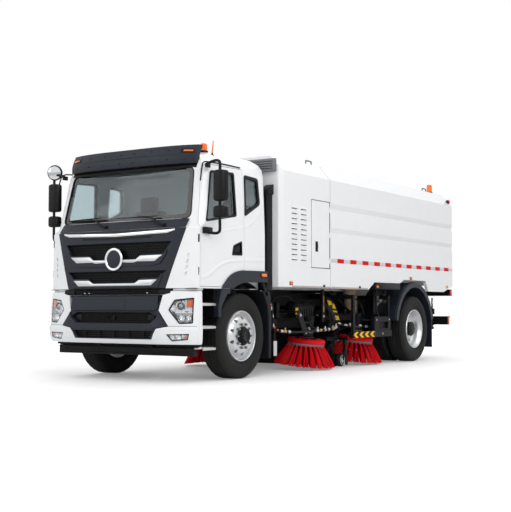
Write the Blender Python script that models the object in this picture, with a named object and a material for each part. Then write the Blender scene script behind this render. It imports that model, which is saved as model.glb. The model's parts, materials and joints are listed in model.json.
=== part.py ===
"""Two-axle road sweeper truck with a tilting cab, a tipping hopper and four disc brooms.

Metres, +X forward, +Y to the truck's left, +Z up. The pieces are laid out from the point on the ground
below the middle of the front axle, and one empty then carries them so that the origin comes under the
middle of the whole truck. The right side mirrors the left.
"""

import math

import bmesh
import bpy
from mathutils import Matrix, Vector

# Driving dimensions of the whole truck
WHEELBASE = 4.70
FRONT_OVERHANG = 1.104
REAR_END_X = -6.250
FRONT_AXLE_X = (FRONT_OVERHANG - REAR_END_X) / 2 - FRONT_OVERHANG
GAP = 0.0003
RUNNING_GAP = 0.008

# Wheels
TYRE_RADIUS = 0.506
TYRE_WIDTH = 0.276
RIM_SEAT_RADIUS = 0.3047
BEAD_RADIUS = RIM_SEAT_RADIUS + GAP
FRONT_TYRE_OUTER_Y = 1.082
REAR_TYRE_OUTER_Y = 1.210
DUAL_SPACING = 0.310
FENDER_CLEARANCE = 0.134
WHEEL_SIDES = 24
KINGPIN_Y = 0.860
KINGPIN_LOW_Z = TYRE_RADIUS - 0.126
KINGPIN_HIGH_Z = TYRE_RADIUS + 0.134
FRONT_HUB_FACE_Y = 0.910
REAR_HUB_FACE_Y = 0.600

# Frame
RAIL_INNER_Y = 0.350
RAIL_OUTER_Y = 0.430
RAIL_BOTTOM_Z = TYRE_RADIUS + 0.234
RAIL_TOP_Z = RAIL_BOTTOM_Z + 0.245
RAIL_FRONT_X = 0.860
RAIL_REAR_X = -6.000
CROSS_MEMBER_XS = (0.780, -1.450, -2.450, -3.900, -5.300)

# Cab
CAB_FLOOR_Z = 1.060
CAB_FLOOR_TOP_Z = 1.210
CAB_WALL = 0.060
CAB_PIVOT_X = 0.970
CAB_ARM_Y = 0.470
CAB_PIVOT_Z = RAIL_BOTTOM_Z + 0.060
CAB_ARM = (
    (0.600, CAB_FLOOR_Z + 0.015),
    (0.900, CAB_PIVOT_Z - 0.065),
    (0.960, CAB_PIVOT_Z - 0.065),
    (0.978, CAB_PIVOT_Z - 0.040),
    (0.978, CAB_PIVOT_Z + 0.035),
    (0.745, CAB_FLOOR_Z + 0.015),
)
# Height, half width, front at the middle, rear, then how far the front curves back at its corners: a broad
# parabola, a corner, and the corner's sharpness
CAB_LEVELS = (
    (1.060, 1.110, 1.055, -0.500, 0.000, 0.147, 5),
    (1.250, 1.112, 1.048, -0.500, 0.000, 0.145, 5),
    (1.480, 1.112, 1.036, -0.500, 0.000, 0.136, 5),
    (1.735, 1.110, 1.024, -0.500, 0.000, 0.126, 5),
    (1.800, 1.108, 0.962, -0.500, 0.080, 0.080, 16),
    (2.100, 1.098, 0.893, -0.500, 0.085, 0.090, 20),
    (2.440, 1.078, 0.818, -0.505, 0.088, 0.090, 20),
    (2.530, 1.052, 0.790, -0.520, 0.088, 0.090, 20),
    (2.600, 0.990, 0.725, -0.530, 0.080, 0.090, 12),
    (2.655, 0.900, 0.620, -0.500, 0.080, 0.090, 8),
    (2.700, 0.700, 0.400, -0.400, 0.060, 0.090, 6),
)
CAB_ROOF_FROM_Z = 2.500
CAB_BEACON = (0.450, 0.835)
DOOR_OUTLINE = (
    (0.892, 1.083),
    (0.486, 1.083),
    (0.360, 1.165),
    (0.200, 1.245),
    (0.008, 1.290),
    (0.008, 2.485),
    (0.690, 2.472),
    (0.725, 2.420),
    (0.852, 1.800),
    (0.892, 1.730),
)
DOOR_WINDOW = (
    (0.785, 1.812),
    (0.158, 1.914),
    (0.180, 2.430),
    (0.660, 2.410),
)
QUARTER_WINDOW = (
    (-0.024, 1.946),
    (-0.345, 2.104),
    (-0.322, 2.400),
    (-0.040, 2.413),
)
DOOR_INNER_Y = 0.985
DASH_HALF_WIDTH = 0.966
DOOR_HINGE_X = 0.892
DOOR_HINGE_Y = 1.108
WINDSCREEN_HALF = ((0.965, 1.850), (0.915, 2.455))
GRILLE_HALF = ((0.733, 1.062), (0.965, 1.738))
SLOTS = ((1.455, 1.575, 0.740), (1.180, 1.275, 0.700))

# Body
BODY_HALF_WIDTH = 1.230
BODY_BOTTOM_Z = RAIL_TOP_Z + 0.110
BODY_ROOF_Z = 2.750
BODY_SIDE_TOP_Z = BODY_ROOF_Z - 0.195
BODY_ROOF_Y = BODY_HALF_WIDTH - 0.170
BODY_FLOOR_Z = 2 * TYRE_RADIUS + FENDER_CLEARANCE + 0.124
ARCH_TOP_Z = BODY_FLOOR_Z - 0.008
ARCH_HALF = 1.9 * TYRE_RADIUS - 0.4814
BODY_WALL = 0.050
MODULE_FRONT_X = -0.664
MODULE_REAR_X = -1.905
MODULE_BEVEL = 0.056
HOPPER_FRONT_X = -1.915
HOPPER_REAR_X = -6.200
HOPPER_PIVOT_X = -5.950
HOPPER_PIVOT_Z = RAIL_TOP_Z + 0.035
TAIL_BAR_TOP_Z = BODY_BOTTOM_Z + 0.046
GROOVES = (
    (BODY_SIDE_TOP_Z - 0.324, BODY_SIDE_TOP_Z - 0.470),
    (BODY_SIDE_TOP_Z - 0.645, BODY_SIDE_TOP_Z - 0.785),
)
GROOVE_DEPTH = 0.024
TAILGATE_TOP_Z = BODY_ROOF_Z - 0.150
TAILGATE_BOTTOM_Z = BODY_FLOOR_Z + 0.020
TAILGATE_HINGE_X = -6.200
TAILGATE_HINGE_Z = TAILGATE_TOP_Z + 0.005
TAILGATE_INNER_X = -6.135
TAILGATE_BARREL_Y = (0.500, 0.560)
TAILGATE_BARREL_RADIUS = 0.018
REAR_BEACON = (-6.020, 0.900)
OVERALL_HEIGHT = BODY_ROOF_Z + 0.175
LOUVRE_COLUMNS = ((-0.896, -1.037), (-1.127, -1.270))
LOUVRE_ROWS = 11
LOUVRE_TOP_Z = BODY_SIDE_TOP_Z - 0.465
LOUVRE_BOTTOM_Z = BODY_BOTTOM_Z + 0.345
LOUVRE_PITCH = (LOUVRE_TOP_Z - LOUVRE_BOTTOM_Z) / (LOUVRE_ROWS - 1)
LOUVRE_HEIGHT = LOUVRE_PITCH * 0.34
INTAKE_SLATS = 9
INTAKE_PITCH = 0.055
COMPARTMENT_DOOR = (-1.400, -1.885, BODY_BOTTOM_Z + 0.268, BODY_SIDE_TOP_Z - 0.310)
COMPARTMENT_DOOR_THICKNESS = 0.035
DOOR_STOP = 0.025

# Brooms
BROOM_TIP_RADIUS = 0.430
BROOM_DISC_RADIUS = 0.255
BROOM_TUFTS = 16
BROOM_TILT_DEGREES = 6.0
BROOM_CENTRES = {"front": (-2.010, 0.800), "rear": (-3.500, 0.790)}
BROOM_TOP_Z = 0.440
BROOM_PIVOTS = {"front": (-1.480, 0.520), "rear": (-2.970, 0.520)}
BROOM_TIP_Z = 0.060
BROOM_BRACKET_Z = RAIL_BOTTOM_Z + 0.066
HOSE_CENTRE = (-3.730, 0.580)
HOSE_LOW_Z = 0.745
HOSE_HIGH_Z = BODY_FLOOR_Z
HOSE_SHELF_X = (-3.850, -3.800)
HOSE_SHELF_Z = 0.690
DUCT_Y = 0.360
TANK_CENTRE = (-1.915, 0.750, RAIL_BOTTOM_Z + 0.102)
TANK_LENGTH = 0.470
TANK_RADIUS = 0.095
HOSE_RIDGES = 6

WHITE = ((0.86, 0.87, 0.88), 0.30, 0.0)
NAVY = ((0.022, 0.028, 0.040), 0.45, 0.0)
BLACK = ((0.012, 0.012, 0.013), 0.55, 0.0)
STEEL = ((0.60, 0.61, 0.62), 0.35, 0.9)
RUBBER = ((0.016, 0.016, 0.017), 0.85, 0.0)
GLASS = ((0.12, 0.16, 0.18), 0.08, 0.0)
RED = ((0.60, 0.015, 0.012), 0.60, 0.0)
LAMP = ((0.70, 0.72, 0.74), 0.15, 0.0)
BEIGE = ((0.42, 0.32, 0.22), 0.75, 0.0)
GREY = ((0.18, 0.19, 0.20), 0.55, 0.0)


def clear_scene():
    for obj in list(bpy.data.objects):
        bpy.data.objects.remove(obj)


def mesh_object(name, points, faces):
    mesh = bpy.data.meshes.new(name)
    mesh.from_pydata([tuple(p) for p in points], [], faces)
    shape = bmesh.new()
    shape.from_mesh(mesh)
    bmesh.ops.recalc_face_normals(shape, faces=shape.faces)
    shape.to_mesh(mesh)
    shape.free()
    obj = bpy.data.objects.new(name, mesh)
    bpy.context.scene.collection.objects.link(obj)
    return obj


def loft(name, rings):
    """A closed solid through rings of equally many points, capped at both ends."""
    count = len(rings[0])
    points = [p for ring in rings for p in ring]
    faces = [tuple(range(count)), tuple(range(len(points) - count, len(points)))]
    for level in range(len(rings) - 1):
        low = level * count
        for i in range(count):
            j = (i + 1) % count
            faces.append((low + i, low + j, low + count + j, low + count + i))
    return mesh_object(name, points, faces)


def prism(name, outline, axis, low, high):
    """An outline in the plane across an axis, extruded along it. The outline's two numbers are the other
    two coordinates in alphabetical order."""

    def place(pair, along):
        if axis == "x":
            return (along, pair[0], pair[1])
        if axis == "y":
            return (pair[0], along, pair[1])
        return (pair[0], pair[1], along)

    return loft(name, [[place(p, low) for p in outline], [place(p, high) for p in outline]])


def box(name, x, y, z):
    outline = ((x[0], z[0]), (x[1], z[0]), (x[1], z[1]), (x[0], z[1]))
    return prism(name, outline, "y", y[0], y[1])


def frame_at(start, direction):
    """Two unit vectors across a direction."""
    along = Vector(direction).normalized()
    helper = Vector((0, 0, 1)) if abs(along.z) < 0.9 else Vector((1, 0, 0))
    side = along.cross(helper).normalized()
    return along, side, along.cross(side)


def turned(name, profile, centre, axis, sides):
    """A profile of (radius, distance along the axis) turned about an axis through the centre. A profile
    whose ends are off the axis is closed end to end."""
    along, side, up = frame_at(centre, axis)
    centre = Vector(centre)
    points = []
    rows = []
    for radius, distance in profile:
        if radius == 0:
            rows.append([len(points)] * sides)
            points.append(centre + along * distance)
            continue
        rows.append(list(range(len(points), len(points) + sides)))
        for i in range(sides):
            angle = 2 * math.pi * i / sides
            points.append(
                centre + along * distance + (side * math.cos(angle) + up * math.sin(angle)) * radius
            )
    faces = []
    closed = profile[0][0] != 0 or profile[-1][0] != 0
    for a in range(len(rows) if closed else len(rows) - 1):
        b = (a + 1) % len(rows)
        for i in range(sides):
            j = (i + 1) % sides
            corners = []
            for corner in (rows[a][i], rows[a][j], rows[b][j], rows[b][i]):
                if corner not in corners:
                    corners.append(corner)
            if len(corners) > 2:
                faces.append(tuple(corners))
    return mesh_object(name, points, faces)


def rod(name, start, end, radius, sides=12, end_radius=None):
    start, end = Vector(start), Vector(end)
    length = (end - start).length
    last = radius if end_radius is None else end_radius
    return turned(name, ((0, 0), (radius, 0), (last, length), (0, length)), start, end - start, sides)


def tube(name, points, radius, sides=8):
    """A round bar along a bent line."""
    points = [Vector(p) for p in points]
    rings = []
    up = None
    for i, point in enumerate(points):
        before = (point - points[i - 1]).normalized() if i else None
        after = (points[i + 1] - point).normalized() if i < len(points) - 1 else None
        along = ((before or after) + (after or before)).normalized()
        if up is None:
            _, side, up = frame_at(point, along)
        up = (up - along * up.dot(along)).normalized()
        side = along.cross(up)
        turn = along.dot(before or after)
        rings.append(
            [
                point
                + (side * math.cos(2 * math.pi * k / sides) + up * math.sin(2 * math.pi * k / sides))
                * radius
                / max(turn, 0.5)
                for k in range(sides)
            ]
        )
    return loft(name, rings)


def apply_modifiers(obj):
    graph = bpy.context.evaluated_depsgraph_get()
    mesh = bpy.data.meshes.new_from_object(obj.evaluated_get(graph))
    obj.modifiers.clear()
    obj.data = mesh


def merge_meshes(pieces):
    """One object that holds several meshes side by side."""
    shape = bmesh.new()
    for piece in pieces:
        shape.from_mesh(piece.data)
    mesh = bpy.data.meshes.new("merged")
    shape.to_mesh(mesh)
    shape.free()
    for piece in pieces:
        bpy.data.objects.remove(piece)
    obj = bpy.data.objects.new("merged", mesh)
    bpy.context.scene.collection.objects.link(obj)
    return obj


def boolean(target, pieces, operation):
    several = len(pieces) > 1
    tool = merge_meshes(pieces)
    tool.hide_render = True
    tool.display_type = "WIRE"
    modifier = target.modifiers.new(operation, "BOOLEAN")
    modifier.operation = operation
    modifier.solver = "EXACT"
    modifier.use_self = several
    modifier.object = tool
    apply_modifiers(target)
    bpy.data.objects.remove(tool)
    return target


def fuse(target, *pieces):
    return boolean(target, list(pieces), "UNION")


def cut(target, *pieces):
    return boolean(target, list(pieces), "DIFFERENCE")


def keep_inside(target, piece):
    return boolean(target, [piece], "INTERSECT")


def copy_of(obj, name):
    twin = bpy.data.objects.new(name, obj.data.copy())
    bpy.context.scene.collection.objects.link(twin)
    return twin


def mirrored(obj, name):
    """The same piece on the truck's other side."""
    twin = copy_of(obj, name)
    twin.data.transform(Matrix.Scale(-1, 4, (0, 1, 0)))
    twin.data.flip_normals()
    return twin


def both_sides(shapes):
    """Mirrored twins of several scratch shapes, added to the list."""
    return list(shapes) + [mirrored(shape, shape.name + "_twin") for shape in shapes]


def material(name, look):
    colour, roughness, metallic = look
    surface = bpy.data.materials.new(name)
    surface.use_nodes = True
    shader = surface.node_tree.nodes["Principled BSDF"]
    shader.inputs["Base Color"].default_value = (*colour, 1.0)
    shader.inputs["Roughness"].default_value = roughness
    shader.inputs["Metallic"].default_value = metallic
    return surface


def joint_empty(name, place, parent=None):
    empty = bpy.data.objects.new(name, None)
    bpy.context.scene.collection.objects.link(empty)
    empty.location = place if parent is None else Vector(place) - Vector(parent["place"])
    empty.parent = parent
    empty["place"] = place
    return empty


def finish(obj, name, look, carrier):
    """Names a piece, gives it its material and hangs it on the empty that carries it."""
    obj.name = name
    obj.data.name = name
    obj.data.materials.clear()
    obj.data.materials.append(material(name, look))
    obj.data.shade_smooth()
    obj.data.set_sharp_from_angle(angle=math.radians(35))
    obj.data.transform(Matrix.Translation(-Vector(carrier["place"])))
    obj.parent = carrier
    return obj


def cab_ring(level, inset, z=None):
    """One horizontal outline of the cab: a front that curves back at its corners, flat sides, small
    chamfers at the rear."""
    height, half, front, rear, bow, corner, sharp = level
    half -= inset
    front -= inset
    rear += inset
    height = height if z is None else z
    shares = (-1.0, -0.975, -0.94, -0.88, -0.78, -0.6, -0.3, 0.0, 0.3, 0.6, 0.78, 0.88, 0.94, 0.975, 1.0)
    ring = [(front - bow * t * t - corner * abs(t) ** sharp, half * t, height) for t in shares]
    chamfer = 0.05
    ring += [
        (rear + chamfer, half, height),
        (rear, half - chamfer, height),
        (rear, chamfer - half, height),
        (rear + chamfer, -half, height),
    ]
    return ring


def cab_volume(name, inset, bottom=None):
    """The cab's outer form, shrunk by an inset, or grown where the inset is negative."""
    rings = []
    for level in CAB_LEVELS:
        height = level[0]
        if height > CAB_ROOF_FROM_Z:
            height -= inset
        if bottom is not None and height < bottom:
            continue
        if not rings:
            height = bottom if bottom is not None else height + inset
        rings.append(cab_ring(level, inset, height))
    return loft(name, rings)


def half_outline(half):
    """A symmetric outline across Y from its points on the left, bottom to top."""
    return [(y, z) for y, z in half] + [(-y, z) for y, z in reversed(half)]


def grown(outline, by):
    """A convex outline moved outward by a distance, or inward where it is negative."""
    count = len(outline)
    area = sum(
        outline[i][0] * outline[(i + 1) % count][1] - outline[(i + 1) % count][0] * outline[i][1]
        for i in range(count)
    )
    turn = 1 if area > 0 else -1
    moved = []
    for i in range(count):
        a, b, c = (Vector(outline[(i + k - 1) % count]) for k in range(3))
        first = (b - a).normalized()
        second = (c - b).normalized()
        n1 = Vector((first.y, -first.x)) * turn
        n2 = Vector((second.y, -second.x)) * turn
        middle = (n1 + n2) / (1 + n1.dot(n2))
        moved.append(tuple(b + middle * by))
    return moved


def make_cab(cab, doors):
    outer = cab_volume("cab_shell", 0)
    inner = cab_volume("inner", CAB_WALL, CAB_FLOOR_TOP_Z)
    tunnel = box("tunnel", (-0.60, 0.62), (-0.45, 0.45), (CAB_FLOOR_Z, 1.410))
    inner = cut(inner, tunnel)
    cut(outer, inner)
    bay = box("bay", (-0.80, 0.58), (-0.41, 0.41), (0.90, 1.370))
    arch_points = [
        (0.62 * math.cos(math.radians(a)), TYRE_RADIUS + 0.645 * math.sin(math.radians(a)))
        for a in range(0, 181, 15)
    ]
    arches = both_sides([prism("arch", arch_points, "y", 0.46, 1.30)])
    windscreen = half_outline(WINDSCREEN_HALF)
    screen = prism("screen", windscreen, "x", 0.55, 1.30)
    quarter = both_sides([prism("quarter", QUARTER_WINDOW, "y", DOOR_INNER_Y, 1.30)])
    doorways = both_sides([prism("doorway", grown(DOOR_OUTLINE, RUNNING_GAP), "y", DOOR_INNER_Y, 1.30)])
    recess = prism("recess", grown(half_outline(GRILLE_HALF), 0.0005), "x", 0.8995, 1.30)
    shallow = cab_volume("shallow", 0.045)
    recess = cut(recess, shallow)
    cut(outer, bay, *arches)
    cut(outer, *doorways)
    cut(outer, screen, *quarter)
    cut(outer, recess)
    arms = both_sides(
        [
            prism(
                "arm",
                CAB_ARM,
                "y",
                CAB_ARM_Y,
                CAB_ARM_Y + 0.050,
            )
        ]
    )
    fuse(outer, *arms)
    beacon_x, beacon_y = CAB_BEACON
    beacon = rod("beacon", (beacon_x, beacon_y, 2.640), (beacon_x, beacon_y, 2.770), 0.046, 12, 0.040)
    fuse(outer, *both_sides([beacon]))
    finish(outer, "cab_shell", WHITE, cab)

    grille = prism("grille", half_outline(GRILLE_HALF), "x", 0.90, 1.30)
    keep_inside(grille, cab_volume("face", 0))
    cut(grille, cab_volume("back", 0.044))
    slots = []
    for low, high, half in SLOTS:
        outline = half_outline(((half - 0.08, low), (half, high)))
        slots.append(prism("slot", outline, "x", 0.80, 1.30))
    cut(grille, *slots)
    finish(grille, "front_grille", NAVY, cab)

    glass = prism("glass", grown(windscreen, -GAP), "x", 0.55, 1.30)
    keep_inside(glass, cab_volume("face", 0.012))
    cut(glass, cab_volume("back", 0.022))
    finish(glass, "windscreen", GLASS, cab)

    visor_rings = []
    for height, front in ((2.492, 0.862), (2.560, 0.866), (2.640, 0.840), (2.712, 0.800)):
        ring = []
        for share in (-1.0, -0.94, -0.85, -0.7, -0.4, 0.0, 0.4, 0.7, 0.85, 0.94, 1.0):
            ring.append((front - 0.105 * abs(share) ** 4, 0.951 * share, height))
        for share in (1.0, 0.7, 0.0, -0.7, -1.0):
            ring.append((front - 0.155 - 0.02 * abs(share) ** 4, 0.951 * share, height))
        visor_rings.append(ring)
    visor = loft("visor", visor_rings)
    cut(visor, cab_volume("grown", -0.0006))
    finish(visor, "sun_visor", NAVY, cab)

    dash = prism(
        "dash",
        ((0.44, 1.213), (0.44, 1.45), (0.36, 1.66), (0.42, 1.74), (0.80, 1.76), (0.84, 1.60), (0.84, 1.213)),
        "y",
        -DASH_HALF_WIDTH,
        DASH_HALF_WIDTH,
    )
    dash_keep = cab_volume("keep", CAB_WALL + 0.004, CAB_FLOOR_TOP_Z + GAP)
    keep_inside(dash, dash_keep)
    cut(dash, box("tunnel", (0.30, 0.62 + GAP), (-0.45 - GAP, 0.45 + GAP), (1.0, 1.410 + GAP)))
    column = rod("column", (0.44, 0.62, 1.58), (0.24, 0.62, 1.72), 0.035, 10)
    wheel = turned(
        "wheel",
        [
            (0.215 + 0.016 * math.cos(math.radians(a)), 0.016 * math.sin(math.radians(a)))
            for a in range(0, 360, 72)
        ],
        (0.225, 0.62, 1.730),
        (-0.82, 0, 0.57),
        18,
    )
    hub = rod("hub", (0.245, 0.62, 1.716), (0.212, 0.62, 1.739), 0.060, 12)
    spoke = box("spoke", (-0.012, 0.012), (-0.215, 0.215), (-0.010, 0.010))
    spoke.data.transform(
        Matrix.Translation((0.228, 0.62, 1.728)) @ Matrix.Rotation(math.radians(-35), 4, "Y")
    )
    seats = []
    for y in (0.66, -0.66):
        seats.append(box("base", (-0.32, 0.06), (y - 0.17, y + 0.20), (CAB_FLOOR_TOP_Z + GAP, 1.470)))
        seats.append(
            prism(
                "cushion",
                ((-0.40, 1.450), (0.12, 1.470), (0.14, 1.560), (0.10, 1.590), (-0.40, 1.560)),
                "y",
                y - 0.26,
                y + 0.26,
            )
        )
        seats.append(
            prism(
                "back",
                ((-0.42, 1.500), (-0.27, 1.500), (-0.335, 2.080), (-0.430, 2.080)),
                "y",
                y - 0.25,
                y + 0.25,
            )
        )
        seats.append(
            prism(
                "headrest",
                ((-0.430, 2.060), (-0.350, 2.060), (-0.355, 2.270), (-0.425, 2.270)),
                "y",
                y - 0.13,
                y + 0.13,
            )
        )
    floor_mat = box("mat", (-0.40, 0.50), (-0.90, -0.455), (CAB_FLOOR_TOP_Z + GAP, 1.222))
    floor_mat_left = box("mat", (-0.40, 0.50), (0.455, 0.90), (CAB_FLOOR_TOP_Z + GAP, 1.222))
    cover = prism(
        "cover",
        (
            (-0.480, CAB_FLOOR_TOP_Z + GAP),
            (-0.455, CAB_FLOOR_TOP_Z + GAP),
            (-0.455, 1.410 + GAP),
            (0.455, 1.410 + GAP),
            (0.455, CAB_FLOOR_TOP_Z + GAP),
            (0.480, CAB_FLOOR_TOP_Z + GAP),
            (0.480, 1.435),
            (-0.480, 1.435),
        ),
        "x",
        -0.40,
        0.50,
    )
    fuse(dash, column, wheel, hub, spoke, floor_mat, floor_mat_left, cover, *seats)
    finish(dash, "cab_interior", GREY, cab)

    flare_outer = (
        (0.470, 1.064),
        (0.352, 1.155),
        (0.195, 1.232),
        (0.000, 1.276),
        (-0.200, 1.276),
        (-0.400, 1.235),
        (-0.527, 1.160),
        (-0.527, 1.064),
    )
    flare = prism("flare", flare_outer, "y", 0.90, 1.128)
    cut(flare, prism("arch", arch_points, "y", 0.46, 1.30))
    cut(flare, cab_volume("keep", -0.0005))
    sill = prism("sill", grown(DOOR_OUTLINE, RUNNING_GAP), "y", 0.80, 1.30)
    cut(flare, sill)
    finish(mirrored(flare, "flare"), "wheel_flare_right", NAVY, cab)
    finish(flare, "wheel_flare_left", NAVY, cab)

    panel = prism("door", DOOR_OUTLINE, "y", DOOR_INNER_Y + GAP, 1.30)
    keep_inside(panel, cab_volume("face", 0))
    cut(panel, cab_volume("back", CAB_WALL, CAB_FLOOR_Z - 0.100))
    cut(panel, prism("window", DOOR_WINDOW, "y", 0.90, 1.30))
    mirror = rod("mirror_stem", (0.740, 1.270, 1.660), (0.740, 1.270, 2.500), 0.014, 8)
    main_head = mirror_head(0.740, 1.270, 2.040, 2.390)
    low_head = mirror_head(0.740, 1.270, 1.850, 1.985)
    upper_arm = tube(
        "arm",
        ((0.745, 1.068, 2.455), (0.745, 1.110, 2.475), (0.742, 1.180, 2.500), (0.740, 1.270, 2.500)),
        0.014,
    )
    lower_arm = tube("arm", ((0.780, 1.125, 1.700), (0.760, 1.200, 1.665), (0.740, 1.272, 1.668)), 0.014)
    foot = box("foot", (0.700, 0.860), (1.090, 1.150), (1.670, 1.750))
    upper_foot = box("foot", (0.690, 0.770), (1.060, 1.115), (2.440, 2.468))
    fuse(mirror, main_head, low_head, upper_arm, lower_arm, foot, upper_foot)
    cut(mirror, cab_volume("face", -0.0005))
    right_mirror = mirrored(mirror, "mirror")
    convex = turned(
        "convex",
        ((0, -0.030), (0.085, -0.022), (0.100, 0.0), (0.060, 0.045), (0, 0.060)),
        (0.735, -1.262, 2.535),
        (1, 0, 0),
        20,
    )
    fuse(right_mirror, convex)
    finish(mirrored(panel, "door"), "cab_door_right", WHITE, doors["right"])
    finish(panel, "cab_door_left", WHITE, doors["left"])
    finish(right_mirror, "mirror_right", NAVY, doors["right"])
    finish(mirror, "mirror_left", NAVY, doors["left"])


def mirror_head(x, y, low, high):
    """A mirror housing: flat glass to the rear, a rounded shell to the front."""
    outline = []
    for angle in range(0, 181, 30):
        turn = math.radians(angle)
        outline.append((x - 0.030 + 0.080 * math.sin(turn) ** 0.8, y + 0.090 * math.cos(turn)))
    outline.append((x - 0.042, y - 0.086))
    outline.append((x - 0.042, y + 0.086))
    return prism("head", outline, "z", low, high)


def bumper_ring(height, front, half, inset):
    shares = (-1.0, -0.97, -0.92, -0.84, -0.72, -0.5, -0.25, 0.0, 0.25, 0.5, 0.72, 0.84, 0.92, 0.97, 1.0)
    ring = [(front - inset - 0.150 * abs(t) ** 5, (half - inset) * t, height) for t in shares]
    ring += [(0.50, half - inset, height), (0.50, inset - half, height)]
    return ring


def bumper_volume(name, inset):
    levels = (
        (0.430, 1.062, 1.112),
        (0.500, 1.098, 1.122),
        (0.620, 1.110, 1.124),
        (0.660, 1.092, 1.120),
        (0.850, 1.078, 1.120),
        (1.029, 1.062, 1.112),
    )
    return loft(name, [bumper_ring(z, front, half, inset) for z, front, half in levels])


def make_bumper(chassis):
    centre_half = (
        (0.578, 0.483),
        (0.612, 0.552),
        (0.650, 0.605),
        (0.800, 0.630),
        (0.665, 0.810),
        (0.709, 0.988),
    )
    lamp_outline = ((1.069, 0.667), (1.070, 0.954), (0.855, 0.931), (0.784, 0.816), (0.922, 0.659))
    shell = bumper_volume("bumper", 0)
    cut(shell, bumper_volume("inner", 0.060), box("rear", (0.30, 0.860), (-1.3, 1.3), (0.3, 1.2)))
    top_notch = box("notch", (0.80, 1.30), (-0.720, 0.720), (0.987, 1.10))
    cut(shell, prism("middle", half_outline(centre_half), "x", 0.70, 1.30), top_notch)
    lamps = both_sides([prism("lamp", lamp_outline, "x", 0.905, 1.30)])
    cut(shell, *lamps)
    finish(shell, "bumper_shell", WHITE, chassis)

    lamp = prism("lamp", grown(lamp_outline, -0.0004), "x", 0.906, 1.30)
    keep_inside(lamp, bumper_volume("face", 0.004))
    cut(lamp, bumper_volume("back", 0.055))
    finish(mirrored(lamp, "lamp"), "headlamp_right", LAMP, chassis)
    finish(lamp, "headlamp_left", LAMP, chassis)

    middle = [
        (0.5776, 0.4834),
        (0.6115, 0.552),
        (0.6496, 0.6055),
        (0.7985, 0.6305),
        (0.6644, 0.810),
        (0.7085, 0.986),
    ]
    centre = prism("centre", half_outline(middle), "x", 0.70, 1.30)
    keep_inside(centre, bumper_volume("face", 0.006))
    cut(centre, bumper_volume("back", 0.050))
    opening_half = ((0.590, 0.640), (0.640, 0.690), (0.570, 0.790))
    low_opening = box("low", (0.70, 1.30), (-0.540, 0.540), (0.505, 0.560))
    cut(centre, prism("mesh", half_outline(opening_half), "x", 0.70, 1.30))
    cut(centre, low_opening)
    back = box("back", (1.000, 1.020), (-0.600, 0.600), (0.535, 0.800))
    bar = box("bar", (0.800, 0.890), (-1.013, 1.013), (0.295, 0.390))
    hangers = both_sides([box("hanger", (0.810, 0.880), (0.360, 0.420), (0.380, RAIL_BOTTOM_Z - GAP))])
    struts = both_sides([box("strut", (0.870, 1.015), (0.365, 0.415), (0.500, 0.560))])
    ribs = both_sides([box("rib", (1.010, 1.075), (0.300, 0.340), (0.560, 0.635))])
    fuse(centre, back, bar, *hangers, *struts, *ribs)
    finish(centre, "bumper_centre", NAVY, chassis)


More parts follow.
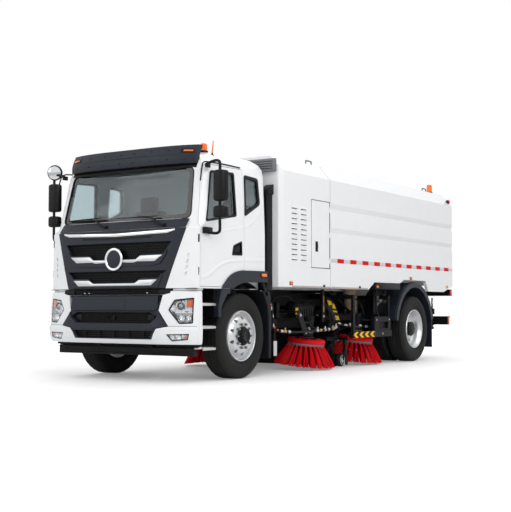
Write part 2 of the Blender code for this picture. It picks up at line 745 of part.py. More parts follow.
def make_frame(chassis):
    rail = box("rail", (RAIL_REAR_X, RAIL_FRONT_X), (RAIL_INNER_Y, RAIL_OUTER_Y), (RAIL_BOTTOM_Z, RAIL_TOP_Z))
    web = box(
        "web",
        (RAIL_REAR_X - 0.1, RAIL_FRONT_X + 0.1),
        (RAIL_INNER_Y - 0.1, RAIL_OUTER_Y - 0.012),
        (RAIL_BOTTOM_Z + 0.014, RAIL_TOP_Z - 0.014),
    )
    cut(rail, web)
    right_rail = mirrored(rail, "rail")
    members = []
    for x in CROSS_MEMBER_XS:
        members.append(
            box("member", (x - 0.04, x + 0.04), (-RAIL_OUTER_Y + 0.006, RAIL_OUTER_Y - 0.006), (RAIL_BOTTOM_Z + 0.090, RAIL_TOP_Z - 0.015))
        )
    cab_posts = both_sides(
        [
            box("post", (-0.47, -0.40), (RAIL_INNER_Y + 0.05, RAIL_OUTER_Y + 0.05), (RAIL_TOP_Z - 0.01, CAB_FLOOR_Z - GAP)),
            box("ear", (0.86, 0.985), (0.400, CAB_ARM_Y - GAP), (CAB_PIVOT_Z - 0.030, CAB_PIVOT_Z + 0.050)),
            box("ear_root", (0.78, 0.870), (0.400, 0.430), (CAB_PIVOT_Z - 0.030, CAB_PIVOT_Z + 0.050)),
        ]
    )
    rear_member = box("member", (-5.995, -5.905), (-0.424, 0.424), (RAIL_TOP_Z - 0.145, RAIL_TOP_Z - 0.055))
    shaft = rod(
        "shaft", (HOPPER_PIVOT_X, -0.425, HOPPER_PIVOT_Z), (HOPPER_PIVOT_X, 0.425, HOPPER_PIVOT_Z), 0.025, 16
    )
    ears = both_sides([box("ear", (-5.990, -5.910), (0.380, 0.425), (RAIL_TOP_Z - 0.015, HOPPER_PIVOT_Z + 0.038))])
    drops = both_sides([box("drop", (-6.060, -5.940), (0.418, 0.470), (0.545, RAIL_TOP_Z - 0.085))])
    beam = box("beam", (-6.150, -6.050), (-1.195, 1.195), (0.549, 0.691))
    brackets = []
    for pivot_x, pivot_y in BROOM_PIVOTS.values():
        brackets.append(box("bracket", (pivot_x - 0.060, pivot_x + 0.060), (0.410, pivot_y + 0.050), (BROOM_BRACKET_Z, BROOM_BRACKET_Z + 0.054)))
    tank_x, tank_y, tank_z = TANK_CENTRE
    half = TANK_LENGTH / 2
    tank = [
        rod("tank", (tank_x - half, tank_y, tank_z), (tank_x + half, tank_y, tank_z), TANK_RADIUS, 12),
        box("strap", (tank_x + 0.110, tank_x + 0.150), (RAIL_OUTER_Y - 0.01, tank_y), (tank_z - 0.03, tank_z + 0.02)),
        box("strap", (tank_x - 0.150, tank_x - 0.110), (RAIL_OUTER_Y - 0.01, tank_y), (tank_z - 0.03, tank_z + 0.02)),
    ]
    shelf = [
        box("strap", HOSE_SHELF_X, (RAIL_OUTER_Y - 0.006, RAIL_OUTER_Y + 0.008), (HOSE_SHELF_Z - 0.05, RAIL_BOTTOM_Z + 0.120)),
        box("shelf", HOSE_SHELF_X, (RAIL_OUTER_Y - 0.006, 0.475), (HOSE_SHELF_Z - 0.05, HOSE_SHELF_Z - GAP)),
    ]
    fuse(rail, right_rail, *members, *cab_posts, rear_member, shaft, *ears, *drops, beam)
    fuse(rail, *both_sides(brackets + tank + shelf))
    finish(rail, "chassis_frame", BLACK, chassis)


def make_driveline(chassis):
    engine = box("engine", (-0.450, 0.500), (-0.320, 0.320), (0.600, 1.300))
    gearbox = rod("gearbox", (-0.400, 0, 0.780), (-1.150, 0, 0.780), 0.200, 12, 0.140)
    shaft = rod("shaft", (-1.100, 0, 0.780), (-WHEELBASE + 0.330, 0, TYRE_RADIUS + 0.054), 0.050, 12)
    feet = []
    for x in (0.360, -0.340):
        feet.append(box("foot", (x - 0.060, x + 0.060), (0.300, 0.400), (RAIL_TOP_Z + GAP, RAIL_TOP_Z + 0.045)))
    fuse(engine, gearbox, shaft, *both_sides(feet))
    finish(engine, "engine_and_driveline", GREY, chassis)


def leaf_spring(x, y0, y1, half, low, sag, top):
    """One spring pack as a flat arc, with a hanger up to the frame at each end."""
    count = 8
    under = []
    over = []
    for i in range(count + 1):
        along = -half + 2 * half * i / count
        height = low + sag * (along / half) ** 2
        under.append((x + along, height))
        over.append((x + along, height + 0.045 + 0.035 * (1 - abs(along / half))))
    shapes = [prism("spring", under + over[::-1], "y", y0, y1)]
    for end in (-1, 1):
        shapes.append(
            box("hanger", (x + end * half - 0.030, x + end * half + 0.030), (y0 - 0.008, y1 + 0.008), (low + sag - 0.01, top))
        )
    return shapes


def make_axles(chassis):
    low = TYRE_RADIUS - 0.096
    beam = box("beam", (-0.050, 0.050), (-0.660, 0.660), (low, low + 0.090))
    ends = both_sides(
        [
            prism("end", ((0.640, low), (0.780, low + 0.045), (0.780, low + 0.135), (0.640, low + 0.090)), "x", -0.045, 0.045),
            box("web", (-0.045, 0.045), (0.740, 0.790), (KINGPIN_LOW_Z - 0.030, KINGPIN_HIGH_Z + 0.030)),
            box("arm", (-0.030, 0.030), (0.760, KINGPIN_Y), (KINGPIN_HIGH_Z + GAP, KINGPIN_HIGH_Z + 0.030)),
            box("arm", (-0.030, 0.030), (0.760, KINGPIN_Y), (KINGPIN_LOW_Z - 0.030, KINGPIN_LOW_Z - GAP)),
            rod("eye", (0, KINGPIN_Y, KINGPIN_HIGH_Z + GAP), (0, KINGPIN_Y, KINGPIN_HIGH_Z + 0.030), 0.042, 14),
            rod("eye", (0, KINGPIN_Y, KINGPIN_LOW_Z - 0.030), (0, KINGPIN_Y, KINGPIN_LOW_Z - GAP), 0.042, 14),
        ]
    )
    springs = both_sides(leaf_spring(0.0, 0.355, 0.425, 0.700, low + 0.085, 0.100, RAIL_BOTTOM_Z - GAP))
    fuse(beam, *ends, *springs)
    finish(beam, "front_axle", BLACK, chassis)

    axle_x = -WHEELBASE
    housing = turned(
        "housing",
        (
            (0, -REAR_HUB_FACE_Y),
            (0.075, -REAR_HUB_FACE_Y),
            (0.080, -0.300),
            (0.205, -0.100),
            (0.205, 0.100),
            (0.080, 0.300),
            (0.075, REAR_HUB_FACE_Y),
            (0, REAR_HUB_FACE_Y),
        ),
        (axle_x, 0, TYRE_RADIUS),
        (0, 1, 0),
        16,
    )
    nose = rod("nose", (axle_x + 0.100, 0, TYRE_RADIUS + 0.024), (axle_x + 0.322, 0, TYRE_RADIUS + 0.050), 0.110, 12, 0.075)
    springs = both_sides(leaf_spring(axle_x, 0.355, 0.425, 0.750, TYRE_RADIUS + 0.064, 0.090, RAIL_BOTTOM_Z - GAP))
    fuse(housing, nose, *springs)
    finish(housing, "rear_axle", BLACK, chassis)


def tyre_profile(outer_y):
    inner_y = outer_y - TYRE_WIDTH
    middle = (outer_y + inner_y) / 2
    half = TYRE_WIDTH / 2
    shares = (
        (BEAD_RADIUS, -0.80),
        (0.405, -1.00),
        (0.480, -0.92),
        (0.506, -0.68),
    )
    lower = [(r, middle + half * s) for r, s in shares]
    upper = [(r, middle - half * s) for r, s in reversed(shares)]
    return lower + upper


def make_tyre(name, x, outer_y, carrier):
    tyre = turned("tyre", tyre_profile(outer_y), (x, 0, TYRE_RADIUS), (0, 1, 0), WHEEL_SIDES)
    finish(mirrored(tyre, "tyre"), name.replace("left", "right"), RUBBER, carrier["right"])
    finish(tyre, name, RUBBER, carrier["left"])


def make_front_wheels(steer, wheels):
    make_tyre("front_tyre_left", 0.0, FRONT_TYRE_OUTER_Y, wheels)
    y = FRONT_TYRE_OUTER_Y
    seat = RIM_SEAT_RADIUS
    rim = turned(
        "rim",
        (
            (RIM_SEAT_RADIUS, y - 0.246),
            (RIM_SEAT_RADIUS, y - 0.030),
            (seat * 0.975, y - 0.006),
            (seat * 0.929, y - 0.006),
            (seat * 0.847, y - 0.066),
            (seat * 0.738, y - 0.012),
            (seat * 0.542, y + 0.012),
            (seat * 0.361, y + 0.018),
            (seat * 0.328, y + 0.060),
            (0, y + 0.066),
            (0, y - 0.040),
            (seat * 0.492, y - 0.040),
            (seat * 0.755, y - 0.080),
            (seat * 0.880, y - 0.246),
        ),
        (0, 0, TYRE_RADIUS),
        (0, 1, 0),
        WHEEL_SIDES,
    )
    holes = []
    for i in range(10):
        turn = 2 * math.pi * (i + 0.5) / 10
        x = seat * 0.673 * math.cos(turn)
        z = TYRE_RADIUS + seat * 0.673 * math.sin(turn)
        holes.append(rod("hole", (x, y - 0.20, z), (x, y + 0.10, z), seat * 0.079, 6))
    cut(rim, *holes)
    drum = rod("drum", (0, FRONT_HUB_FACE_Y, TYRE_RADIUS), (0, y - 0.035, TYRE_RADIUS), seat * 0.361, 14)
    fuse(rim, drum)
    finish(mirrored(rim, "rim"), "front_rim_right", STEEL, wheels["right"])
    finish(rim, "front_rim_left", STEEL, wheels["left"])

    knuckle = rod("knuckle", (0, KINGPIN_Y, KINGPIN_LOW_Z), (0, KINGPIN_Y, KINGPIN_HIGH_Z), 0.038, 14)
    stub = rod("stub", (0, KINGPIN_Y, TYRE_RADIUS), (0, FRONT_HUB_FACE_Y - GAP, TYRE_RADIUS), 0.035, 12)
    fuse(knuckle, stub)
    finish(mirrored(knuckle, "knuckle"), "steering_knuckle_right", BLACK, steer["right"])
    finish(knuckle, "steering_knuckle_left", BLACK, steer["left"])


def make_rear_wheels(wheels):
    x = -WHEELBASE
    y = REAR_TYRE_OUTER_Y
    seat = RIM_SEAT_RADIUS
    make_tyre("rear_outer_tyre_left", x, y, wheels)
    make_tyre("rear_inner_tyre_left", x, y - DUAL_SPACING, wheels)
    inner = y - DUAL_SPACING - 0.246
    rim = turned(
        "rim",
        (
            (RIM_SEAT_RADIUS, inner),
            (RIM_SEAT_RADIUS, y - 0.030),
            (seat * 0.975, y - 0.012),
            (seat * 0.929, y - 0.012),
            (seat * 0.837, y - 0.120),
            (seat * 0.624, y - 0.185),
            (seat * 0.394, y - 0.185),
            (seat * 0.368, y - 0.050),
            (0, y - 0.036),
            (0, y - 0.300),
            (seat * 0.860, y - 0.300),
            (seat * 0.886, inner),
        ),
        (x, 0, TYRE_RADIUS),
        (0, 1, 0),
        WHEEL_SIDES,
    )
    holes = []
    for i in range(10):
        turn = 2 * math.pi * (i + 0.5) / 10
        hole_x = x + seat * 0.696 * math.cos(turn)
        z = TYRE_RADIUS + seat * 0.696 * math.sin(turn)
        holes.append(rod("hole", (hole_x, y - 0.250, z), (hole_x, y + 0.10, z), seat * 0.072, 6))
    cut(rim, *holes)
    drum = rod("drum", (x, REAR_HUB_FACE_Y + GAP, TYRE_RADIUS), (x, y - 0.280, TYRE_RADIUS), seat * 0.656, 16)
    fuse(rim, drum)
    finish(mirrored(rim, "rim"), "rear_rim_right", STEEL, wheels["right"])
    finish(rim, "rear_rim_left", STEEL, wheels["left"])


def make_steps(chassis):
    steps = box("steps", (0.545, 0.790), (0.700, 0.740), (0.365, 1.040))
    side_front = box("side", (0.800, 0.830), (0.700, 1.060), (0.395, 1.040))
    hanger = box("hanger", (0.640, 0.760), (RAIL_OUTER_Y + GAP, 0.720), (RAIL_BOTTOM_Z + 0.040, RAIL_BOTTOM_Z + 0.120))
    treads = []
    for top, front in ((0.893, 0.820), (0.634, 0.820), (0.390, 0.793)):
        treads.append(box("tread", (0.545, front), (0.720, 1.085), (top - 0.030, top)))
    guard = prism(
        "guard",
        ((0.486, 0.790), (0.545, 0.740), (0.560, 0.790), (0.560, 1.040), (0.500, 1.040), (0.440, 1.000)),
        "y",
        0.700,
        1.100,
    )
    fuse(steps, side_front, hanger, guard, *treads)
    finish(mirrored(steps, "steps"), "cab_steps_right", BLACK, chassis)
    finish(steps, "cab_steps_left", BLACK, chassis)

    guard = prism(
        "guard",
        (
            (-0.560, 0.220),
            (-0.560, 0.700),
            (-0.530, 0.860),
            (-0.462, 0.985),
            (-0.420, 1.045),
            (-0.590, 1.045),
            (-0.610, 0.980),
            (-0.620, 0.700),
            (-0.615, 0.220),
        ),
        "y",
        0.700,
        1.100,
    )
    stay = box("stay", (-0.600, -0.570), (RAIL_OUTER_Y + GAP, 0.720), (RAIL_BOTTOM_Z + 0.100, RAIL_BOTTOM_Z + 0.160))
    fuse(guard, stay)
    finish(mirrored(guard, "guard"), "front_mudguard_right", BLACK, chassis)
    finish(guard, "front_mudguard_left", BLACK, chassis)


def body_section(inset=0.0):
    """The body's outline across, with grooves pressed into each side, bottom left up and over."""
    side = [(BODY_HALF_WIDTH - inset, BODY_BOTTOM_Z)]
    for top, low in reversed(GROOVES):
        side.append((BODY_HALF_WIDTH - inset, low))
        side.append((BODY_HALF_WIDTH - GROOVE_DEPTH - inset, top - 0.006))
        side.append((BODY_HALF_WIDTH - inset, top))
    side.append((BODY_HALF_WIDTH - inset, BODY_SIDE_TOP_Z))
    side.append((BODY_ROOF_Y - inset, BODY_ROOF_Z - inset))
    return half_outline(side)


def plain_section(inset, bottom):
    side = (
        (BODY_HALF_WIDTH - inset, bottom),
        (BODY_HALF_WIDTH - inset, BODY_SIDE_TOP_Z - inset * 0.5),
        (BODY_ROOF_Y - inset * 0.5, BODY_ROOF_Z - inset),
    )
    return half_outline(side)


def make_front_module(chassis, doors):
    front, rear, low, high = COMPARTMENT_DOOR
    shell = prism("module", plain_section(0, BODY_BOTTOM_Z), "x", MODULE_REAR_X, MODULE_FRONT_X)
    corner = prism(
        "corner",
        (
            (MODULE_FRONT_X + 0.01, BODY_HALF_WIDTH - MODULE_BEVEL - 0.01),
            (MODULE_FRONT_X + 0.10, BODY_HALF_WIDTH + 0.10),
            (MODULE_FRONT_X - MODULE_BEVEL - 0.01, BODY_HALF_WIDTH + 0.01),
        ),
        "z",
        BODY_BOTTOM_Z - 0.1,
        BODY_ROOF_Z + 0.2,
    )
    hollow = prism(
        "hollow", plain_section(BODY_WALL, BODY_FLOOR_Z + 0.04), "x", MODULE_REAR_X + BODY_WALL, MODULE_FRONT_X - BODY_WALL
    )
    under_y = BODY_HALF_WIDTH - BODY_WALL
    under = box(
        "under", (MODULE_REAR_X - 0.1, MODULE_FRONT_X - 0.06), (-under_y, under_y), (BODY_BOTTOM_Z - 0.1, BODY_FLOOR_Z)
    )
    cut(shell, *both_sides([corner]))
    cut(shell, hollow, under)
    within_y = BODY_HALF_WIDTH - 0.200
    beyond_y = BODY_HALF_WIDTH + 0.200
    seat_y = BODY_HALF_WIDTH - COMPARTMENT_DOOR_THICKNESS - GAP
    recess = box(
        "recess", (rear - RUNNING_GAP, front + RUNNING_GAP), (seat_y, beyond_y), (low - RUNNING_GAP, high + RUNNING_GAP)
    )
    doorway = box("doorway", (rear + DOOR_STOP, front - DOOR_STOP), (within_y, beyond_y), (low + DOOR_STOP, high - DOOR_STOP))
    cut(shell, *both_sides([recess]))
    cut(shell, *both_sides([doorway]))
    slots = []
    for rear_end, front_end in ((b, a) for a, b in LOUVRE_COLUMNS):
        for row in range(LOUVRE_ROWS):
            z = LOUVRE_BOTTOM_Z + row * LOUVRE_PITCH
            slots.append(box("slot", (rear_end, front_end), (within_y, beyond_y), (z, z + LOUVRE_HEIGHT)))
    cut(shell, *both_sides(slots))
    beams = both_sides(
        [
            box("beam", (MODULE_REAR_X, MODULE_FRONT_X - 0.02), (0.355, 0.425), (RAIL_TOP_Z + GAP, BODY_FLOOR_Z + 0.01)),
        ]
    )
    fuse(shell, *beams)
    finish(shell, "front_body_module", WHITE, chassis)

    door = box("door", (rear, front), (BODY_HALF_WIDTH - COMPARTMENT_DOOR_THICKNESS, BODY_HALF_WIDTH), (low, high))
    finish(mirrored(door, "door"), "compartment_door_right", WHITE, doors["right"])
    finish(door, "compartment_door_left", WHITE, doors["left"])

    auxiliary = box("auxiliary", (-1.750, -0.900), (-0.550, 0.550), (BODY_FLOOR_Z + 0.04 + GAP, BODY_ROOF_Z - 0.750))
    finish(auxiliary, "auxiliary_engine", GREY, chassis)

    top = BODY_ROOF_Z - 0.450
    inner = BODY_HALF_WIDTH - 0.270
    intake = box("intake", (MODULE_FRONT_X + GAP, -0.530), (inner, inner + 0.130), (1.055, top))
    cap = prism(
        "cap",
        ((MODULE_FRONT_X + GAP, top - 0.05), (-0.530, top - 0.05), (-0.530, top), (MODULE_FRONT_X + GAP, top + 0.08)),
        "y",
        inner + 0.030,
        inner + 0.150,
    )
    slats = []
    for i in range(INTAKE_SLATS):
        z = top - 0.138 - INTAKE_PITCH * i
        slats.append(box("slat", (-0.56, -0.50), (inner + 0.025, inner + 0.105), (z, z + 0.022)))
    fuse(intake, cap)
    cut(intake, *slats)
    finish(intake, "air_intake", NAVY, chassis)

    half = BODY_ROOF_Y + 0.090
    low = BODY_SIDE_TOP_Z - 0.015
    cooler = box("cooler", (MODULE_FRONT_X + GAP, -0.610), (-half, half), (low, low + 0.160))
    lines = []
    for i in range(4):
        z = low + 0.025 + 0.030 * i
        lines.append(box("line", (-0.625, -0.60), (0.03 - half, half - 0.03), (z, z + 0.014)))
    cut(cooler, *lines)
    finish(cooler, "cooler_panel", GREY, chassis)


def make_hopper(hopper, tailgate):
    shell = prism("hopper", body_section(), "x", HOPPER_REAR_X, HOPPER_FRONT_X)
    hollow = prism(
        "hollow",
        plain_section(BODY_WALL + 0.030, BODY_FLOOR_Z + 0.04),
        "x",
        HOPPER_REAR_X - 0.10,
        HOPPER_FRONT_X - BODY_WALL,
    )
    under_y = BODY_HALF_WIDTH - BODY_WALL
    under = box("under", (HOPPER_REAR_X - 0.2, HOPPER_FRONT_X + 0.1), (-under_y, under_y), (BODY_BOTTOM_Z - 0.195, BODY_FLOOR_Z))
    lintel_y = BODY_HALF_WIDTH - 0.060
    lintel = box("lintel", (HOPPER_REAR_X, HOPPER_REAR_X + 0.060), (-lintel_y, lintel_y), (TAILGATE_TOP_Z + 0.010, BODY_ROOF_Z - 0.020))
    hollow = cut(hollow, lintel)
    cut(shell, hollow, under)
    notch = prism(
        "notch",
        (
            (-3.040, BODY_BOTTOM_Z - 0.095),
            (-3.040, BODY_BOTTOM_Z),
            (-3.236, BODY_BOTTOM_Z + 0.111),
            (-WHEELBASE + ARCH_HALF + 0.120, BODY_BOTTOM_Z + 0.111),
            (-WHEELBASE + ARCH_HALF - 0.030, ARCH_TOP_Z),
            (-WHEELBASE - ARCH_HALF + 0.100, ARCH_TOP_Z),
            (-WHEELBASE - ARCH_HALF, BODY_BOTTOM_Z),
            (-WHEELBASE - ARCH_HALF, BODY_BOTTOM_Z - 0.095),
        ),
        "y",
        BODY_HALF_WIDTH - 0.130,
        BODY_HALF_WIDTH + 0.200,
    )
    tail = prism(
        "tail",
        ((-5.800, BODY_BOTTOM_Z - 0.095), (-5.800, BODY_BOTTOM_Z - 0.003), (-6.300, BODY_BOTTOM_Z + 0.127), (-6.300, BODY_BOTTOM_Z - 0.095)),
        "y",
        BODY_HALF_WIDTH - 0.130,
        BODY_HALF_WIDTH + 0.200,
    )
    cut(shell, *both_sides([notch, tail]))
    beams = both_sides(
        [
            box("beam", (-5.885, HOPPER_FRONT_X), (0.355, 0.425), (RAIL_TOP_Z + GAP, BODY_FLOOR_Z + 0.01)),
            box("lug", (-6.010, -5.880), (0.230, 0.310), (HOPPER_PIVOT_Z + 0.040, BODY_FLOOR_Z + 0.01)),
            box("foot", (-6.150, -6.100), (0.500, 0.600), (TAIL_BAR_TOP_Z + GAP, BODY_FLOOR_Z + 0.01)),
        ]
    )
    knuckles = both_sides(
        [rod("knuckle", (HOPPER_PIVOT_X, 0.230, HOPPER_PIVOT_Z), (HOPPER_PIVOT_X, 0.310, HOPPER_PIVOT_Z), 0.055, 16)]
    )
    bearers = [
        box("bearer", (x - 0.04, x + 0.04), (0.030 - BODY_HALF_WIDTH, BODY_HALF_WIDTH - 0.030), (BODY_FLOOR_Z - 0.070, BODY_FLOOR_Z + 0.01))
        for x in (-2.10, -2.80, -5.70)
    ]
    fuse(shell, *beams, *knuckles, *bearers)
    hinge_x, hinge_z = TAILGATE_HINGE_X, TAILGATE_HINGE_Z
    low, high = TAILGATE_BARREL_Y
    for pocket in both_sides([box("pocket", (-6.30, -6.165), (low - 0.005, high + 0.005), (hinge_z - 0.015, hinge_z + 0.040))]):
        cut(shell, pocket)
    stops = [box("stop", (TAILGATE_INNER_X + GAP, TAILGATE_INNER_X + 0.025), (BODY_HALF_WIDTH - 0.130, BODY_HALF_WIDTH - 0.060), (1.60, 2.00))]
    for start, end in ((low - 0.035, low - GAP), (high + GAP, high + 0.035)):
        stops.append(rod("lug", (hinge_x, start, hinge_z), (hinge_x, end, hinge_z), TAILGATE_BARREL_RADIUS, 12))
        stops.append(box("root", (hinge_x - 0.004, hinge_x + 0.013), (start + 0.003, end - 0.003), (hinge_z, hinge_z + 0.030)))
    fuse(shell, *both_sides(stops))
    beacon_x, beacon_y = REAR_BEACON
    beacon = [
        rod("base", (beacon_x, beacon_y, BODY_ROOF_Z - 0.010), (beacon_x, beacon_y, 2.790), 0.058, 12),
        rod("lens", (beacon_x, beacon_y, 2.780), (beacon_x, beacon_y, OVERALL_HEIGHT), 0.050, 12, 0.044),
    ]
    fuse(shell, *both_sides(beacon))
    bore = rod("bore", (HOPPER_PIVOT_X, -0.5, HOPPER_PIVOT_Z), (HOPPER_PIVOT_X, 0.5, HOPPER_PIVOT_Z), 0.0258, 16)
    cut(shell, bore)
    finish(shell, "hopper", WHITE, hopper)

    bar = box("bar", (-6.200, -6.100), (0.010 - BODY_HALF_WIDTH, BODY_HALF_WIDTH - 0.010), (TAIL_BAR_TOP_Z - 0.107, TAIL_BAR_TOP_Z))
    finish(bar, "tail_lamp_bar", BLACK, hopper)

    gate_y = BODY_HALF_WIDTH - BODY_WALL - 0.042
    gate_half = (
        (gate_y, TAILGATE_BOTTOM_Z + 0.032),
        (gate_y, TAILGATE_TOP_Z - 0.100),
        (gate_y - 0.074, TAILGATE_TOP_Z - 0.005),
    )
    gate = prism("gate", half_outline(gate_half), "x", -6.195, TAILGATE_INNER_X)
    cut(gate, *both_sides([box("pocket", (-6.30, -6.160), (low - 0.045, high + 0.045), (hinge_z - 0.037, hinge_z + 0.1))]))
    rib_low = TAILGATE_BOTTOM_Z + 0.090
    rib_high = TAILGATE_TOP_Z - 0.100
    ribs = [box("rib", (REAR_END_X, -6.190), (y - 0.03, y + 0.03), (rib_low, rib_high)) for y in (-0.75, 0.0, 0.75)]
    barrels = [
        rod("barrel", (hinge_x, low, hinge_z), (hinge_x, high, hinge_z), TAILGATE_BARREL_RADIUS, 12),
        box("tab", (hinge_x + 0.002, hinge_x + 0.045), (low + 0.005, high - 0.005), (hinge_z - 0.045, hinge_z)),
    ]
    fuse(gate, *ribs)
    fuse(gate, *both_sides(barrels))
    finish(gate, "tailgate", WHITE, tailgate)


def make_underbody(chassis):
    beam = box("beam", (-3.940, -2.670), (1.110, 1.170), (0.410, 0.500))
    bracket = box("bracket", (-3.940, -3.395), (1.090, 1.150), (0.490, 0.707))
    posts = [
        box("post", (-3.930, -3.880), (1.100, 1.140), (0.690, RAIL_TOP_Z + 0.035)),
        box("arm", (-3.930, -3.880), (RAIL_OUTER_Y + GAP, 1.130), (RAIL_TOP_Z - 0.025, RAIL_TOP_Z + 0.035)),
        box("post", (-2.760, -2.700), (1.120, 1.160), (0.490, RAIL_TOP_Z + 0.035)),
        box("arm", (-2.760, -2.700), (RAIL_OUTER_Y + GAP, 1.150), (RAIL_TOP_Z - 0.025, RAIL_TOP_Z + 0.035)),
    ]
    fuse(beam, bracket, *posts)
    finish(mirrored(beam, "beam"), "side_guard_right", BLACK, chassis)
    finish(beam, "side_guard_left", BLACK, chassis)

    centre = (-WHEELBASE, TYRE_RADIUS)
    arch = TYRE_RADIUS + FENDER_CLEARANCE
    outer = []
    inner = []
    for angle in range(12, 169, 12):
        turn = math.radians(angle)
        inner.append((centre[0] + arch * math.cos(turn), centre[1] + (arch + 0.010) * math.sin(turn)))
        outer.append((centre[0] + (arch + 0.075) * math.cos(turn), centre[1] + (arch + 0.082) * math.sin(turn)))
    fender = prism("fender", outer + inner[::-1], "y", REAR_TYRE_OUTER_Y - 0.610, REAR_TYRE_OUTER_Y + 0.005)
    flap_x = centre[0] - arch - 0.035
    flap = box(
        "flap",
        (flap_x - 0.010, flap_x + 0.010),
        (REAR_TYRE_OUTER_Y - 0.590, REAR_TYRE_OUTER_Y - 0.010),
        (0.200, TYRE_RADIUS + 0.214),
    )
    stays = []
    for side, z in ((-1, RAIL_TOP_Z - 0.100), (1, RAIL_TOP_Z - 0.180)):
        middle = centre[0] + side * math.sqrt((arch + 0.036) ** 2 - (z - TYRE_RADIUS) ** 2)
        stay_y = (RAIL_OUTER_Y + GAP, REAR_TYRE_OUTER_Y - 0.570)
        stays.append(box("stay", (middle - 0.030, middle + 0.030), stay_y, (z - 0.025, z + 0.025)))
    fuse(fender, flap, *stays)
    finish(mirrored(fender, "fender"), "rear_fender_right", NAVY, chassis)
    finish(fender, "rear_fender_left", NAVY, chassis)

    nozzle = prism(
        "nozzle",
        ((-2.900, 0.030), (-2.620, 0.070), (-2.620, 0.150), (-2.720, 0.300), (-2.860, 0.340), (-2.900, 0.200)),
        "y",
        -0.750,
        0.750,
    )
    shapes = []
    for side in (-1, 1):
        shapes.append(rod("wheel", (-2.780, side * 0.775, 0.092), (-2.780, side * 0.835, 0.092), 0.090, 16))
        shapes.append(box("bracket", (-2.820, -2.740), sorted((side * 0.740, side * 0.790)), (0.080, 0.240)))
        shapes.append(
            tube(
                "duct",
                (
                    (-2.800, side * DUCT_Y, 0.240),
                    (-2.900, side * DUCT_Y, 0.350),
                    (-3.200, side * DUCT_Y, 0.450),
                    (-3.580, side * (DUCT_Y + 0.040), 0.570),
                    (-3.700, side * (HOSE_CENTRE[1] - 0.040), 0.635),
                    (HOSE_CENTRE[0], side * HOSE_CENTRE[1], 0.690),
                    (HOSE_CENTRE[0], side * HOSE_CENTRE[1], HOSE_LOW_Z),
                ),
                0.095,
                10,
            )
        )
        flange_y = sorted((side * 0.442, side * 0.660))
        shapes.append(box("flange", (HOSE_SHELF_X[0], -3.660), flange_y, (HOSE_SHELF_Z, HOSE_SHELF_Z + 0.035)))
    fuse(nozzle, *shapes)
    finish(nozzle, "suction_nozzle", BLACK, chassis)

    ridges = []
    step = (HOSE_HIGH_Z - HOSE_LOW_Z - 2 * GAP) / HOSE_RIDGES
    for i in range(HOSE_RIDGES):
        low = HOSE_LOW_Z + GAP + i * step
        ridges += [(0.092, low), (0.104, low + step * 0.5)]
    profile = [(0, HOSE_LOW_Z + GAP)] + ridges + [(0.092, HOSE_HIGH_Z - GAP), (0, HOSE_HIGH_Z - GAP)]
    hose = turned("hose", profile, (*HOSE_CENTRE, 0), (0, 0, 1), 14)
    finish(mirrored(hose, "hose"), "suction_hose_right", BEIGE, chassis)
    finish(hose, "suction_hose_left", BEIGE, chassis)


def make_brooms(arms, heads):
    for place, (x, y) in BROOM_CENTRES.items():
        pivot_x, pivot_y = BROOM_PIVOTS[place]
        post = rod("post", (pivot_x, pivot_y, BROOM_BRACKET_Z - 0.166), (pivot_x, pivot_y, BROOM_BRACKET_Z - GAP), 0.040, 12)
        length = math.hypot(x - pivot_x, y - pivot_y)
        heading = math.atan2(y - pivot_y, x - pivot_x)
        beam = box("beam", (0.0, length), (-0.040, 0.040), (BROOM_BRACKET_Z - 0.151, BROOM_BRACKET_Z - 0.076))
        beam.data.transform(
            Matrix.Translation((pivot_x, pivot_y, 0)) @ Matrix.Rotation(heading, 4, "Z")
        )
        tilt = Matrix.Rotation(math.radians(-BROOM_TILT_DEGREES), 4, "X")
        motor = rod("motor", (0, 0, GAP), (0, 0, BROOM_BRACKET_Z - 0.076 - BROOM_TOP_Z), 0.080, 12)
        motor.data.transform(Matrix.Translation((x, y, BROOM_TOP_Z)) @ tilt)
        fuse(post, beam, motor)
        right = mirrored(post, "arm")
        finish(right, f"{place}_broom_arm_right", BLACK, arms[place, "right"])
        finish(post, f"{place}_broom_arm_left", BLACK, arms[place, "left"])

        disc = turned(
            "disc",
            (
                (0, BROOM_TOP_Z),
                (0.120, BROOM_TOP_Z),
                (0.140, BROOM_TOP_Z - 0.020),
                (BROOM_DISC_RADIUS - 0.02, BROOM_TOP_Z - 0.030),
                (BROOM_DISC_RADIUS, BROOM_TOP_Z - 0.050),
                (BROOM_DISC_RADIUS, BROOM_TOP_Z - 0.100),
                (0, BROOM_TOP_Z - 0.100),
            ),
            (0, 0, 0),
            (0, 0, 1),
            24,
        )
        tufts = []
        drop = BROOM_TOP_Z - 0.090 - BROOM_TIP_Z
        for i in range(BROOM_TUFTS):
            turn = 2 * math.pi * i / BROOM_TUFTS
            out = Vector((math.cos(turn), math.sin(turn), 0))
            across = Vector((-math.sin(turn), math.cos(turn), 0))
            root = out * 0.215 + Vector((0, 0, BROOM_TOP_Z - 0.090))
            tip = out * (BROOM_TIP_RADIUS - 0.030) + Vector((0, 0, BROOM_TIP_Z))
            rings = []
            for base, wide, deep in ((root, 0.020, 0.020), (tip, 0.040, 0.030)):
                rings.append(
                    [
                        base + across * wide + out * deep,
                        base - across * wide + out * deep,
                        base - across * wide * 0.8 - out * deep,
                        base + across * wide * 0.8 - out * deep,
                    ]
                )
            tufts.append(loft("tuft", rings))
        fuse(disc, *tufts)
        disc.data.transform(Matrix.Translation((x, y, BROOM_TOP_Z)) @ tilt @ Matrix.Translation((0, 0, -BROOM_TOP_Z)))
        finish(mirrored(disc, "disc"), f"{place}_broom_right", RED, heads[place, "right"])
        finish(disc, f"{place}_broom_left", RED, heads[place, "left"])


def sided(point, side):
    x, y, z = point
    return (x, y if side == "left" else -y, z)


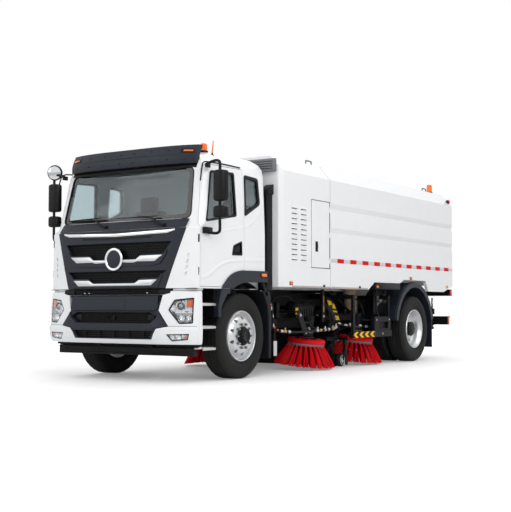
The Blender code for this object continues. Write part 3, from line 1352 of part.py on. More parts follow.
def build():
    clear_scene()
    chassis = joint_empty("truck_origin", (0, 0, 0))
    sides = ("left", "right")
    cab = joint_empty("cab_pivot", (CAB_PIVOT_X, 0, CAB_PIVOT_Z), chassis)
    hopper = joint_empty("hopper_pivot", (HOPPER_PIVOT_X, 0, HOPPER_PIVOT_Z), chassis)
    tailgate = joint_empty("tailgate_pivot", (TAILGATE_HINGE_X, 0, TAILGATE_HINGE_Z), hopper)
    doors = {}
    steer = {}
    front_wheels = {}
    rear_wheels = {}
    compartment = {}
    arms = {}
    heads = {}
    for side in sides:
        doors[side] = joint_empty(f"door_hinge_{side}", sided((DOOR_HINGE_X, DOOR_HINGE_Y, 1.70), side), cab)
        steer[side] = joint_empty(f"kingpin_{side}", sided((0, KINGPIN_Y, TYRE_RADIUS), side), chassis)
        hub_y = FRONT_TYRE_OUTER_Y - TYRE_WIDTH / 2
        front_wheels[side] = joint_empty(
            f"front_hub_{side}", sided((0, hub_y, TYRE_RADIUS), side), steer[side]
        )
        rear_y = REAR_TYRE_OUTER_Y - TYRE_WIDTH / 2
        rear_wheels[side] = joint_empty(
            f"rear_hub_{side}", sided((-WHEELBASE, rear_y, TYRE_RADIUS), side), chassis
        )
        compartment[side] = joint_empty(
            f"compartment_hinge_{side}", sided((COMPARTMENT_DOOR[1], BODY_HALF_WIDTH, 1.80), side), chassis
        )
        for place, (x, y) in BROOM_CENTRES.items():
            pivot_x, pivot_y = BROOM_PIVOTS[place]
            arms[place, side] = joint_empty(
                f"{place}_arm_pivot_{side}", sided((pivot_x, pivot_y, 0.60), side), chassis
            )
            heads[place, side] = joint_empty(
                f"{place}_broom_axis_{side}", sided((x, y, BROOM_TOP_Z), side), arms[place, side]
            )
    make_frame(chassis)
    make_driveline(chassis)
    make_axles(chassis)
    make_bumper(chassis)
    make_steps(chassis)
    make_front_wheels(steer, front_wheels)
    make_rear_wheels(rear_wheels)
    make_front_module(chassis, compartment)
    make_hopper(hopper, tailgate)
    make_underbody(chassis)
    make_brooms(arms, heads)
    make_cab(cab, doors)
    chassis.location = (FRONT_AXLE_X, 0, 0)


build()
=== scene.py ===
"""Looks of the two-axle road sweeper truck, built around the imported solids.

Metres. Pieces are laid out from the point on the ground below the middle of the front axle, +X forward, +Y to
the truck's left, +Z up, and moved by FRONT_AXLE_X onto the solids at the end.
"""

import json
import math
import random

import bmesh
import bpy
from mathutils import Matrix, Vector


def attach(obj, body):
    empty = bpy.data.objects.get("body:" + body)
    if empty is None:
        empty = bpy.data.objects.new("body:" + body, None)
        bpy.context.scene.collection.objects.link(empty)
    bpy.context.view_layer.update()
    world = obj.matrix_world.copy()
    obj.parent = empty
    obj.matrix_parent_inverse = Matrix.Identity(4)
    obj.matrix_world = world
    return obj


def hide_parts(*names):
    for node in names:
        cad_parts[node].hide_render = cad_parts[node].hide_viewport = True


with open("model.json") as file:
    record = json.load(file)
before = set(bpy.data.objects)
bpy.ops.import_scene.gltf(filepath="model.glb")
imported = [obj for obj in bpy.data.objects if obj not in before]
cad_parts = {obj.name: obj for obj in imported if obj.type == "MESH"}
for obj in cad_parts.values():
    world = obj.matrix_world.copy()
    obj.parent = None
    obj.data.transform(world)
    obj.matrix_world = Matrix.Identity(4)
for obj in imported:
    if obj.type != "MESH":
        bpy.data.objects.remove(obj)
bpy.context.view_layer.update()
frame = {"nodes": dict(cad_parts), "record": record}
NODES = frame["nodes"]
FRONT_AXLE_X = 2.573
WHEELBASE = 4.70
TYRE_RADIUS = 0.506
SIDES = ("left", "right")
chance = random.Random(7)


# ---------------------------------------------------------------- meshes

def solid(name, points, faces):
    """A mesh object from points and faces, with its normals facing out."""
    mesh = bpy.data.meshes.new(name)
    mesh.from_pydata([tuple(p) for p in points], [], faces)
    shape = bmesh.new()
    shape.from_mesh(mesh)
    bmesh.ops.recalc_face_normals(shape, faces=shape.faces)
    shape.to_mesh(mesh)
    shape.free()
    obj = bpy.data.objects.new(name, mesh)
    bpy.context.scene.collection.objects.link(obj)
    return obj


def loft(rings, name="loft", caps=True):
    """A closed body through rings of equally many points."""
    count = len(rings[0])
    points = [p for ring in rings for p in ring]
    faces = []
    if caps:
        faces = [tuple(range(count)), tuple(range(len(points) - count, len(points)))]
    for level in range(len(rings) - 1):
        low = level * count
        for i in range(count):
            j = (i + 1) % count
            faces.append((low + i, low + j, low + count + j, low + count + i))
    return solid(name, points, faces)


def strip(rows, name="strip"):
    """An open sheet through rows of equally many points."""
    count = len(rows[0])
    points = [p for row in rows for p in row]
    faces = []
    for level in range(len(rows) - 1):
        for i in range(count - 1):
            a = level * count + i
            faces.append((a, a + 1, a + count + 1, a + count))
    return solid(name, points, faces)


def prism(outline, axis, low, high, name="prism"):
    """An outline on the plane across an axis, pulled along that axis from low to high."""
    def place(pair, along):
        if axis == "x":
            return (along, pair[0], pair[1])
        if axis == "y":
            return (pair[0], along, pair[1])
        return (pair[0], pair[1], along)

    return loft([[place(p, low) for p in outline], [place(p, high) for p in outline]], name)


def box(x, y, z, edge=0.0, name="box"):
    """A block between two values on each axis."""
    obj = prism(((x[0], z[0]), (x[1], z[0]), (x[1], z[1]), (x[0], z[1])), "y", y[0], y[1], name)
    return bevel(obj, edge) if edge else obj


def frame_at(direction):
    """Unit vectors along a direction and across it, two ways."""
    along = Vector(direction).normalized()
    helper = Vector((0, 0, 1)) if abs(along.z) < 0.9 else Vector((1, 0, 0))
    side = along.cross(helper).normalized()
    return along, side, along.cross(side)


def turned(profile, centre, axis, sides, name="turned"):
    """A profile of (radius, distance) turned about an axis through the centre."""
    along, side, up = frame_at(axis)
    centre = Vector(centre)
    points = []
    rows = []
    for radius, distance in profile:
        if radius == 0:
            rows.append([len(points)] * sides)
            points.append(centre + along * distance)
            continue
        rows.append(list(range(len(points), len(points) + sides)))
        for i in range(sides):
            turn = 2 * math.pi * i / sides
            points.append(centre + along * distance + (side * math.cos(turn) + up * math.sin(turn)) * radius)
    faces = []
    closed = profile[0][0] != 0 or profile[-1][0] != 0
    for a in range(len(rows) if closed else len(rows) - 1):
        b = (a + 1) % len(rows)
        for i in range(sides):
            j = (i + 1) % sides
            corners = []
            for corner in (rows[a][i], rows[a][j], rows[b][j], rows[b][i]):
                if corner not in corners:
                    corners.append(corner)
            if len(corners) > 2:
                faces.append(tuple(corners))
    return solid(name, points, faces)


def rod(start, end, radius, sides=16, end_radius=None, edge=0.0, name="rod"):
    """A straight round bar between two points."""
    start, end = Vector(start), Vector(end)
    length = (end - start).length
    last = radius if end_radius is None else end_radius
    cut = min(edge, radius * 0.4, length * 0.4)
    if cut:
        profile = (
            (0, 0), (radius - cut, 0), (radius, cut), (last, length - cut), (last - cut, length), (0, length)
        )
    else:
        profile = ((0, 0), (radius, 0), (last, length), (0, length))
    return turned(profile, start, end - start, sides, name)


def bent(points, radius, sides=10, name="tube", smooth=6):
    """A round bar or hose along a line with soft bends."""
    points = [Vector(p) for p in points]
    if len(points) > 2 and smooth:
        line = []
        ends = [points[0] * 2 - points[1]] + points + [points[-1] * 2 - points[-2]]
        for i in range(1, len(ends) - 2):
            a, b, c, d = ends[i - 1 : i + 3]
            for k in range(smooth):
                t = k / smooth
                line.append(
                    (
                        b * 2 + (c - a) * t + (
                            a * 2 - b * 5 + c * 4 - d
                        ) * t**2 + (b * 3 - a - c * 3 + d) * t**3
                    ) / 2
                )
        points = line + [points[-1]]
    rings = []
    up = None
    for i, point in enumerate(points):
        before = (point - points[i - 1]).normalized() if i else None
        after = (points[i + 1] - point).normalized() if i < len(points) - 1 else None
        along = ((before or after) + (after or before)).normalized()
        if up is None:
            _, side, up = frame_at(along)
        up = (up - along * up.dot(along)).normalized()
        side = along.cross(up)
        turn = max(along.dot(before or after), 0.6)
        wide = radius(i / (len(points) - 1)) if callable(radius) else radius
        ring = []
        for k in range(sides):
            angle = 2 * math.pi * k / sides
            ring.append(point + (side * math.cos(angle) + up * math.sin(angle)) * wide / turn)
        rings.append(ring)
    return loft(rings, name)


def baked(obj):
    """Puts an object's modifiers into its mesh."""
    graph = bpy.context.evaluated_depsgraph_get()
    mesh = bpy.data.meshes.new_from_object(obj.evaluated_get(graph))
    obj.modifiers.clear()
    obj.data = mesh
    return obj


def bevel(obj, width, segments=2, angle=30):
    """Softens the edges that turn by more than an angle."""
    shape = bmesh.new()
    shape.from_mesh(obj.data)
    bmesh.ops.remove_doubles(shape, verts=shape.verts, dist=0.00005)
    bmesh.ops.dissolve_limit(shape, angle_limit=math.radians(1.0), verts=shape.verts, edges=shape.edges)
    shape.to_mesh(obj.data)
    shape.free()
    modifier = obj.modifiers.new("bevel", "BEVEL")
    modifier.width = width
    modifier.segments = segments
    modifier.limit_method = "ANGLE"
    modifier.angle_limit = math.radians(angle)
    modifier.use_clamp_overlap = True
    modifier.miter_outer = "MITER_ARC"
    return baked(obj)


def joined(pieces, name="joined"):
    """One object from several, which are used up."""
    shape = bmesh.new()
    for piece in pieces:
        shape.from_mesh(piece.data)
    mesh = bpy.data.meshes.new(name)
    shape.to_mesh(mesh)
    shape.free()
    for piece in pieces:
        bpy.data.objects.remove(piece)
    obj = bpy.data.objects.new(name, mesh)
    bpy.context.scene.collection.objects.link(obj)
    return obj


def boolean(target, pieces, operation):
    """Works pieces into a target, and uses them up."""
    several = len(pieces) > 1
    tool = joined(list(pieces), "tool")
    modifier = target.modifiers.new(operation, "BOOLEAN")
    modifier.operation = operation
    modifier.solver = "EXACT"
    modifier.use_self = several
    modifier.object = tool
    baked(target)
    bpy.data.objects.remove(tool)
    return target


def fuse(target, *pieces):
    """Adds pieces to a target."""
    return boolean(target, pieces, "UNION")


def cut(target, *pieces):
    """Takes pieces out of a target."""
    return boolean(target, pieces, "DIFFERENCE")


def keep(target, piece):
    """Leaves what a target and a piece share."""
    return boolean(target, [piece], "INTERSECT")


def twin(obj, name=None):
    """A copy with a mesh of its own."""
    other = bpy.data.objects.new(name or obj.name + "_twin", obj.data.copy())
    bpy.context.scene.collection.objects.link(other)
    return other


def mirrored(obj, name=None):
    """A copy for the truck's other side."""
    other = twin(obj, name)
    other.data.transform(Matrix.Scale(-1, 4, (0, 1, 0)))
    other.data.flip_normals()
    return other


def both(pieces):
    """Pieces and their mirror copies."""
    return list(pieces) + [mirrored(piece) for piece in pieces]


def moved(obj, *matrices):
    """Moves an object's mesh by matrices."""
    for matrix in matrices:
        obj.data.transform(matrix)
    return obj


def put(obj, look, body, name=None, replaces=(), slot=None, smooth=35):
    """Finishes a piece: its look, its shading, and the body that it moves with."""
    if name:
        obj.name = name
        obj.data.name = name
    if look is not None:
        obj.data.materials.clear()
        obj.data.materials.append(look)
    if smooth:
        obj.data.shade_smooth()
        obj.data.set_sharp_from_angle(angle=math.radians(smooth))
        if look in (WHITE, NAVY, BLACK):
            even = obj.modifiers.new("even", "WEIGHTED_NORMAL")
            even.keep_sharp = True
            baked(obj)
    obj.data.transform(Matrix.Translation((FRONT_AXLE_X, 0, 0)))
    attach(obj, body)
    if replaces:
        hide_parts(*replaces)
    return obj


def put_sides(obj, look, body, name, **words):
    """Puts a left piece and its mirror twin. Names and bodies ending in _left get _right on the twin."""
    other = mirrored(obj)
    nodes = words.pop("replaces", ())
    right_nodes = tuple(n.replace("_left", "_right") for n in nodes)
    put(other, look, body.replace("_left", "_right"), name + "_right", replaces=right_nodes, **words)
    return put(obj, look, body, name + "_left", replaces=nodes, **words)


def from_node(node, width, segments=2, angle=30):
    """A copy of a solid with its edges softened, in front-axle coordinates."""
    source = NODES[node]
    obj = bpy.data.objects.new(node + "_look", source.data.copy())
    bpy.context.scene.collection.objects.link(obj)
    obj.data.transform(Matrix.Translation((-FRONT_AXLE_X, 0, 0)))
    if obj.data.has_custom_normals:
        obj.data.attributes.remove(obj.data.attributes["custom_normal"])
    return bevel(obj, width, segments, angle)


# ---------------------------------------------------------------- surfaces

def surface(
    name,
    colour,
    rough=0.5,
    metal=0.0,
    coat=0.0,
    grain=0.0,
    grain_scale=300.0,
    mottle=0.0,
    mottle_scale=5.0,
    streak=(1.0, 1.0, 1.0),
    dust=0.0,
    dust_colour=(0.45, 0.42, 0.38),
    clear=0.0,
    glow=0.0,
    shine=0.5,
):
    """A Principled surface whose colour, roughness and relief vary with noise in the piece's own space."""
    made = bpy.data.materials.new(name)
    made.use_nodes = True
    nodes, links = made.node_tree.nodes, made.node_tree.links
    shader = nodes["Principled BSDF"]
    place = nodes.new("ShaderNodeTexCoord")
    stretch = nodes.new("ShaderNodeMapping")
    stretch.inputs["Scale"].default_value = streak
    links.new(place.outputs["Object"], stretch.inputs["Vector"])
    broad = nodes.new("ShaderNodeTexNoise")
    broad.inputs["Scale"].default_value = mottle_scale
    broad.inputs["Detail"].default_value = 6.0
    links.new(stretch.outputs["Vector"], broad.inputs["Vector"])
    tone = nodes.new("ShaderNodeMapRange")
    tone.inputs["From Min"].default_value = 0.3
    tone.inputs["From Max"].default_value = 0.7
    tone.inputs["To Min"].default_value = 1.0 - mottle
    tone.inputs["To Max"].default_value = 1.0
    links.new(broad.outputs["Fac"], tone.inputs["Value"])
    shade = nodes.new("ShaderNodeMix")
    shade.data_type = "RGBA"
    shade.blend_type = "MULTIPLY"
    shade.inputs["Factor"].default_value = 1.0
    shade.inputs["A"].default_value = (*colour, 1.0)
    links.new(tone.outputs["Result"], shade.inputs["B"])
    last = shade.outputs["Result"]
    if dust:
        rise = nodes.new("ShaderNodeSeparateXYZ")
        links.new(place.outputs["Object"], rise.inputs["Vector"])
        low = nodes.new("ShaderNodeMapRange")
        low.inputs["From Min"].default_value = 1.1
        low.inputs["From Max"].default_value = 0.1
        low.inputs["To Min"].default_value = 0.0
        low.inputs["To Max"].default_value = dust
        links.new(rise.outputs["Z"], low.inputs["Value"])
        patch = nodes.new("ShaderNodeMath")
        patch.operation = "MULTIPLY"
        links.new(low.outputs["Result"], patch.inputs[0])
        links.new(broad.outputs["Fac"], patch.inputs[1])
        cover = nodes.new("ShaderNodeMix")
        cover.data_type = "RGBA"
        cover.inputs["B"].default_value = (*dust_colour, 1.0)
        links.new(patch.outputs["Value"], cover.inputs["Factor"])
        links.new(last, cover.inputs["A"])
        last = cover.outputs["Result"]
    links.new(last, shader.inputs["Base Color"])
    polish = nodes.new("ShaderNodeMapRange")
    polish.inputs["To Min"].default_value = max(rough - 0.08, 0.02)
    polish.inputs["To Max"].default_value = min(rough + 0.08, 1.0)
    links.new(broad.outputs["Fac"], polish.inputs["Value"])
    links.new(polish.outputs["Result"], shader.inputs["Roughness"])
    shader.inputs["Metallic"].default_value = metal
    shader.inputs["Specular IOR Level"].default_value = shine
    shader.inputs["Coat Weight"].default_value = coat
    shader.inputs["Coat Roughness"].default_value = 0.06
    if clear:
        shader.inputs["Transmission Weight"].default_value = clear
        shader.inputs["IOR"].default_value = 1.45
    if glow:
        shader.inputs["Emission Color"].default_value = (*colour, 1.0)
        shader.inputs["Emission Strength"].default_value = glow
    if grain:
        fine = nodes.new("ShaderNodeTexNoise")
        fine.inputs["Scale"].default_value = grain_scale
        fine.inputs["Detail"].default_value = 3.0
        links.new(stretch.outputs["Vector"], fine.inputs["Vector"])
        relief = nodes.new("ShaderNodeBump")
        relief.inputs["Strength"].default_value = grain
        relief.inputs["Distance"].default_value = 0.002
        links.new(fine.outputs["Fac"], relief.inputs["Height"])
        links.new(relief.outputs["Normal"], shader.inputs["Normal"])
    return made


WHITE = surface("white_paint", (0.80, 0.815, 0.83), 0.32, coat=0.5, grain=0.03, grain_scale=60, mottle=0.02)
NAVY = surface(
    "navy_plastic", (0.011, 0.015, 0.024), 0.46, grain=0.10, grain_scale=900, mottle=0.15, shine=0.30
)
BLACK = surface(
    "black_paint", (0.0045, 0.0045, 0.005), 0.50, grain=0.10, grain_scale=200, mottle=0.3, dust=0.012,
    shine=0.16
)
BLACK_TRIM = surface(
    "black_trim", (0.004, 0.004, 0.0048), 0.42, grain=0.06, grain_scale=700, mottle=0.2, shine=0.20
)
SILVER = surface(
    "silver_paint", (0.62, 0.63, 0.645), 0.30, 0.75, coat=0.3, grain=0.06, grain_scale=500, mottle=0.06
)
STEEL = surface("bright_steel", (0.58, 0.58, 0.59), 0.28, 1.0, grain=0.08, grain_scale=500, mottle=0.15)
CHROME = surface("chrome", (0.80, 0.81, 0.82), 0.08, 1.0, mottle=0.04)
RUBBER = surface(
    "tyre_rubber", (0.0095, 0.0093, 0.0092), 0.72, grain=0.25, grain_scale=500, mottle=0.25, dust=0.02,
    shine=0.22
)
TRIM = surface("cab_trim", (0.05, 0.054, 0.058), 0.7, grain=0.2, grain_scale=700, mottle=0.1)
SEAT = surface("seat_cloth", (0.045, 0.048, 0.055), 0.9, grain=0.5, grain_scale=900, mottle=0.25)
RED = surface("broom_red", (0.74, 0.003, 0.010), 0.55, mottle=0.12, mottle_scale=40, shine=0.14)
BEIGE = surface("hose_beige", (0.66, 0.50, 0.35), 0.75, grain=0.3, grain_scale=300, mottle=0.3, mottle_scale=20)
GREY = surface("cast_grey", (0.20, 0.21, 0.22), 0.6, 0.3, grain=0.4, grain_scale=200, mottle=0.3)
AMBER = surface("amber_lens", (0.90, 0.16, 0.004), 0.25, coat=0.2, mottle=0.2, mottle_scale=60, glow=0.12)
RED_LENS = surface("red_lens", (0.72, 0.01, 0.01), 0.15, coat=0.5, mottle=0.2, mottle_scale=60, glow=0.15)
GALVANISED = surface("galvanised", (0.50, 0.52, 0.53), 0.45, 0.6, grain=0.15, mottle=0.2, mottle_scale=15)
GLASS = surface("window_glass", (0.64, 0.73, 0.75), 0.03, clear=1.0, mottle=0.02)
FRIT = surface("black_glass_edge", (0.008, 0.008, 0.009), 0.12, coat=0.4, mottle=0.1)
MIRROR = surface("mirror_glass", (0.70, 0.73, 0.75), 0.04, 1.0, mottle=0.03)
LENS = surface("clear_lens", (0.93, 0.95, 0.96), 0.03, clear=1.0, mottle=0.02)
BRASS = surface("brass", (0.62, 0.42, 0.18), 0.3, 1.0, grain=0.1, mottle=0.3, mottle_scale=60)
REFLECTOR = surface(
    "lamp_reflector", (0.82, 0.83, 0.84), 0.14, 1.0, mottle=0.15, mottle_scale=70, grain=0.15, grain_scale=120
)
SILVER_GREY = surface("pale_grey_plastic", (0.62, 0.63, 0.64), 0.45, mottle=0.05, grain=0.05)
PROJECTOR = surface("projector_lens", (0.40, 0.43, 0.46), 0.05, 0.6, coat=0.8, mottle=0.1, mottle_scale=50)
ALLOY = surface(
    "step_alloy", (0.66, 0.65, 0.63), 0.35, 0.55, grain=0.25, grain_scale=250, mottle=0.2, mottle_scale=14
)
# Grey for the strip along the body's lower edge: painted shade where the side bends inward.
EDGE_SHADE = surface("edge_shade_grey", (0.42, 0.39, 0.37), 0.45, mottle=0.12, mottle_scale=8, grain=0.05)
TAPE_RED = surface(
    "reflector_red", (0.72, 0.002, 0.005), 0.5, grain=0.2, grain_scale=900, mottle=0.12, mottle_scale=250,
    shine=0.08
)
TAPE_SILVER = surface(
    "reflector_silver", (0.60, 0.61, 0.62), 0.30, coat=0.6, grain=0.5, grain_scale=900, mottle=0.12,
    mottle_scale=250
)
# The brooms' own red, darkened: painted shade for the inner bristles among the tufts.
BROOM_RED_SHADE = surface("broom_red_painted_shade", (0.16, 0.002, 0.004), 0.7, mottle=0.2, mottle_scale=40, shine=0.1)
YELLOW = surface("safety_yellow", (0.95, 0.56, 0.003), 0.5, shine=0.1, mottle=0.12, mottle_scale=60, grain=0.1)
HOSE_BLACK = surface(
    "black_hose", (0.006, 0.006, 0.0065), 0.5, shine=0.2, grain=0.3, grain_scale=600, mottle=0.2
)
NAVY_DARK = surface(
    "black_plastic", (0.0055, 0.0065, 0.009), 0.5, shine=0.2, mottle=0.2, grain=0.1, grain_scale=700
)
WHITE_LENS = surface("white_lens", (0.75, 0.76, 0.78), 0.15, coat=0.5, mottle=0.15, mottle_scale=80)
ORANGE_RED = surface(
    "orange_reflector", (0.85, 0.07, 0.01), 0.25, coat=0.5, mottle=0.2, mottle_scale=120, grain=0.3
)

LOOKS = {
    "white_paint": WHITE,
    "navy_plastic": NAVY,
    "black_steel": BLACK,
    "silver_rim": SILVER,
    "tyre_rubber": RUBBER,
    "broom_red": RED,
    "hose_beige": BEIGE,
    "cab_trim": TRIM,
    "engine_grey": GREY,
}


# ---------------------------------------------------------------- stage and camera

# The camera fitted to the photograph, in front-axle coordinates.
CAMERA_PLACE = (10.0803, 7.7799, 0.8558)
CAMERA_YAW, CAMERA_PITCH = 3.7152, 0.0495
CAMERA_LENS = 71.57
SKY_ON_SURFACES = 0.62
FLOOR_WHITE = 0.86
# How far from the middle the floor's own glow starts to rise and where it is full, and how strong it is there.
GLOW_REACH = (4.5, 13.0)
GLOW_LEVEL = (0.20, 0.95)
LAMPS = (
    ("key", (9.0, 9.0, 8.0), (8.0, 8.0), 560.0),
    ("fill", (12.0, -5.0, 6.0), (7.0, 7.0), 160.0),
    ("top", (-1.0, 1.0, 11.0), (12.0, 8.0), 560.0),
    ("rear", (-11.0, -7.0, 6.0), (6.0, 6.0), 160.0),
)


def studio_world():
    """White behind the truck and in what it mirrors; a softer, brighter top light on its surfaces."""
    world = bpy.data.worlds.new("studio")
    bpy.context.scene.world = world
    world.use_nodes = True
    nodes, links = world.node_tree.nodes, world.node_tree.links
    back = nodes["Background"]
    seen = nodes.new("ShaderNodeLightPath")
    mirrored_too = nodes.new("ShaderNodeMath")
    mirrored_too.operation = "MAXIMUM"
    links.new(seen.outputs["Is Glossy Ray"], mirrored_too.inputs[0])
    links.new(seen.outputs["Is Transmission Ray"], mirrored_too.inputs[1])
    straight = nodes.new("ShaderNodeMath")
    straight.operation = "MAXIMUM"
    links.new(seen.outputs["Is Camera Ray"], straight.inputs[0])
    links.new(mirrored_too.outputs["Value"], straight.inputs[1])
    level = nodes.new("ShaderNodeMapRange")
    level.inputs["To Min"].default_value = SKY_ON_SURFACES
    level.inputs["To Max"].default_value = 1.0
    links.new(straight.outputs["Value"], level.inputs["Value"])
    back.inputs["Color"].default_value = (1.0, 1.0, 1.0, 1.0)
    links.new(level.outputs["Result"], back.inputs["Strength"])


def make_stage():
    """The floor, the lamps, the world and the fitted camera."""
    floor_look = surface("studio_floor", (FLOOR_WHITE,) * 3, 0.6, mottle=0.01, mottle_scale=0.6)
    nodes, links = floor_look.node_tree.nodes, floor_look.node_tree.links
    shader = nodes["Principled BSDF"]
    seen = nodes.new("ShaderNodeLightPath")
    place = nodes.new("ShaderNodeTexCoord")
    middle = nodes.new("ShaderNodeVectorMath")
    middle.operation = "LENGTH"
    links.new(place.outputs["Object"], middle.inputs[0])
    reach = nodes.new("ShaderNodeMapRange")
    reach.interpolation_type = "SMOOTHSTEP"
    reach.inputs["From Min"].default_value, reach.inputs["From Max"].default_value = GLOW_REACH
    reach.inputs["To Min"].default_value, reach.inputs["To Max"].default_value = GLOW_LEVEL
    links.new(middle.outputs["Value"], reach.inputs["Value"])
    lift = nodes.new("ShaderNodeMath")
    lift.operation = "MULTIPLY"
    links.new(reach.outputs["Result"], lift.inputs[1])
    links.new(seen.outputs["Is Camera Ray"], lift.inputs[0])
    shader.inputs["Emission Color"].default_value = (1.0, 1.0, 1.0, 1.0)
    links.new(lift.outputs["Value"], shader.inputs["Emission Strength"])
    floor = solid("floor", ((-60, -60, 0), (60, -60, 0), (60, 60, 0), (-60, 60, 0)), [(0, 1, 2, 3)])
    floor.data.transform(Matrix.Translation((0, 0, -0.0005)))
    floor.data.materials.append(floor_look)
    studio_world()
    for name, place, size, power in LAMPS:
        lamp = bpy.data.lights.new(name, "AREA")
        lamp.shape = "RECTANGLE"
        lamp.size, lamp.size_y = size
        lamp.energy = power
        obj = bpy.data.objects.new(name, lamp)
        obj.location = place
        obj.rotation_euler = (Vector((0, 0, 1.0)) - Vector(place)).to_track_quat("-Z", "Y").to_euler()
        bpy.context.scene.collection.objects.link(obj)
    lens = bpy.data.cameras.new("camera")
    lens.sensor_width = 36.0
    lens.lens = CAMERA_LENS
    camera = bpy.data.objects.new("camera", lens)
    level = math.cos(CAMERA_PITCH)
    ahead = Vector((math.cos(CAMERA_YAW) * level, math.sin(CAMERA_YAW) * level, math.sin(CAMERA_PITCH)))
    camera.location = Vector(CAMERA_PLACE) + Vector((FRONT_AXLE_X, 0, 0))
    camera.rotation_euler = ahead.to_track_quat("-Z", "Y").to_euler()
    bpy.context.scene.collection.objects.link(camera)
    bpy.context.scene.camera = camera
    bpy.context.scene.view_settings.view_transform = "Standard"


def dress_solids():
    """Every solid gets the surface of its slot, whether or not a finer piece stands for it."""
    for part in frame["record"]["subparts"]:
        look = LOOKS.get(part["material_slot"])
        if look is None:
            continue
        mesh = NODES[part["node"]].data
        for i in range(len(mesh.materials)):
            mesh.materials[i] = look


dress_solids()


# ---------------------------------------------------------------- cab

# Height, half width, front at the middle, rear, then how far the front curves back at its corners: a broad
# parabola, a corner, and the corner's sharpness
LEVELS = (
    (1.060, 1.110, 1.055, -0.500, 0.000, 0.147, 5),
    (1.250, 1.112, 1.048, -0.500, 0.000, 0.145, 5),
    (1.480, 1.112, 1.036, -0.500, 0.000, 0.136, 5),
    (1.735, 1.110, 1.024, -0.500, 0.000, 0.126, 5),
    (1.800, 1.108, 0.962, -0.500, 0.080, 0.080, 16),
    (2.100, 1.098, 0.893, -0.500, 0.085, 0.090, 20),
    (2.440, 1.078, 0.818, -0.505, 0.088, 0.090, 20),
    (2.530, 1.052, 0.790, -0.520, 0.088, 0.090, 20),
    (2.600, 0.990, 0.725, -0.530, 0.080, 0.090, 12),
    (2.655, 0.900, 0.620, -0.500, 0.080, 0.090, 8),
    (2.700, 0.700, 0.400, -0.400, 0.060, 0.090, 6),
)
WALL = 0.060
FLOOR_TOP = 1.210
DOOR = (
    (0.892, 1.083), (0.486, 1.083), (0.360, 1.165), (0.200, 1.245), (0.008, 1.290), (0.008, 2.485),
    (0.690, 2.472), (0.725, 2.420), (0.852, 1.800), (0.892, 1.730)
)
DOOR_GLASS = ((0.785, 1.812), (0.158, 1.914), (0.180, 2.430), (0.660, 2.410))
QUARTER_GLASS = ((-0.024, 1.946), (-0.345, 2.104), (-0.322, 2.400), (-0.040, 2.413))
SCREEN = ((0.965, 1.850), (0.915, 2.455))
GRILLE = ((0.733, 1.062), (0.965, 1.738))


def level_at(z):
    """The cab's outline numbers at a height, straight between levels up to the roof and rounded over it."""
    if z <= LEVELS[0][0]:
        return LEVELS[0]
    for low, high in zip(LEVELS, LEVELS[1:]):
        if z <= high[0]:
            share = (z - low[0]) / (high[0] - low[0])
            return tuple(a + (b - a) * share for a, b in zip(low, high))
    return LEVELS[-1]


def face_x(y, z):
    """How far forward the cab's front lies at a place on it."""
    _, half, front, _, bow, corner, sharp = level_at(z)
    t = min(abs(y) / half, 1.0)
    return front - bow * t * t - corner * t**sharp


def side_y(z):
    """How far out the cab's side lies at a height."""
    return level_at(z)[1]


def cab_form(inset=0.0, bottom=None):
    """The cab's closed form, taken in by an inset, down to a bottom height."""
    shares = [
        -1.0, -0.992, -0.975, -0.955, -0.93, -0.90, -0.86, -0.80, -0.72, -0.62, -0.5, -0.38, -0.25, -0.12, 0.0
    ]
    shares = shares + [-s for s in reversed(shares[:-1])]
    heights = []
    for low, high in zip(LEVELS, LEVELS[1:]):
        steps = 1 if high[0] < 2.45 else 2
        heights += [low[0] + (high[0] - low[0]) * i / steps for i in range(steps)]
    heights.append(LEVELS[-1][0])
    rings = []
    for z in heights:
        _, half, front, rear, bow, corner, sharp = level_at(z)
        height = z - inset if z > 2.5 else z
        if bottom is not None and height < bottom:
            continue
        if not rings:
            height = bottom if bottom is not None else height + inset
        half, front, rear = half - inset, front - inset, rear + inset
        ring = [(front - bow * t * t - corner * abs(t) ** sharp, half * t, height) for t in shares]
        for y, back in ((1, 0.05), (0.985, 0.020), (0.955, 0.0)):
            ring.append((rear + back, half * y, height))
        for y, back in ((-0.955, 0.0), (-0.985, 0.020), (-1, 0.05)):
            ring.append((rear + back, half * y, height))
        rings.append(ring)
    return loft(rings, "cab_form")


def across(half):
    """A half outline of (y, z) and its mirror image, as one closed outline."""
    return [(y, z) for y, z in half] + [(-y, z) for y, z in reversed(half)]


def grown(outline, by):
    """A convex outline moved outward by a distance."""
    count = len(outline)
    area = sum(
        outline[i][0] * outline[(i + 1) % count][1] - outline[(i + 1) % count][0] * outline[i][1]
        for i in range(count)
    )
    turn = 1 if area > 0 else -1
    result = []
    for i in range(count):
        a, b, c = (Vector(outline[(i + k - 1) % count]) for k in range(3))
        first, second = (b - a).normalized(), (c - b).normalized()
        n1, n2 = Vector((first.y, -first.x)) * turn, Vector((second.y, -second.x)) * turn
        result.append(tuple(b + (n1 + n2) / (1 + n1.dot(n2)) * by))
    return result


def rounded(outline, radius, steps=6):
    """An outline with round corners."""
    count = len(outline)
    result = []
    for i in range(count):
        a, b, c = (Vector(outline[(i + k - 1) % count]) for k in range(3))
        back, ahead = (a - b), (c - b)
        reach = min(radius, back.length * 0.45, ahead.length * 0.45)
        start, end = b + back.normalized() * reach, b + ahead.normalized() * reach
        for k in range(steps + 1):
            t = k / steps
            result.append(tuple(start * (1 - t) ** 2 + b * 2 * t * (1 - t) + end * t * t))
    return result


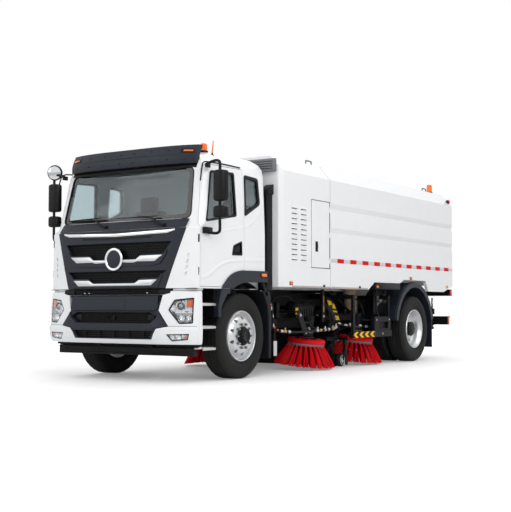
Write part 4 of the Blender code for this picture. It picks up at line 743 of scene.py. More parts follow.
def face_band(line_low, line_high, out_low, out_high, count=40, lift=face_x):
    """A raised band on the cab's front between two lines of (y, z), following the front's curve."""
    def at(line, y):
        for (y0, z0), (y1, z1) in zip(line, line[1:]):
            if y0 <= y <= y1:
                return z0 + (z1 - z0) * (y - y0) / (y1 - y0)
        return line[0][1] if y < line[0][0] else line[-1][1]

    start = max(line_low[0][0], line_high[0][0])
    end = min(line_low[-1][0], line_high[-1][0])
    ys = {start + (end - start) * i / count for i in range(count + 1)}
    ys |= {y for y, _ in line_low + line_high if start < y < end}
    rings = []
    for y in sorted(ys):
        low, high = at(line_low, y), at(line_high, y)
        rings.append(
            [
                (lift(y, low) + out_low, y, low), (lift(y, low) + out_high, y, low),
                (lift(y, high) + out_high, y, high), (lift(y, high) + out_low, y, high)
            ]
        )
    return loft(rings, "band")


def mirrored_line(points):
    """A line from its points on the left half, middle first, carried over to the right half."""
    return [(-y, z) for y, z in reversed(points)] + [(y, z) for y, z in points if y > 0]


def honeycomb(y_range, z_range, x_at, pitch=0.030, bar=0.006, deep=0.010, keep_in=None):
    """A grid of six-sided holes standing across X."""
    points, faces = [], []
    row = 0
    z = z_range[0]
    while z < z_range[1]:
        y = y_range[0] + (pitch / 2 if row % 2 else 0)
        while y < y_range[1]:
            if keep_in is None or keep_in(y, z):
                start = len(points)
                for back in (0, deep):
                    for size in (pitch * 0.5774, pitch * 0.5774 - bar / 2):
                        for k in range(6):
                            turn = math.pi / 6 + math.pi / 3 * k
                            points.append(
                                (x_at(y, z) - back, y + size * math.cos(turn), z + size * math.sin(turn))
                            )
                for k in range(6):
                    m = (k + 1) % 6
                    a, b, c, d = start, start + 6, start + 12, start + 18
                    faces.append((a + k, a + m, b + m, b + k))
                    faces.append((b + k, b + m, d + m, d + k))
                    faces.append((c + k, c + m, a + m, a + k))
            y += pitch
        z += pitch * 0.866
        row += 1
    return solid("honeycomb", points, faces)


def cab_body():
    """The white cab: hollow, with doorways, windows, wheel arches, grille recess and tilt arms."""
    outer = cab_form()
    inner = cab_form(WALL, FLOOR_TOP)
    behind_wheel = (
        (-0.60, 1.00), (-0.60, 1.1485), (-0.207, 1.1495), (-0.100, 1.1465), (-0.050, 1.100), (-0.050, 1.000)
    )
    cut(inner, box((-0.60, 0.62), (-0.45, 0.45), (1.060, 1.410)))
    cut(outer, inner)
    arch = [
        (0.62 * math.cos(math.radians(a)), TYRE_RADIUS + 0.645 * math.sin(math.radians(a)))
        for a in range(0, 181, 6)
    ]
    cut(outer, box((-0.80, 0.58), (-0.41, 0.41), (0.90, 1.370)), *both([prism(arch, "y", 0.46, 1.30)]))
    cut(outer, *both([prism(grown(DOOR, 0.006), "y", 0.985, 1.30)]))
    cut(outer, *both([prism(behind_wheel, "y", 0.975, 1.30)]))
    screen = prism(rounded(across(SCREEN), 0.085), "x", 0.55, 1.30)
    quarter = both([prism(rounded(QUARTER_GLASS, 0.035), "y", 0.90, 1.30)])
    cut(outer, screen, *quarter)
    recess = prism(grown(across(GRILLE), 0.003), "x", 0.900, 1.30)
    cut(recess, cab_form(0.045))
    cut(outer, recess)
    arms = both(
        [
            prism(
                (
                    (0.600, 1.075), (0.900, 0.735), (0.960, 0.735), (0.978, 0.760), (0.978, 0.835),
                    (0.745, 1.075)
                ),
                "y", 0.470, 0.520
            )
        ]
    )
    fuse(outer, *arms)
    slits = []
    for i in range(4):
        z = 1.200 + 0.068 * i
        slits.append(
            prism(
                (
                    (0.955 + 0.006 * i, z), (0.985 + 0.006 * i, z + 0.012), (0.990 + 0.006 * i, z + 0.050),
                    (0.965 + 0.006 * i, z + 0.040)
                ),
                "x", 0.80, 1.30
            )
        )
    slits = both(slits)
    keep_out = cab_form(0.012)
    slit_tool = joined(slits)
    cut(slit_tool, keep_out)
    cut(outer, slit_tool)
    bevel(outer, 0.004, 2, 35)
    return put(outer, WHITE, "cab", "cab_body", replaces=("cab_shell",), slot="white_paint", smooth=32)


def window_frame(outline, y_out, y_in, inner_by, body, name, radius=0.035):
    """A black rubber frame round a side window: a ring whose outer face follows the side."""
    outer = rounded(outline, radius)
    inner = rounded(grown(outline, -inner_by), max(radius - inner_by * 0.3, 0.012))
    rows = []
    for out, ring in (
        (y_in, outer), (y_out, outer),
        (y_out + 0.003, [tuple(Vector(a).lerp(Vector(b), 0.3)) for a, b in zip(outer, inner)]),
        (y_out + 0.001, inner), (y_in, inner)
    ):
        rows.append([(x, side_y(z) + out, z) for x, z in ring])
    points = [p for row in rows for p in row]
    count = len(outer)
    faces = []
    for a in range(len(rows)):
        b = (a + 1) % len(rows)
        for i in range(count):
            j = (i + 1) % count
            faces.append((a * count + i, a * count + j, b * count + j, b * count + i))
    return put_sides(solid(name, points, faces), BLACK_TRIM, body, name, slot="navy_plastic", smooth=50)


def pane(outline, depth, thick, body, name, radius=0.03):
    """A flat side window pane."""
    ring = rounded(outline, radius)
    return put_sides(
        loft(
            [[(x, side_y(z) - depth, z) for x, z in ring], [(x, side_y(z) - depth - thick, z) for x, z in ring]]
        ),
        GLASS, body, name, slot="window_glass", smooth=30
    )


def windscreen():
    """The curved glass with its black edge and its seal."""
    outline = rounded(grown(across(SCREEN), -0.0004), 0.085, 8)
    clear_outline = rounded([(0.905, 1.900), (0.862, 2.425), (-0.862, 2.425), (-0.905, 1.900)], 0.070, 8)
    # sheet of glass as a ring grid from the rim inward, so that it can follow the curved front
    rows = []
    centre = Vector((0.0, 2.15))
    for share in (1.0, 0.8, 0.6, 0.4, 0.2, 0.05):
        rows.append([tuple(centre + (Vector(p) - centre) * share) for p in clear_outline])
    count = len(clear_outline)
    for name, offset in (("glass", -0.014),):
        points = [(face_x(y, z) + offset, y, z) for row in rows for y, z in row]
        faces = []
        for level in range(len(rows) - 1):
            for i in range(count):
                j = (i + 1) % count
                faces.append(
                    (level * count + i, level * count + j, (level + 1) * count + j, (level + 1) * count + i)
                )
        last = (len(rows) - 1) * count
        faces.append(tuple(range(last, last + count)))
        sheet = solid(name, points, faces)
        thick = sheet.modifiers.new("thick", "SOLIDIFY")
        thick.thickness = 0.005
        thick.offset = 0
        baked(sheet)
        put(sheet, GLASS, "cab", "windscreen_glass", replaces=("windscreen",), slot="window_glass", smooth=60)
    frit_rows = []
    for out, ring in ((-0.022, outline), (-0.0105, outline), (-0.0105, clear_outline), (-0.022, clear_outline)):
        frit_rows.append([(face_x(y, z) + out, y, z) for y, z in ring])
    points = [p for row in frit_rows for p in row]
    faces = []
    for a in range(4):
        b = (a + 1) % 4
        for i in range(count):
            j = (i + 1) % count
            faces.append((a * count + i, a * count + j, b * count + j, b * count + i))
    put(solid("frit", points, faces), FRIT, "cab", "windscreen_edge", slot="window_glass", smooth=40)
    seal = [(face_x(y, z) - 0.004, y, z) for y, z in rounded(grown(across(SCREEN), 0.002), 0.085, 8)]
    put(bent(seal + seal[:1], 0.008, 8, smooth=0), BLACK_TRIM, "cab", "windscreen_seal", slot="navy_plastic")


def grille():
    """The navy front panel: mesh openings, bright bars, a ring round a blank disc, and trim."""
    frame_shape = prism(across(GRILLE), "x", 0.90, 1.30)
    keep(frame_shape, cab_form(-0.004))
    cut(frame_shape, cab_form(0.040))
    slot_one = across(((0.34, 1.400), (0.40, 1.452), (0.690, 1.452), (0.795, 1.590)))
    slot_two = across(((0.345, 1.132), (0.40, 1.180), (0.640, 1.180), (0.745, 1.262)))
    cut(frame_shape, prism(slot_one, "x", 0.80, 1.30), prism(slot_two, "x", 0.80, 1.30))
    bevel(frame_shape, 0.007, 3, 35)
    put(frame_shape, NAVY, "cab", "grille_frame", replaces=("front_grille",), slot="navy_plastic", smooth=40)
    # raised wings round the bright bars
    for name, low, high in (
        (
            "upper", ((0.0, 1.318), (0.320, 1.318), (0.560, 1.322), (0.660, 1.342), (0.740, 1.450)),
            ((0.0, 1.398), (0.338, 1.400), (0.398, 1.450), (0.690, 1.450), (0.740, 1.500))
        ),
        (
            "lower", ((0.0, 1.066), (0.640, 1.068), (0.655, 1.110), (0.690, 1.190)),
            ((0.0, 1.130), (0.343, 1.131), (0.400, 1.178), (0.640, 1.178), (0.690, 1.235))
        ),
    ):
        wing = face_band(mirrored_line(low), mirrored_line(high), -0.004, 0.016, 60)
        bevel(wing, 0.009, 3, 35)
        put(wing, NAVY, "cab", "grille_wing_" + name, slot="navy_plastic", smooth=50)
    upper_low = ((0.128, 1.362), (0.292, 1.357), (0.336, 1.370), (0.590, 1.369), (0.690, 1.436))
    upper_high = ((0.128, 1.392), (0.318, 1.392), (0.381, 1.434), (0.690, 1.438))
    for sign, side in ((1, "left"), (-1, "right")):
        low = [(y * sign, z) for y, z in upper_low]
        high = [(y * sign, z) for y, z in upper_high]
        if sign < 0:
            low.reverse()
            high.reverse()
        bar = face_band(low, high, 0.008, 0.021, 24)
        bevel(bar, 0.003, 2, 35)
        put(bar, SILVER, "cab", "bright_bar_" + side, slot="silver_rim", smooth=40)
    low = mirrored_line(((0.0, 1.092), (0.550, 1.094), (0.628, 1.158)))
    high = mirrored_line(((0.0, 1.118), (0.313, 1.119), (0.376, 1.156), (0.628, 1.160)))
    bar = face_band(low, high, 0.008, 0.021, 60)
    bevel(bar, 0.003, 2, 35)
    put(bar, SILVER, "cab", "bright_bar_low", slot="silver_rim", smooth=40)
    ring = turned(
        [
            (0.118 + 0.017 * math.cos(t) * 1.0, 0.014 * math.sin(t))
            for t in [2 * math.pi * i / 16 for i in range(16)]
        ],
        (1.068, 0, 1.400), (1, 0, 0), 72
    )
    put(ring, CHROME, "cab", "grille_ring", slot="silver_rim", smooth=60)
    disc = turned(
        ((0, 0.0), (0.106, 0.0), (0.106, 0.014), (0.100, 0.020), (0.070, 0.026), (0, 0.028)), (1.046, 0, 1.400),
        (1, 0, 0), 64
    )
    put(disc, NAVY, "cab", "grille_disc", slot="navy_plastic", smooth=50)
    strip_low = mirrored_line(((0.0, 1.664), (0.740, 1.683), (0.840, 1.712)))
    strip_high = mirrored_line(((0.0, 1.700), (0.760, 1.722), (0.840, 1.730)))
    chrome = face_band(strip_low, strip_high, -0.002, 0.014, 60)
    bevel(chrome, 0.004, 2, 35)
    put(chrome, CHROME, "cab", "chrome_strip", slot="silver_rim", smooth=40)
    groove = face_band(
        mirrored_line(((0.0, 1.628), (0.52, 1.636))), mirrored_line(((0.0, 1.650), (0.60, 1.664))), -0.010,
        0.0055, 40
    )
    put(groove, BLACK_TRIM, "cab", "grille_groove", slot="navy_plastic", smooth=40)
    header = face_band(
        mirrored_line(((0.0, 2.447), (0.905, 2.447), (0.945, 2.440))),
        mirrored_line(((0.0, 2.516), (0.905, 2.510), (0.945, 2.495))), -0.006, 0.0045, 60
    )
    bevel(header, 0.003, 2, 35)
    put(header, BLACK_TRIM, "cab", "windscreen_header", slot="navy_plastic", smooth=45)

    def behind(y, z):
        return face_x(y, z) - 0.030

    for name, (z0, z1), half_low, half_high in (
        ("upper", (1.395, 1.595), 0.69, 0.80), ("lower", (1.128, 1.270), 0.64, 0.75)
    ):
        def inside(y, z):
            share = (z - z0) / (z1 - z0)
            return abs(y) < half_low + (half_high - half_low) * share - 0.004

        mesh = honeycomb((-half_high, half_high), (z0, z1), behind, 0.034, 0.008, 0.012, inside)
        put(mesh, BLACK_TRIM, "cab", "grille_mesh_" + name, slot="navy_plastic", smooth=0)
        plate = face_band(
            [(-half_high - 0.02, z0 - 0.01), (half_high + 0.02, z0 - 0.01)],
            [(-half_high - 0.02, z1 + 0.01), (half_high + 0.02, z1 + 0.01)], -0.0445, -0.0400, 24
        )
        put(plate, BLACK_TRIM, "cab", "grille_back_" + name, slot="navy_plastic", smooth=40)


def cowl():
    """Panel between the glass and the grille, with its slots."""
    panel = face_band(
        mirrored_line(((0.0, 1.742), (0.955, 1.746))), mirrored_line(((0.0, 1.846), (0.962, 1.848))), -0.006,
        0.004, 60
    )
    bevel(panel, 0.003, 2, 35)
    put(panel, NAVY, "cab", "cowl_panel", slot="navy_plastic", smooth=50)
    slots = []
    for y0, y1 in ((-0.76, -0.50), (0.28, 0.56)):
        band = face_band([(y0, 1.756), (y1, 1.756)], [(y0, 1.768), (y1, 1.768)], -0.002, 0.0065, 8)
        slots.append(band)
    put(joined(slots), BLACK_TRIM, "cab", "cowl_slots", slot="navy_plastic", smooth=30)


def wipers():
    """Two wipers, each a post, an arm, a rail and a blade."""
    pieces = []
    for pivot, elbow, blade in (
        ((-0.179, 1.782), (-0.400, 1.885), ((-0.860, 1.893), (-0.317, 1.905))),
        ((0.677, 1.775), (0.470, 1.872), ((-0.069, 1.884), (0.527, 1.890)))
    ):
        px = face_x(*pivot)
        post = turned(
            ((0, 0), (0.022, 0), (0.020, 0.030), (0.014, 0.040), (0, 0.042)), (px - 0.002, *pivot),
            (1, 0, 0.35), 20
        )
        low = Vector((px + 0.034, *pivot))
        high = Vector((face_x(*elbow) + 0.030, *elbow))
        arm = bent(
            (
                low, low.lerp(high, 0.33) + Vector((0.008, 0, 0)), low.lerp(high, 0.66) + Vector((0.008, 0, 0)),
                high
            ),
            lambda t: 0.013 - 0.005 * t, 8
        )
        (y0, z0), (y1, z1) = blade
        middle = ((y0 + y1) / 2, (z0 + z1) / 2)
        rail = bent((high, Vector((face_x(*middle) + 0.026, *middle))), 0.007, 6, smooth=0)
        line = []
        for i in range(13):
            t = i / 12
            y, z = y0 + (y1 - y0) * t, z0 + (z1 - z0) * t
            line.append((face_x(y, z) + 0.017, y, z))
        bow = bent([(x, y, z) for x, y, z in line], lambda t: 0.008 - 0.003 * abs(2 * t - 1), 6, smooth=0)
        lip = []
        for x, y, z in line:
            lip.append(
                [(x, y, z + 0.003), (x - 0.0265, y, z + 0.0015), (x - 0.0265, y, z - 0.0015), (x, y, z - 0.003)]
            )
        pieces += [post, arm, rail, bow, loft(lip)]
    put(joined(pieces), BLACK_TRIM, "cab", "wipers", slot="navy_plastic", smooth=50)


def visor():
    """The sun visor, its marker lamps and its screws."""
    shares = [-1.0, -0.985, -0.96, -0.93, -0.88, -0.80, -0.7, -0.55, -0.4, -0.2, 0.0]
    shares = shares + [-s for s in reversed(shares[:-1])]
    rings = []
    for height, front in (
        (2.492, 0.862), (2.505, 0.8640), (2.535, 0.8655), (2.565, 0.8655), (2.600, 0.8560), (2.640, 0.840),
        (2.685, 0.8150), (2.712, 0.800)
    ):
        ring = [(front - 0.105 * abs(t) ** 4, 0.951 * t, height) for t in shares]
        ring += [(front - 0.155 - 0.02 * abs(t) ** 4, 0.951 * t, height) for t in reversed(shares[::2])]
        rings.append(ring)
    shape = loft(rings)
    cut(shape, cab_form(-0.0006))
    bevel(shape, 0.008, 3, 40)
    put(shape, NAVY, "cab", "visor_shell", replaces=("sun_visor",), slot="navy_plastic", smooth=45)

    def lip_x(y, z):
        t = abs(y) / 0.951
        rows = ((2.492, 0.862), (2.560, 0.866), (2.640, 0.840), (2.712, 0.800))
        for (z0, f0), (z1, f1) in zip(rows, rows[1:]):
            if z <= z1:
                return f0 + (f1 - f0) * (z - z0) / (z1 - z0) - 0.105 * t**4
        return 0.800 - 0.105 * t**4

    crease = face_band(
        mirrored_line(((0.0, 2.608), (0.76, 2.600))), mirrored_line(((0.0, 2.622), (0.76, 2.614))), -0.004,
        0.005, 40, lip_x
    )
    bevel(crease, 0.003, 2, 35)
    put(crease, NAVY, "cab", "visor_crease", slot="navy_plastic", smooth=50)
    screws = []
    for y in (0.10, 0.36, 0.60, 0.82):
        for z in (2.545, 2.655):
            screws.append(
                turned(
                    ((0, 0), (0.010, 0), (0.008, 0.005), (0, 0.006)), (lip_x(y, z) - 0.001, y, z), (1, 0, 0.2),
                    12
                )
            )
    put_sides(joined(screws), BLACK_TRIM, "cab", "visor_screws", slot="navy_plastic", smooth=50)
    lamp_base = face_band(
        [(0.760, 2.622), (0.925, 2.610)], [(0.760, 2.672), (0.925, 2.662)], -0.004, 0.005, 12, lip_x
    )
    bevel(lamp_base, 0.003, 2, 35)
    put_sides(lamp_base, BLACK_TRIM, "cab", "visor_lamp_base", slot="navy_plastic", smooth=50)
    lens = face_band(
        [(0.800, 2.634), (0.912, 2.628)], [(0.800, 2.652), (0.912, 2.646)], 0.003, 0.010, 12, lip_x
    )
    bevel(lens, 0.003, 2, 35)
    put_sides(lens, AMBER, "cab", "visor_lamp_lens")


def doors():
    """The cab's doors with their panes, handles and frames, and the windows behind them."""
    panel = prism(DOOR, "y", 0.986, 1.30)
    keep(panel, cab_form())
    cut(panel, cab_form(WALL, 0.960))
    cut(panel, prism(rounded(DOOR_GLASS, 0.035), "y", 0.90, 1.30))
    pocket = prism(
        rounded(((0.258, 1.462), (0.228, 1.562), (0.066, 1.618), (0.060, 1.468)), 0.015, 4), "y", 1.085, 1.30
    )
    cut(panel, pocket)
    bevel(panel, 0.005, 2, 35)
    put_sides(
        panel, WHITE, "door_left", "door_panel", replaces=("cab_door_left",), slot="white_paint", smooth=30
    )
    bezel_outline = ((0.268, 1.452), (0.236, 1.570), (0.056, 1.630), (0.050, 1.456))
    outer = rounded(bezel_outline, 0.018, 4)
    inner = rounded(grown(bezel_outline, -0.016), 0.012, 4)
    rows = []
    for out, ring in ((-0.006, outer), (0.004, outer), (0.005, inner), (-0.022, inner), (-0.024, outer)):
        rows.append([(x, side_y(z) + out, z) for x, z in ring])
    points = [p for row in rows for p in row]
    count = len(outer)
    faces = []
    for a in range(len(rows)):
        b = (a + 1) % len(rows)
        for i in range(count):
            j = (i + 1) % count
            faces.append((a * count + i, a * count + j, b * count + j, b * count + i))
    bezel = solid("bezel", points, faces)
    back = prism(inner, "y", 1.078, 1.088)
    flap = bevel(
        prism(((0.215, 1.485), (0.205, 1.545), (0.088, 1.585), (0.084, 1.490)), "y", 1.094, 1.106), 0.005
    )
    key = rod((0.090, 1.107, 1.475), (0.090, 1.114, 1.475), 0.012, 20, edge=0.002)
    put_sides(
        joined([bezel, back, flap, key]), BLACK_TRIM, "door_left", "door_handle", slot="navy_plastic", smooth=40
    )
    window_frame(grown(DOOR_GLASS, 0.002), 0.002, -0.030, 0.026, "door_left", "door_window_frame")
    pane(grown(DOOR_GLASS, -0.012), 0.022, 0.005, "door_left", "door_pane")
    window_frame(grown(QUARTER_GLASS, 0.016), 0.003, -0.030, 0.036, "cab", "quarter_window_frame", 0.045)
    pane(grown(QUARTER_GLASS, -0.012), 0.020, 0.005, "cab", "quarter_pane")
    # hinges at the door's front edge
    hinges = []
    for z in (1.25, 1.62):
        hinges.append(rod((0.902, 1.098, z - 0.045), (0.902, 1.098, z + 0.045), 0.010, 14, edge=0.002))
    put_sides(joined(hinges), BLACK_TRIM, "cab", "door_hinges", slot="navy_plastic", smooth=40)
    gutter = bent(
        (
            (0.868, side_y(2.28) + 0.004, 2.270), (0.825, side_y(2.43) + 0.003, 2.425), (0.790, 1.072, 2.480),
            (0.700, 1.064, 2.503), (0.400, 1.062, 2.512), (0.030, 1.061, 2.508)
        ),
        0.0085, 8
    )
    put_sides(gutter, BLACK_TRIM, "cab", "door_gutter", slot="navy_plastic", smooth=60)


def belt_lines():
    """Soft raised shapes pressed into the doors and the rear sides."""
    def swell(points, wide, high, body, name):
        rows = []
        for i in range(len(points)):
            x, z = points[i]
            a = Vector(points[max(i - 1, 0)])
            b = Vector(points[min(i + 1, len(points) - 1)])
            along = (b - a).normalized()
            across_dir = Vector((-along.y, along.x))
            taper = math.sin(math.pi * min(max(i / (len(points) - 1), 0.04), 0.96)) ** 0.5
            row = []
            for share, rise in (
                (-1.0, -0.0008), (-0.75, 0.12), (-0.3, 0.8), (0.0, 1.0), (0.25, 0.9), (0.6, 0.3), (1.0, -0.0008)
            ):
                p = Vector((x, z)) + across_dir * wide * share
                row.append((p.x, side_y(p.y) + (rise * high * taper if rise > 0 else rise), p.y))
            rows.append(row)
        put_sides(strip(rows), WHITE, body, name, slot="white_paint", smooth=70)

    swell(
        [
            (0.875, 1.175), (0.800, 1.190), (0.700, 1.225), (0.600, 1.285), (0.500, 1.335), (0.400, 1.365),
            (0.300, 1.382), (0.200, 1.390), (0.100, 1.396), (0.020, 1.400)
        ],
        0.030, 0.008, "door_left", "door_crease"
    )
    swell(
        [(-0.010, 1.402), (-0.120, 1.408), (-0.250, 1.412), (-0.380, 1.416), (-0.445, 1.418)], 0.030, 0.008,
        "cab", "side_crease"
    )
    swell(
        [(0.870, 1.560), (0.780, 1.640), (0.600, 1.700), (0.400, 1.735), (0.200, 1.765), (0.020, 1.790)], 0.022,
        0.005, "door_left", "door_belt"
    )
    swell(
        [(-0.010, 1.795), (-0.120, 1.835), (-0.240, 1.900), (-0.340, 1.990), (-0.400, 2.080)], 0.022, 0.005,
        "cab", "side_belt"
    )


FLARE = (
    (0.478, 1.063), (0.446, 1.108), (0.363, 1.182), (0.300, 1.222), (0.231, 1.250), (0.150, 1.270),
    (0.063, 1.281), (-0.215, 1.285), (-0.497, 1.285), (-0.497, 1.148), (-0.207, 1.150), (-0.100, 1.146),
    (0.000, 1.138), (0.090, 1.124), (0.170, 1.103), (0.260, 1.063)
)


def flares():
    """The navy band over each front wheel."""
    flare = prism(FLARE, "y", 0.905, 1.129)
    cut(flare, cab_form(-0.0006), prism(grown(DOOR, 0.005), "y", 0.80, 1.1145))
    bevel(flare, 0.012, 4, 35)
    put_sides(flare, NAVY, "cab", "flare", replaces=("wheel_flare_left",), slot="navy_plastic", smooth=45)
    base = box((-0.462, -0.332), (1.126, 1.134), (1.208, 1.262), 0.004)
    put_sides(base, BLACK_TRIM, "cab", "flare_lamp_base", slot="navy_plastic", smooth=40)
    lens = box((-0.450, -0.344), (1.131, 1.146), (1.216, 1.254), 0.008)
    put_sides(lens, AMBER, "cab", "flare_lamp_lens", smooth=40)


def mirror_case(x, y, low, high):
    """A mirror's housing, rounded all over."""
    rings = []
    count = 24
    for z, size in (
        (low, 0.60), (low + 0.004, 0.80), (low + 0.014, 0.95), (low + 0.030, 1.0), (high - 0.030, 1.0),
        (high - 0.014, 0.95), (high - 0.004, 0.80), (high, 0.60)
    ):
        ring = []
        for i in range(count + 1):
            turn = math.pi * i / count
            ring.append(
                (
                    x - 0.036 + 0.086 * math.sin(turn) ** 0.75 * (0.6 + 0.4 * size),
                    y + 0.090 * size * math.copysign(abs(math.cos(turn)) ** 0.8, math.cos(turn)), z
                )
            )
        ring.append((x - 0.042, y - 0.088 * size, z))
        ring.append((x - 0.042, y + 0.088 * size, z))
        rings.append(ring)
    return loft(rings)


def mirrors():
    """Both sides' mirrors with their arms, and the round one high on the right."""
    x, y = 0.740, 1.270
    cases = [mirror_case(x, y, 2.040, 2.390), mirror_case(x, y, 1.850, 1.985)]
    arm = 0.017
    stem = bent(
        (
            (x, y, 2.395), (x, y, 2.462), (x + 0.001, y - 0.012, 2.490), (x + 0.001, y - 0.045, 2.501),
            (x + 0.003, 1.180, 2.497), (x + 0.004, 1.112, 2.478), (x + 0.004, 1.078, 2.462)
        ),
        arm, 12
    )
    link = rod((x, y, 1.975), (x, y, 2.050), arm, 14)
    low_stem = bent(
        (
            (x, y, 1.860), (x, y, 1.725), (x + 0.002, y - 0.012, 1.690), (x + 0.010, y - 0.045, 1.677),
            (x + 0.025, 1.175, 1.682), (x + 0.040, 1.128, 1.696)
        ),
        arm, 12
    )
    foot = bevel(box((0.702, 0.858), (1.111, 1.150), (1.672, 1.748)), 0.010, 3)
    upper_foot = bevel(box((0.692, 0.768), (1.078, 1.110), (2.430, 2.480)), 0.008, 3)
    put_sides(
        joined([*cases, foot, upper_foot]), BLACK_TRIM, "door_left", "mirror_cases", replaces=("mirror_left",),
        slot="navy_plastic", smooth=50
    )
    put_sides(
        joined([stem, link, low_stem]), BLACK_TRIM, "door_left", "mirror_arms", slot="navy_plastic", smooth=60
    )
    glasses = []
    for low, high in ((2.052, 2.378), (1.860, 1.975)):
        glasses.append(
            box((x - 0.0465, x - 0.0405), (y - 0.080, y + 0.080), (low + 0.008, high - 0.008), 0.003)
        )
    put_sides(joined(glasses), MIRROR, "door_left", "mirror_glass", slot="silver_rim", smooth=40)
    centre, towards = (0.740, -1.260, 2.535), (-0.88, -0.44, 0.10)
    dish = turned(
        (
            (0, -0.028), (0.070, -0.026), (0.090, -0.018), (0.098, -0.004), (0.097, 0.006), (0.086, 0.022),
            (0.062, 0.040), (0.030, 0.052), (0, 0.056)
        ),
        centre, towards, 48
    )
    face = turned(
        ((0, -0.038), (0.050, -0.036), (0.082, -0.029), (0.082, -0.020), (0, -0.020)), centre, towards, 48
    )
    put(dish, BLACK_TRIM, "door_right", "round_mirror", slot="navy_plastic", smooth=50)
    put(face, MIRROR, "door_right", "round_mirror_glass", slot="silver_rim", smooth=50)


def antenna():
    """The small aerial on the cab's roof."""
    x, y = 0.440, 0.950
    base = turned(
        ((0, 0), (0.026, 0), (0.024, 0.010), (0.012, 0.034), (0.008, 0.052), (0, 0.052)), (x, y, 2.600),
        (0, 0, 1), 24
    )
    put(base, BLACK_TRIM, "cab", "antenna_base", slot="navy_plastic", smooth=50)
    tip = bent(
        ((x, y, 2.648), (x - 0.008, y + 0.002, 2.720), (x - 0.016, y + 0.004, 2.790)),
        lambda t: 0.010 - 0.004 * t, 12
    )
    # The amber lens surface glows faintly, so this tip carries a little painted light although it is no lamp.
    put(tip, AMBER, "cab", "antenna_tip", smooth=60)


def soft_block(x, y, z, subdivide=3):
    """An upholstered block: rounded all over, and crowned on its faces."""
    obj = box(x, y, z)
    modifier = obj.modifiers.new("round", "BEVEL")
    modifier.width = min(x[1] - x[0], y[1] - y[0], z[1] - z[0]) * 0.32
    modifier.segments = 3
    smooth = obj.modifiers.new("smooth", "SUBSURF")
    smooth.levels = subdivide
    baked(obj)
    return obj


def seats():
    """Two seats, their padded pieces, on dark frames."""
    dark, covers = [], []
    for y, side in ((0.66, "left"), (-0.66, "right")):
        cushion = soft_block((-0.40, 0.13), (y - 0.26, y + 0.26), (1.455, 1.590), 2)
        back = soft_block((-0.050, 0.075), (y - 0.25, y + 0.25), (0.0, 0.600), 2)
        back.data.transform(Matrix.Translation((-0.375, 0, 1.510)) @ Matrix.Rotation(math.radians(-7), 4, "Y"))
        head = soft_block((-0.040, 0.045), (y - 0.130, y + 0.130), (0.0, 0.205), 2)
        head.data.transform(Matrix.Translation((-0.400, 0, 2.085)) @ Matrix.Rotation(math.radians(-3), 4, "Y"))
        wings = [
            soft_block((-0.36, 0.08), (y + s * 0.235 - 0.035, y + s * 0.235 + 0.035), (1.500, 1.615), 2)
            for s in (-1, 1)
        ]
        covers += [(cushion, "seat_cushion_" + side), (back, "seat_back_" + side), (head, "head_rest_" + side)]
        covers += [(wings[0], "seat_bolster_inner_" + side), (wings[1], "seat_bolster_outer_" + side)]
        dark.append(rod((-0.395, y - 0.06, 2.03), (-0.395, y - 0.06, 2.12), 0.007, 10))
        dark.append(rod((-0.395, y + 0.06, 2.03), (-0.395, y + 0.06, 2.12), 0.007, 10))
        dark.append(box((-0.32, 0.06), (y - 0.17, y + 0.20), (FLOOR_TOP + 0.001, 1.470), 0.015))
    for pad, name in covers:
        replaced = ("cab_interior",) if name == "seat_cushion_left" else ()
        put(pad, SEAT, "cab", name, replaces=replaced, slot="cab_trim", smooth=60)
    put(joined(dark), BLACK_TRIM, "cab", "seat_frames", slot="cab_trim", smooth=40)


def dashboard():
    """The dashboard, the steering wheel and the trim seen through the glass."""
    dash = prism(
        (
            (0.44, 1.215), (0.44, 1.45), (0.36, 1.64), (0.375, 1.70), (0.42, 1.74), (0.60, 1.752), (0.80, 1.76),
            (0.835, 1.72), (0.84, 1.60), (0.84, 1.215)
        ),
        "y", -0.966, 0.966
    )
    keep(dash, cab_form(WALL + 0.004, FLOOR_TOP + 0.001))
    cut(dash, box((0.30, 0.621), (-0.451, 0.451), (1.0, 1.411)))
    hood = bevel(prism(((0.37, 1.66), (0.40, 1.80), (0.50, 1.815), (0.66, 1.75)), "y", 0.42, 0.84), 0.02, 3)
    bevel(dash, 0.012, 3, 30)
    put(joined([dash, hood]), TRIM, "cab", "dashboard", slot="cab_trim", smooth=40)
    rim = turned(
        [(0.213 + 0.015 * math.cos(t), 0.015 * math.sin(t)) for t in [2 * math.pi * i / 12 for i in range(12)]],
        (0.225, 0.62, 1.730), (-0.82, 0, 0.57), 56
    )
    hub = turned(
        ((0, -0.02), (0.062, -0.02), (0.066, 0.0), (0.055, 0.016), (0, 0.022)), (0.228, 0.62, 1.728),
        (-0.82, 0, 0.57), 32
    )
    spokes = []
    for y in (-0.13, 0.13):
        piece = box(
            (-0.008, 0.008), (min(y, 0.02 * (1 if y > 0 else -1)), max(y, 0.02 * (1 if y > 0 else -1))),
            (-0.016, 0.016), 0.004
        )
        piece.data.transform(Matrix.Scale(1.55, 4, (0, 1, 0)))
        piece.data.transform(
            Matrix.Translation((0.228, 0.62, 1.728)) @ Matrix.Rotation(math.radians(-35), 4, "Y")
        )
        spokes.append(piece)
    column = rod((0.44, 0.62, 1.58), (0.24, 0.62, 1.72), 0.035, 20)
    put(joined([rim, hub, column, *spokes]), BLACK_TRIM, "cab", "steering_wheel", slot="cab_trim", smooth=50)
    mats = [
        box((-0.40, 0.43), sorted((s * 0.484, s * 0.90)), (FLOOR_TOP + 0.001, 1.222), 0.004) for s in (-1, 1)
    ]
    cover = bevel(box((-0.40, 0.43), (-0.478, 0.478), (1.412, 1.436)), 0.010, 3)
    put(joined([*mats, cover]), TRIM, "cab", "floor_covers", slot="cab_trim", smooth=40)


cab_body()
windscreen()
grille()
cowl()
wipers()
visor()
doors()
belt_lines()
flares()
mirrors()
antenna()
seats()
dashboard()


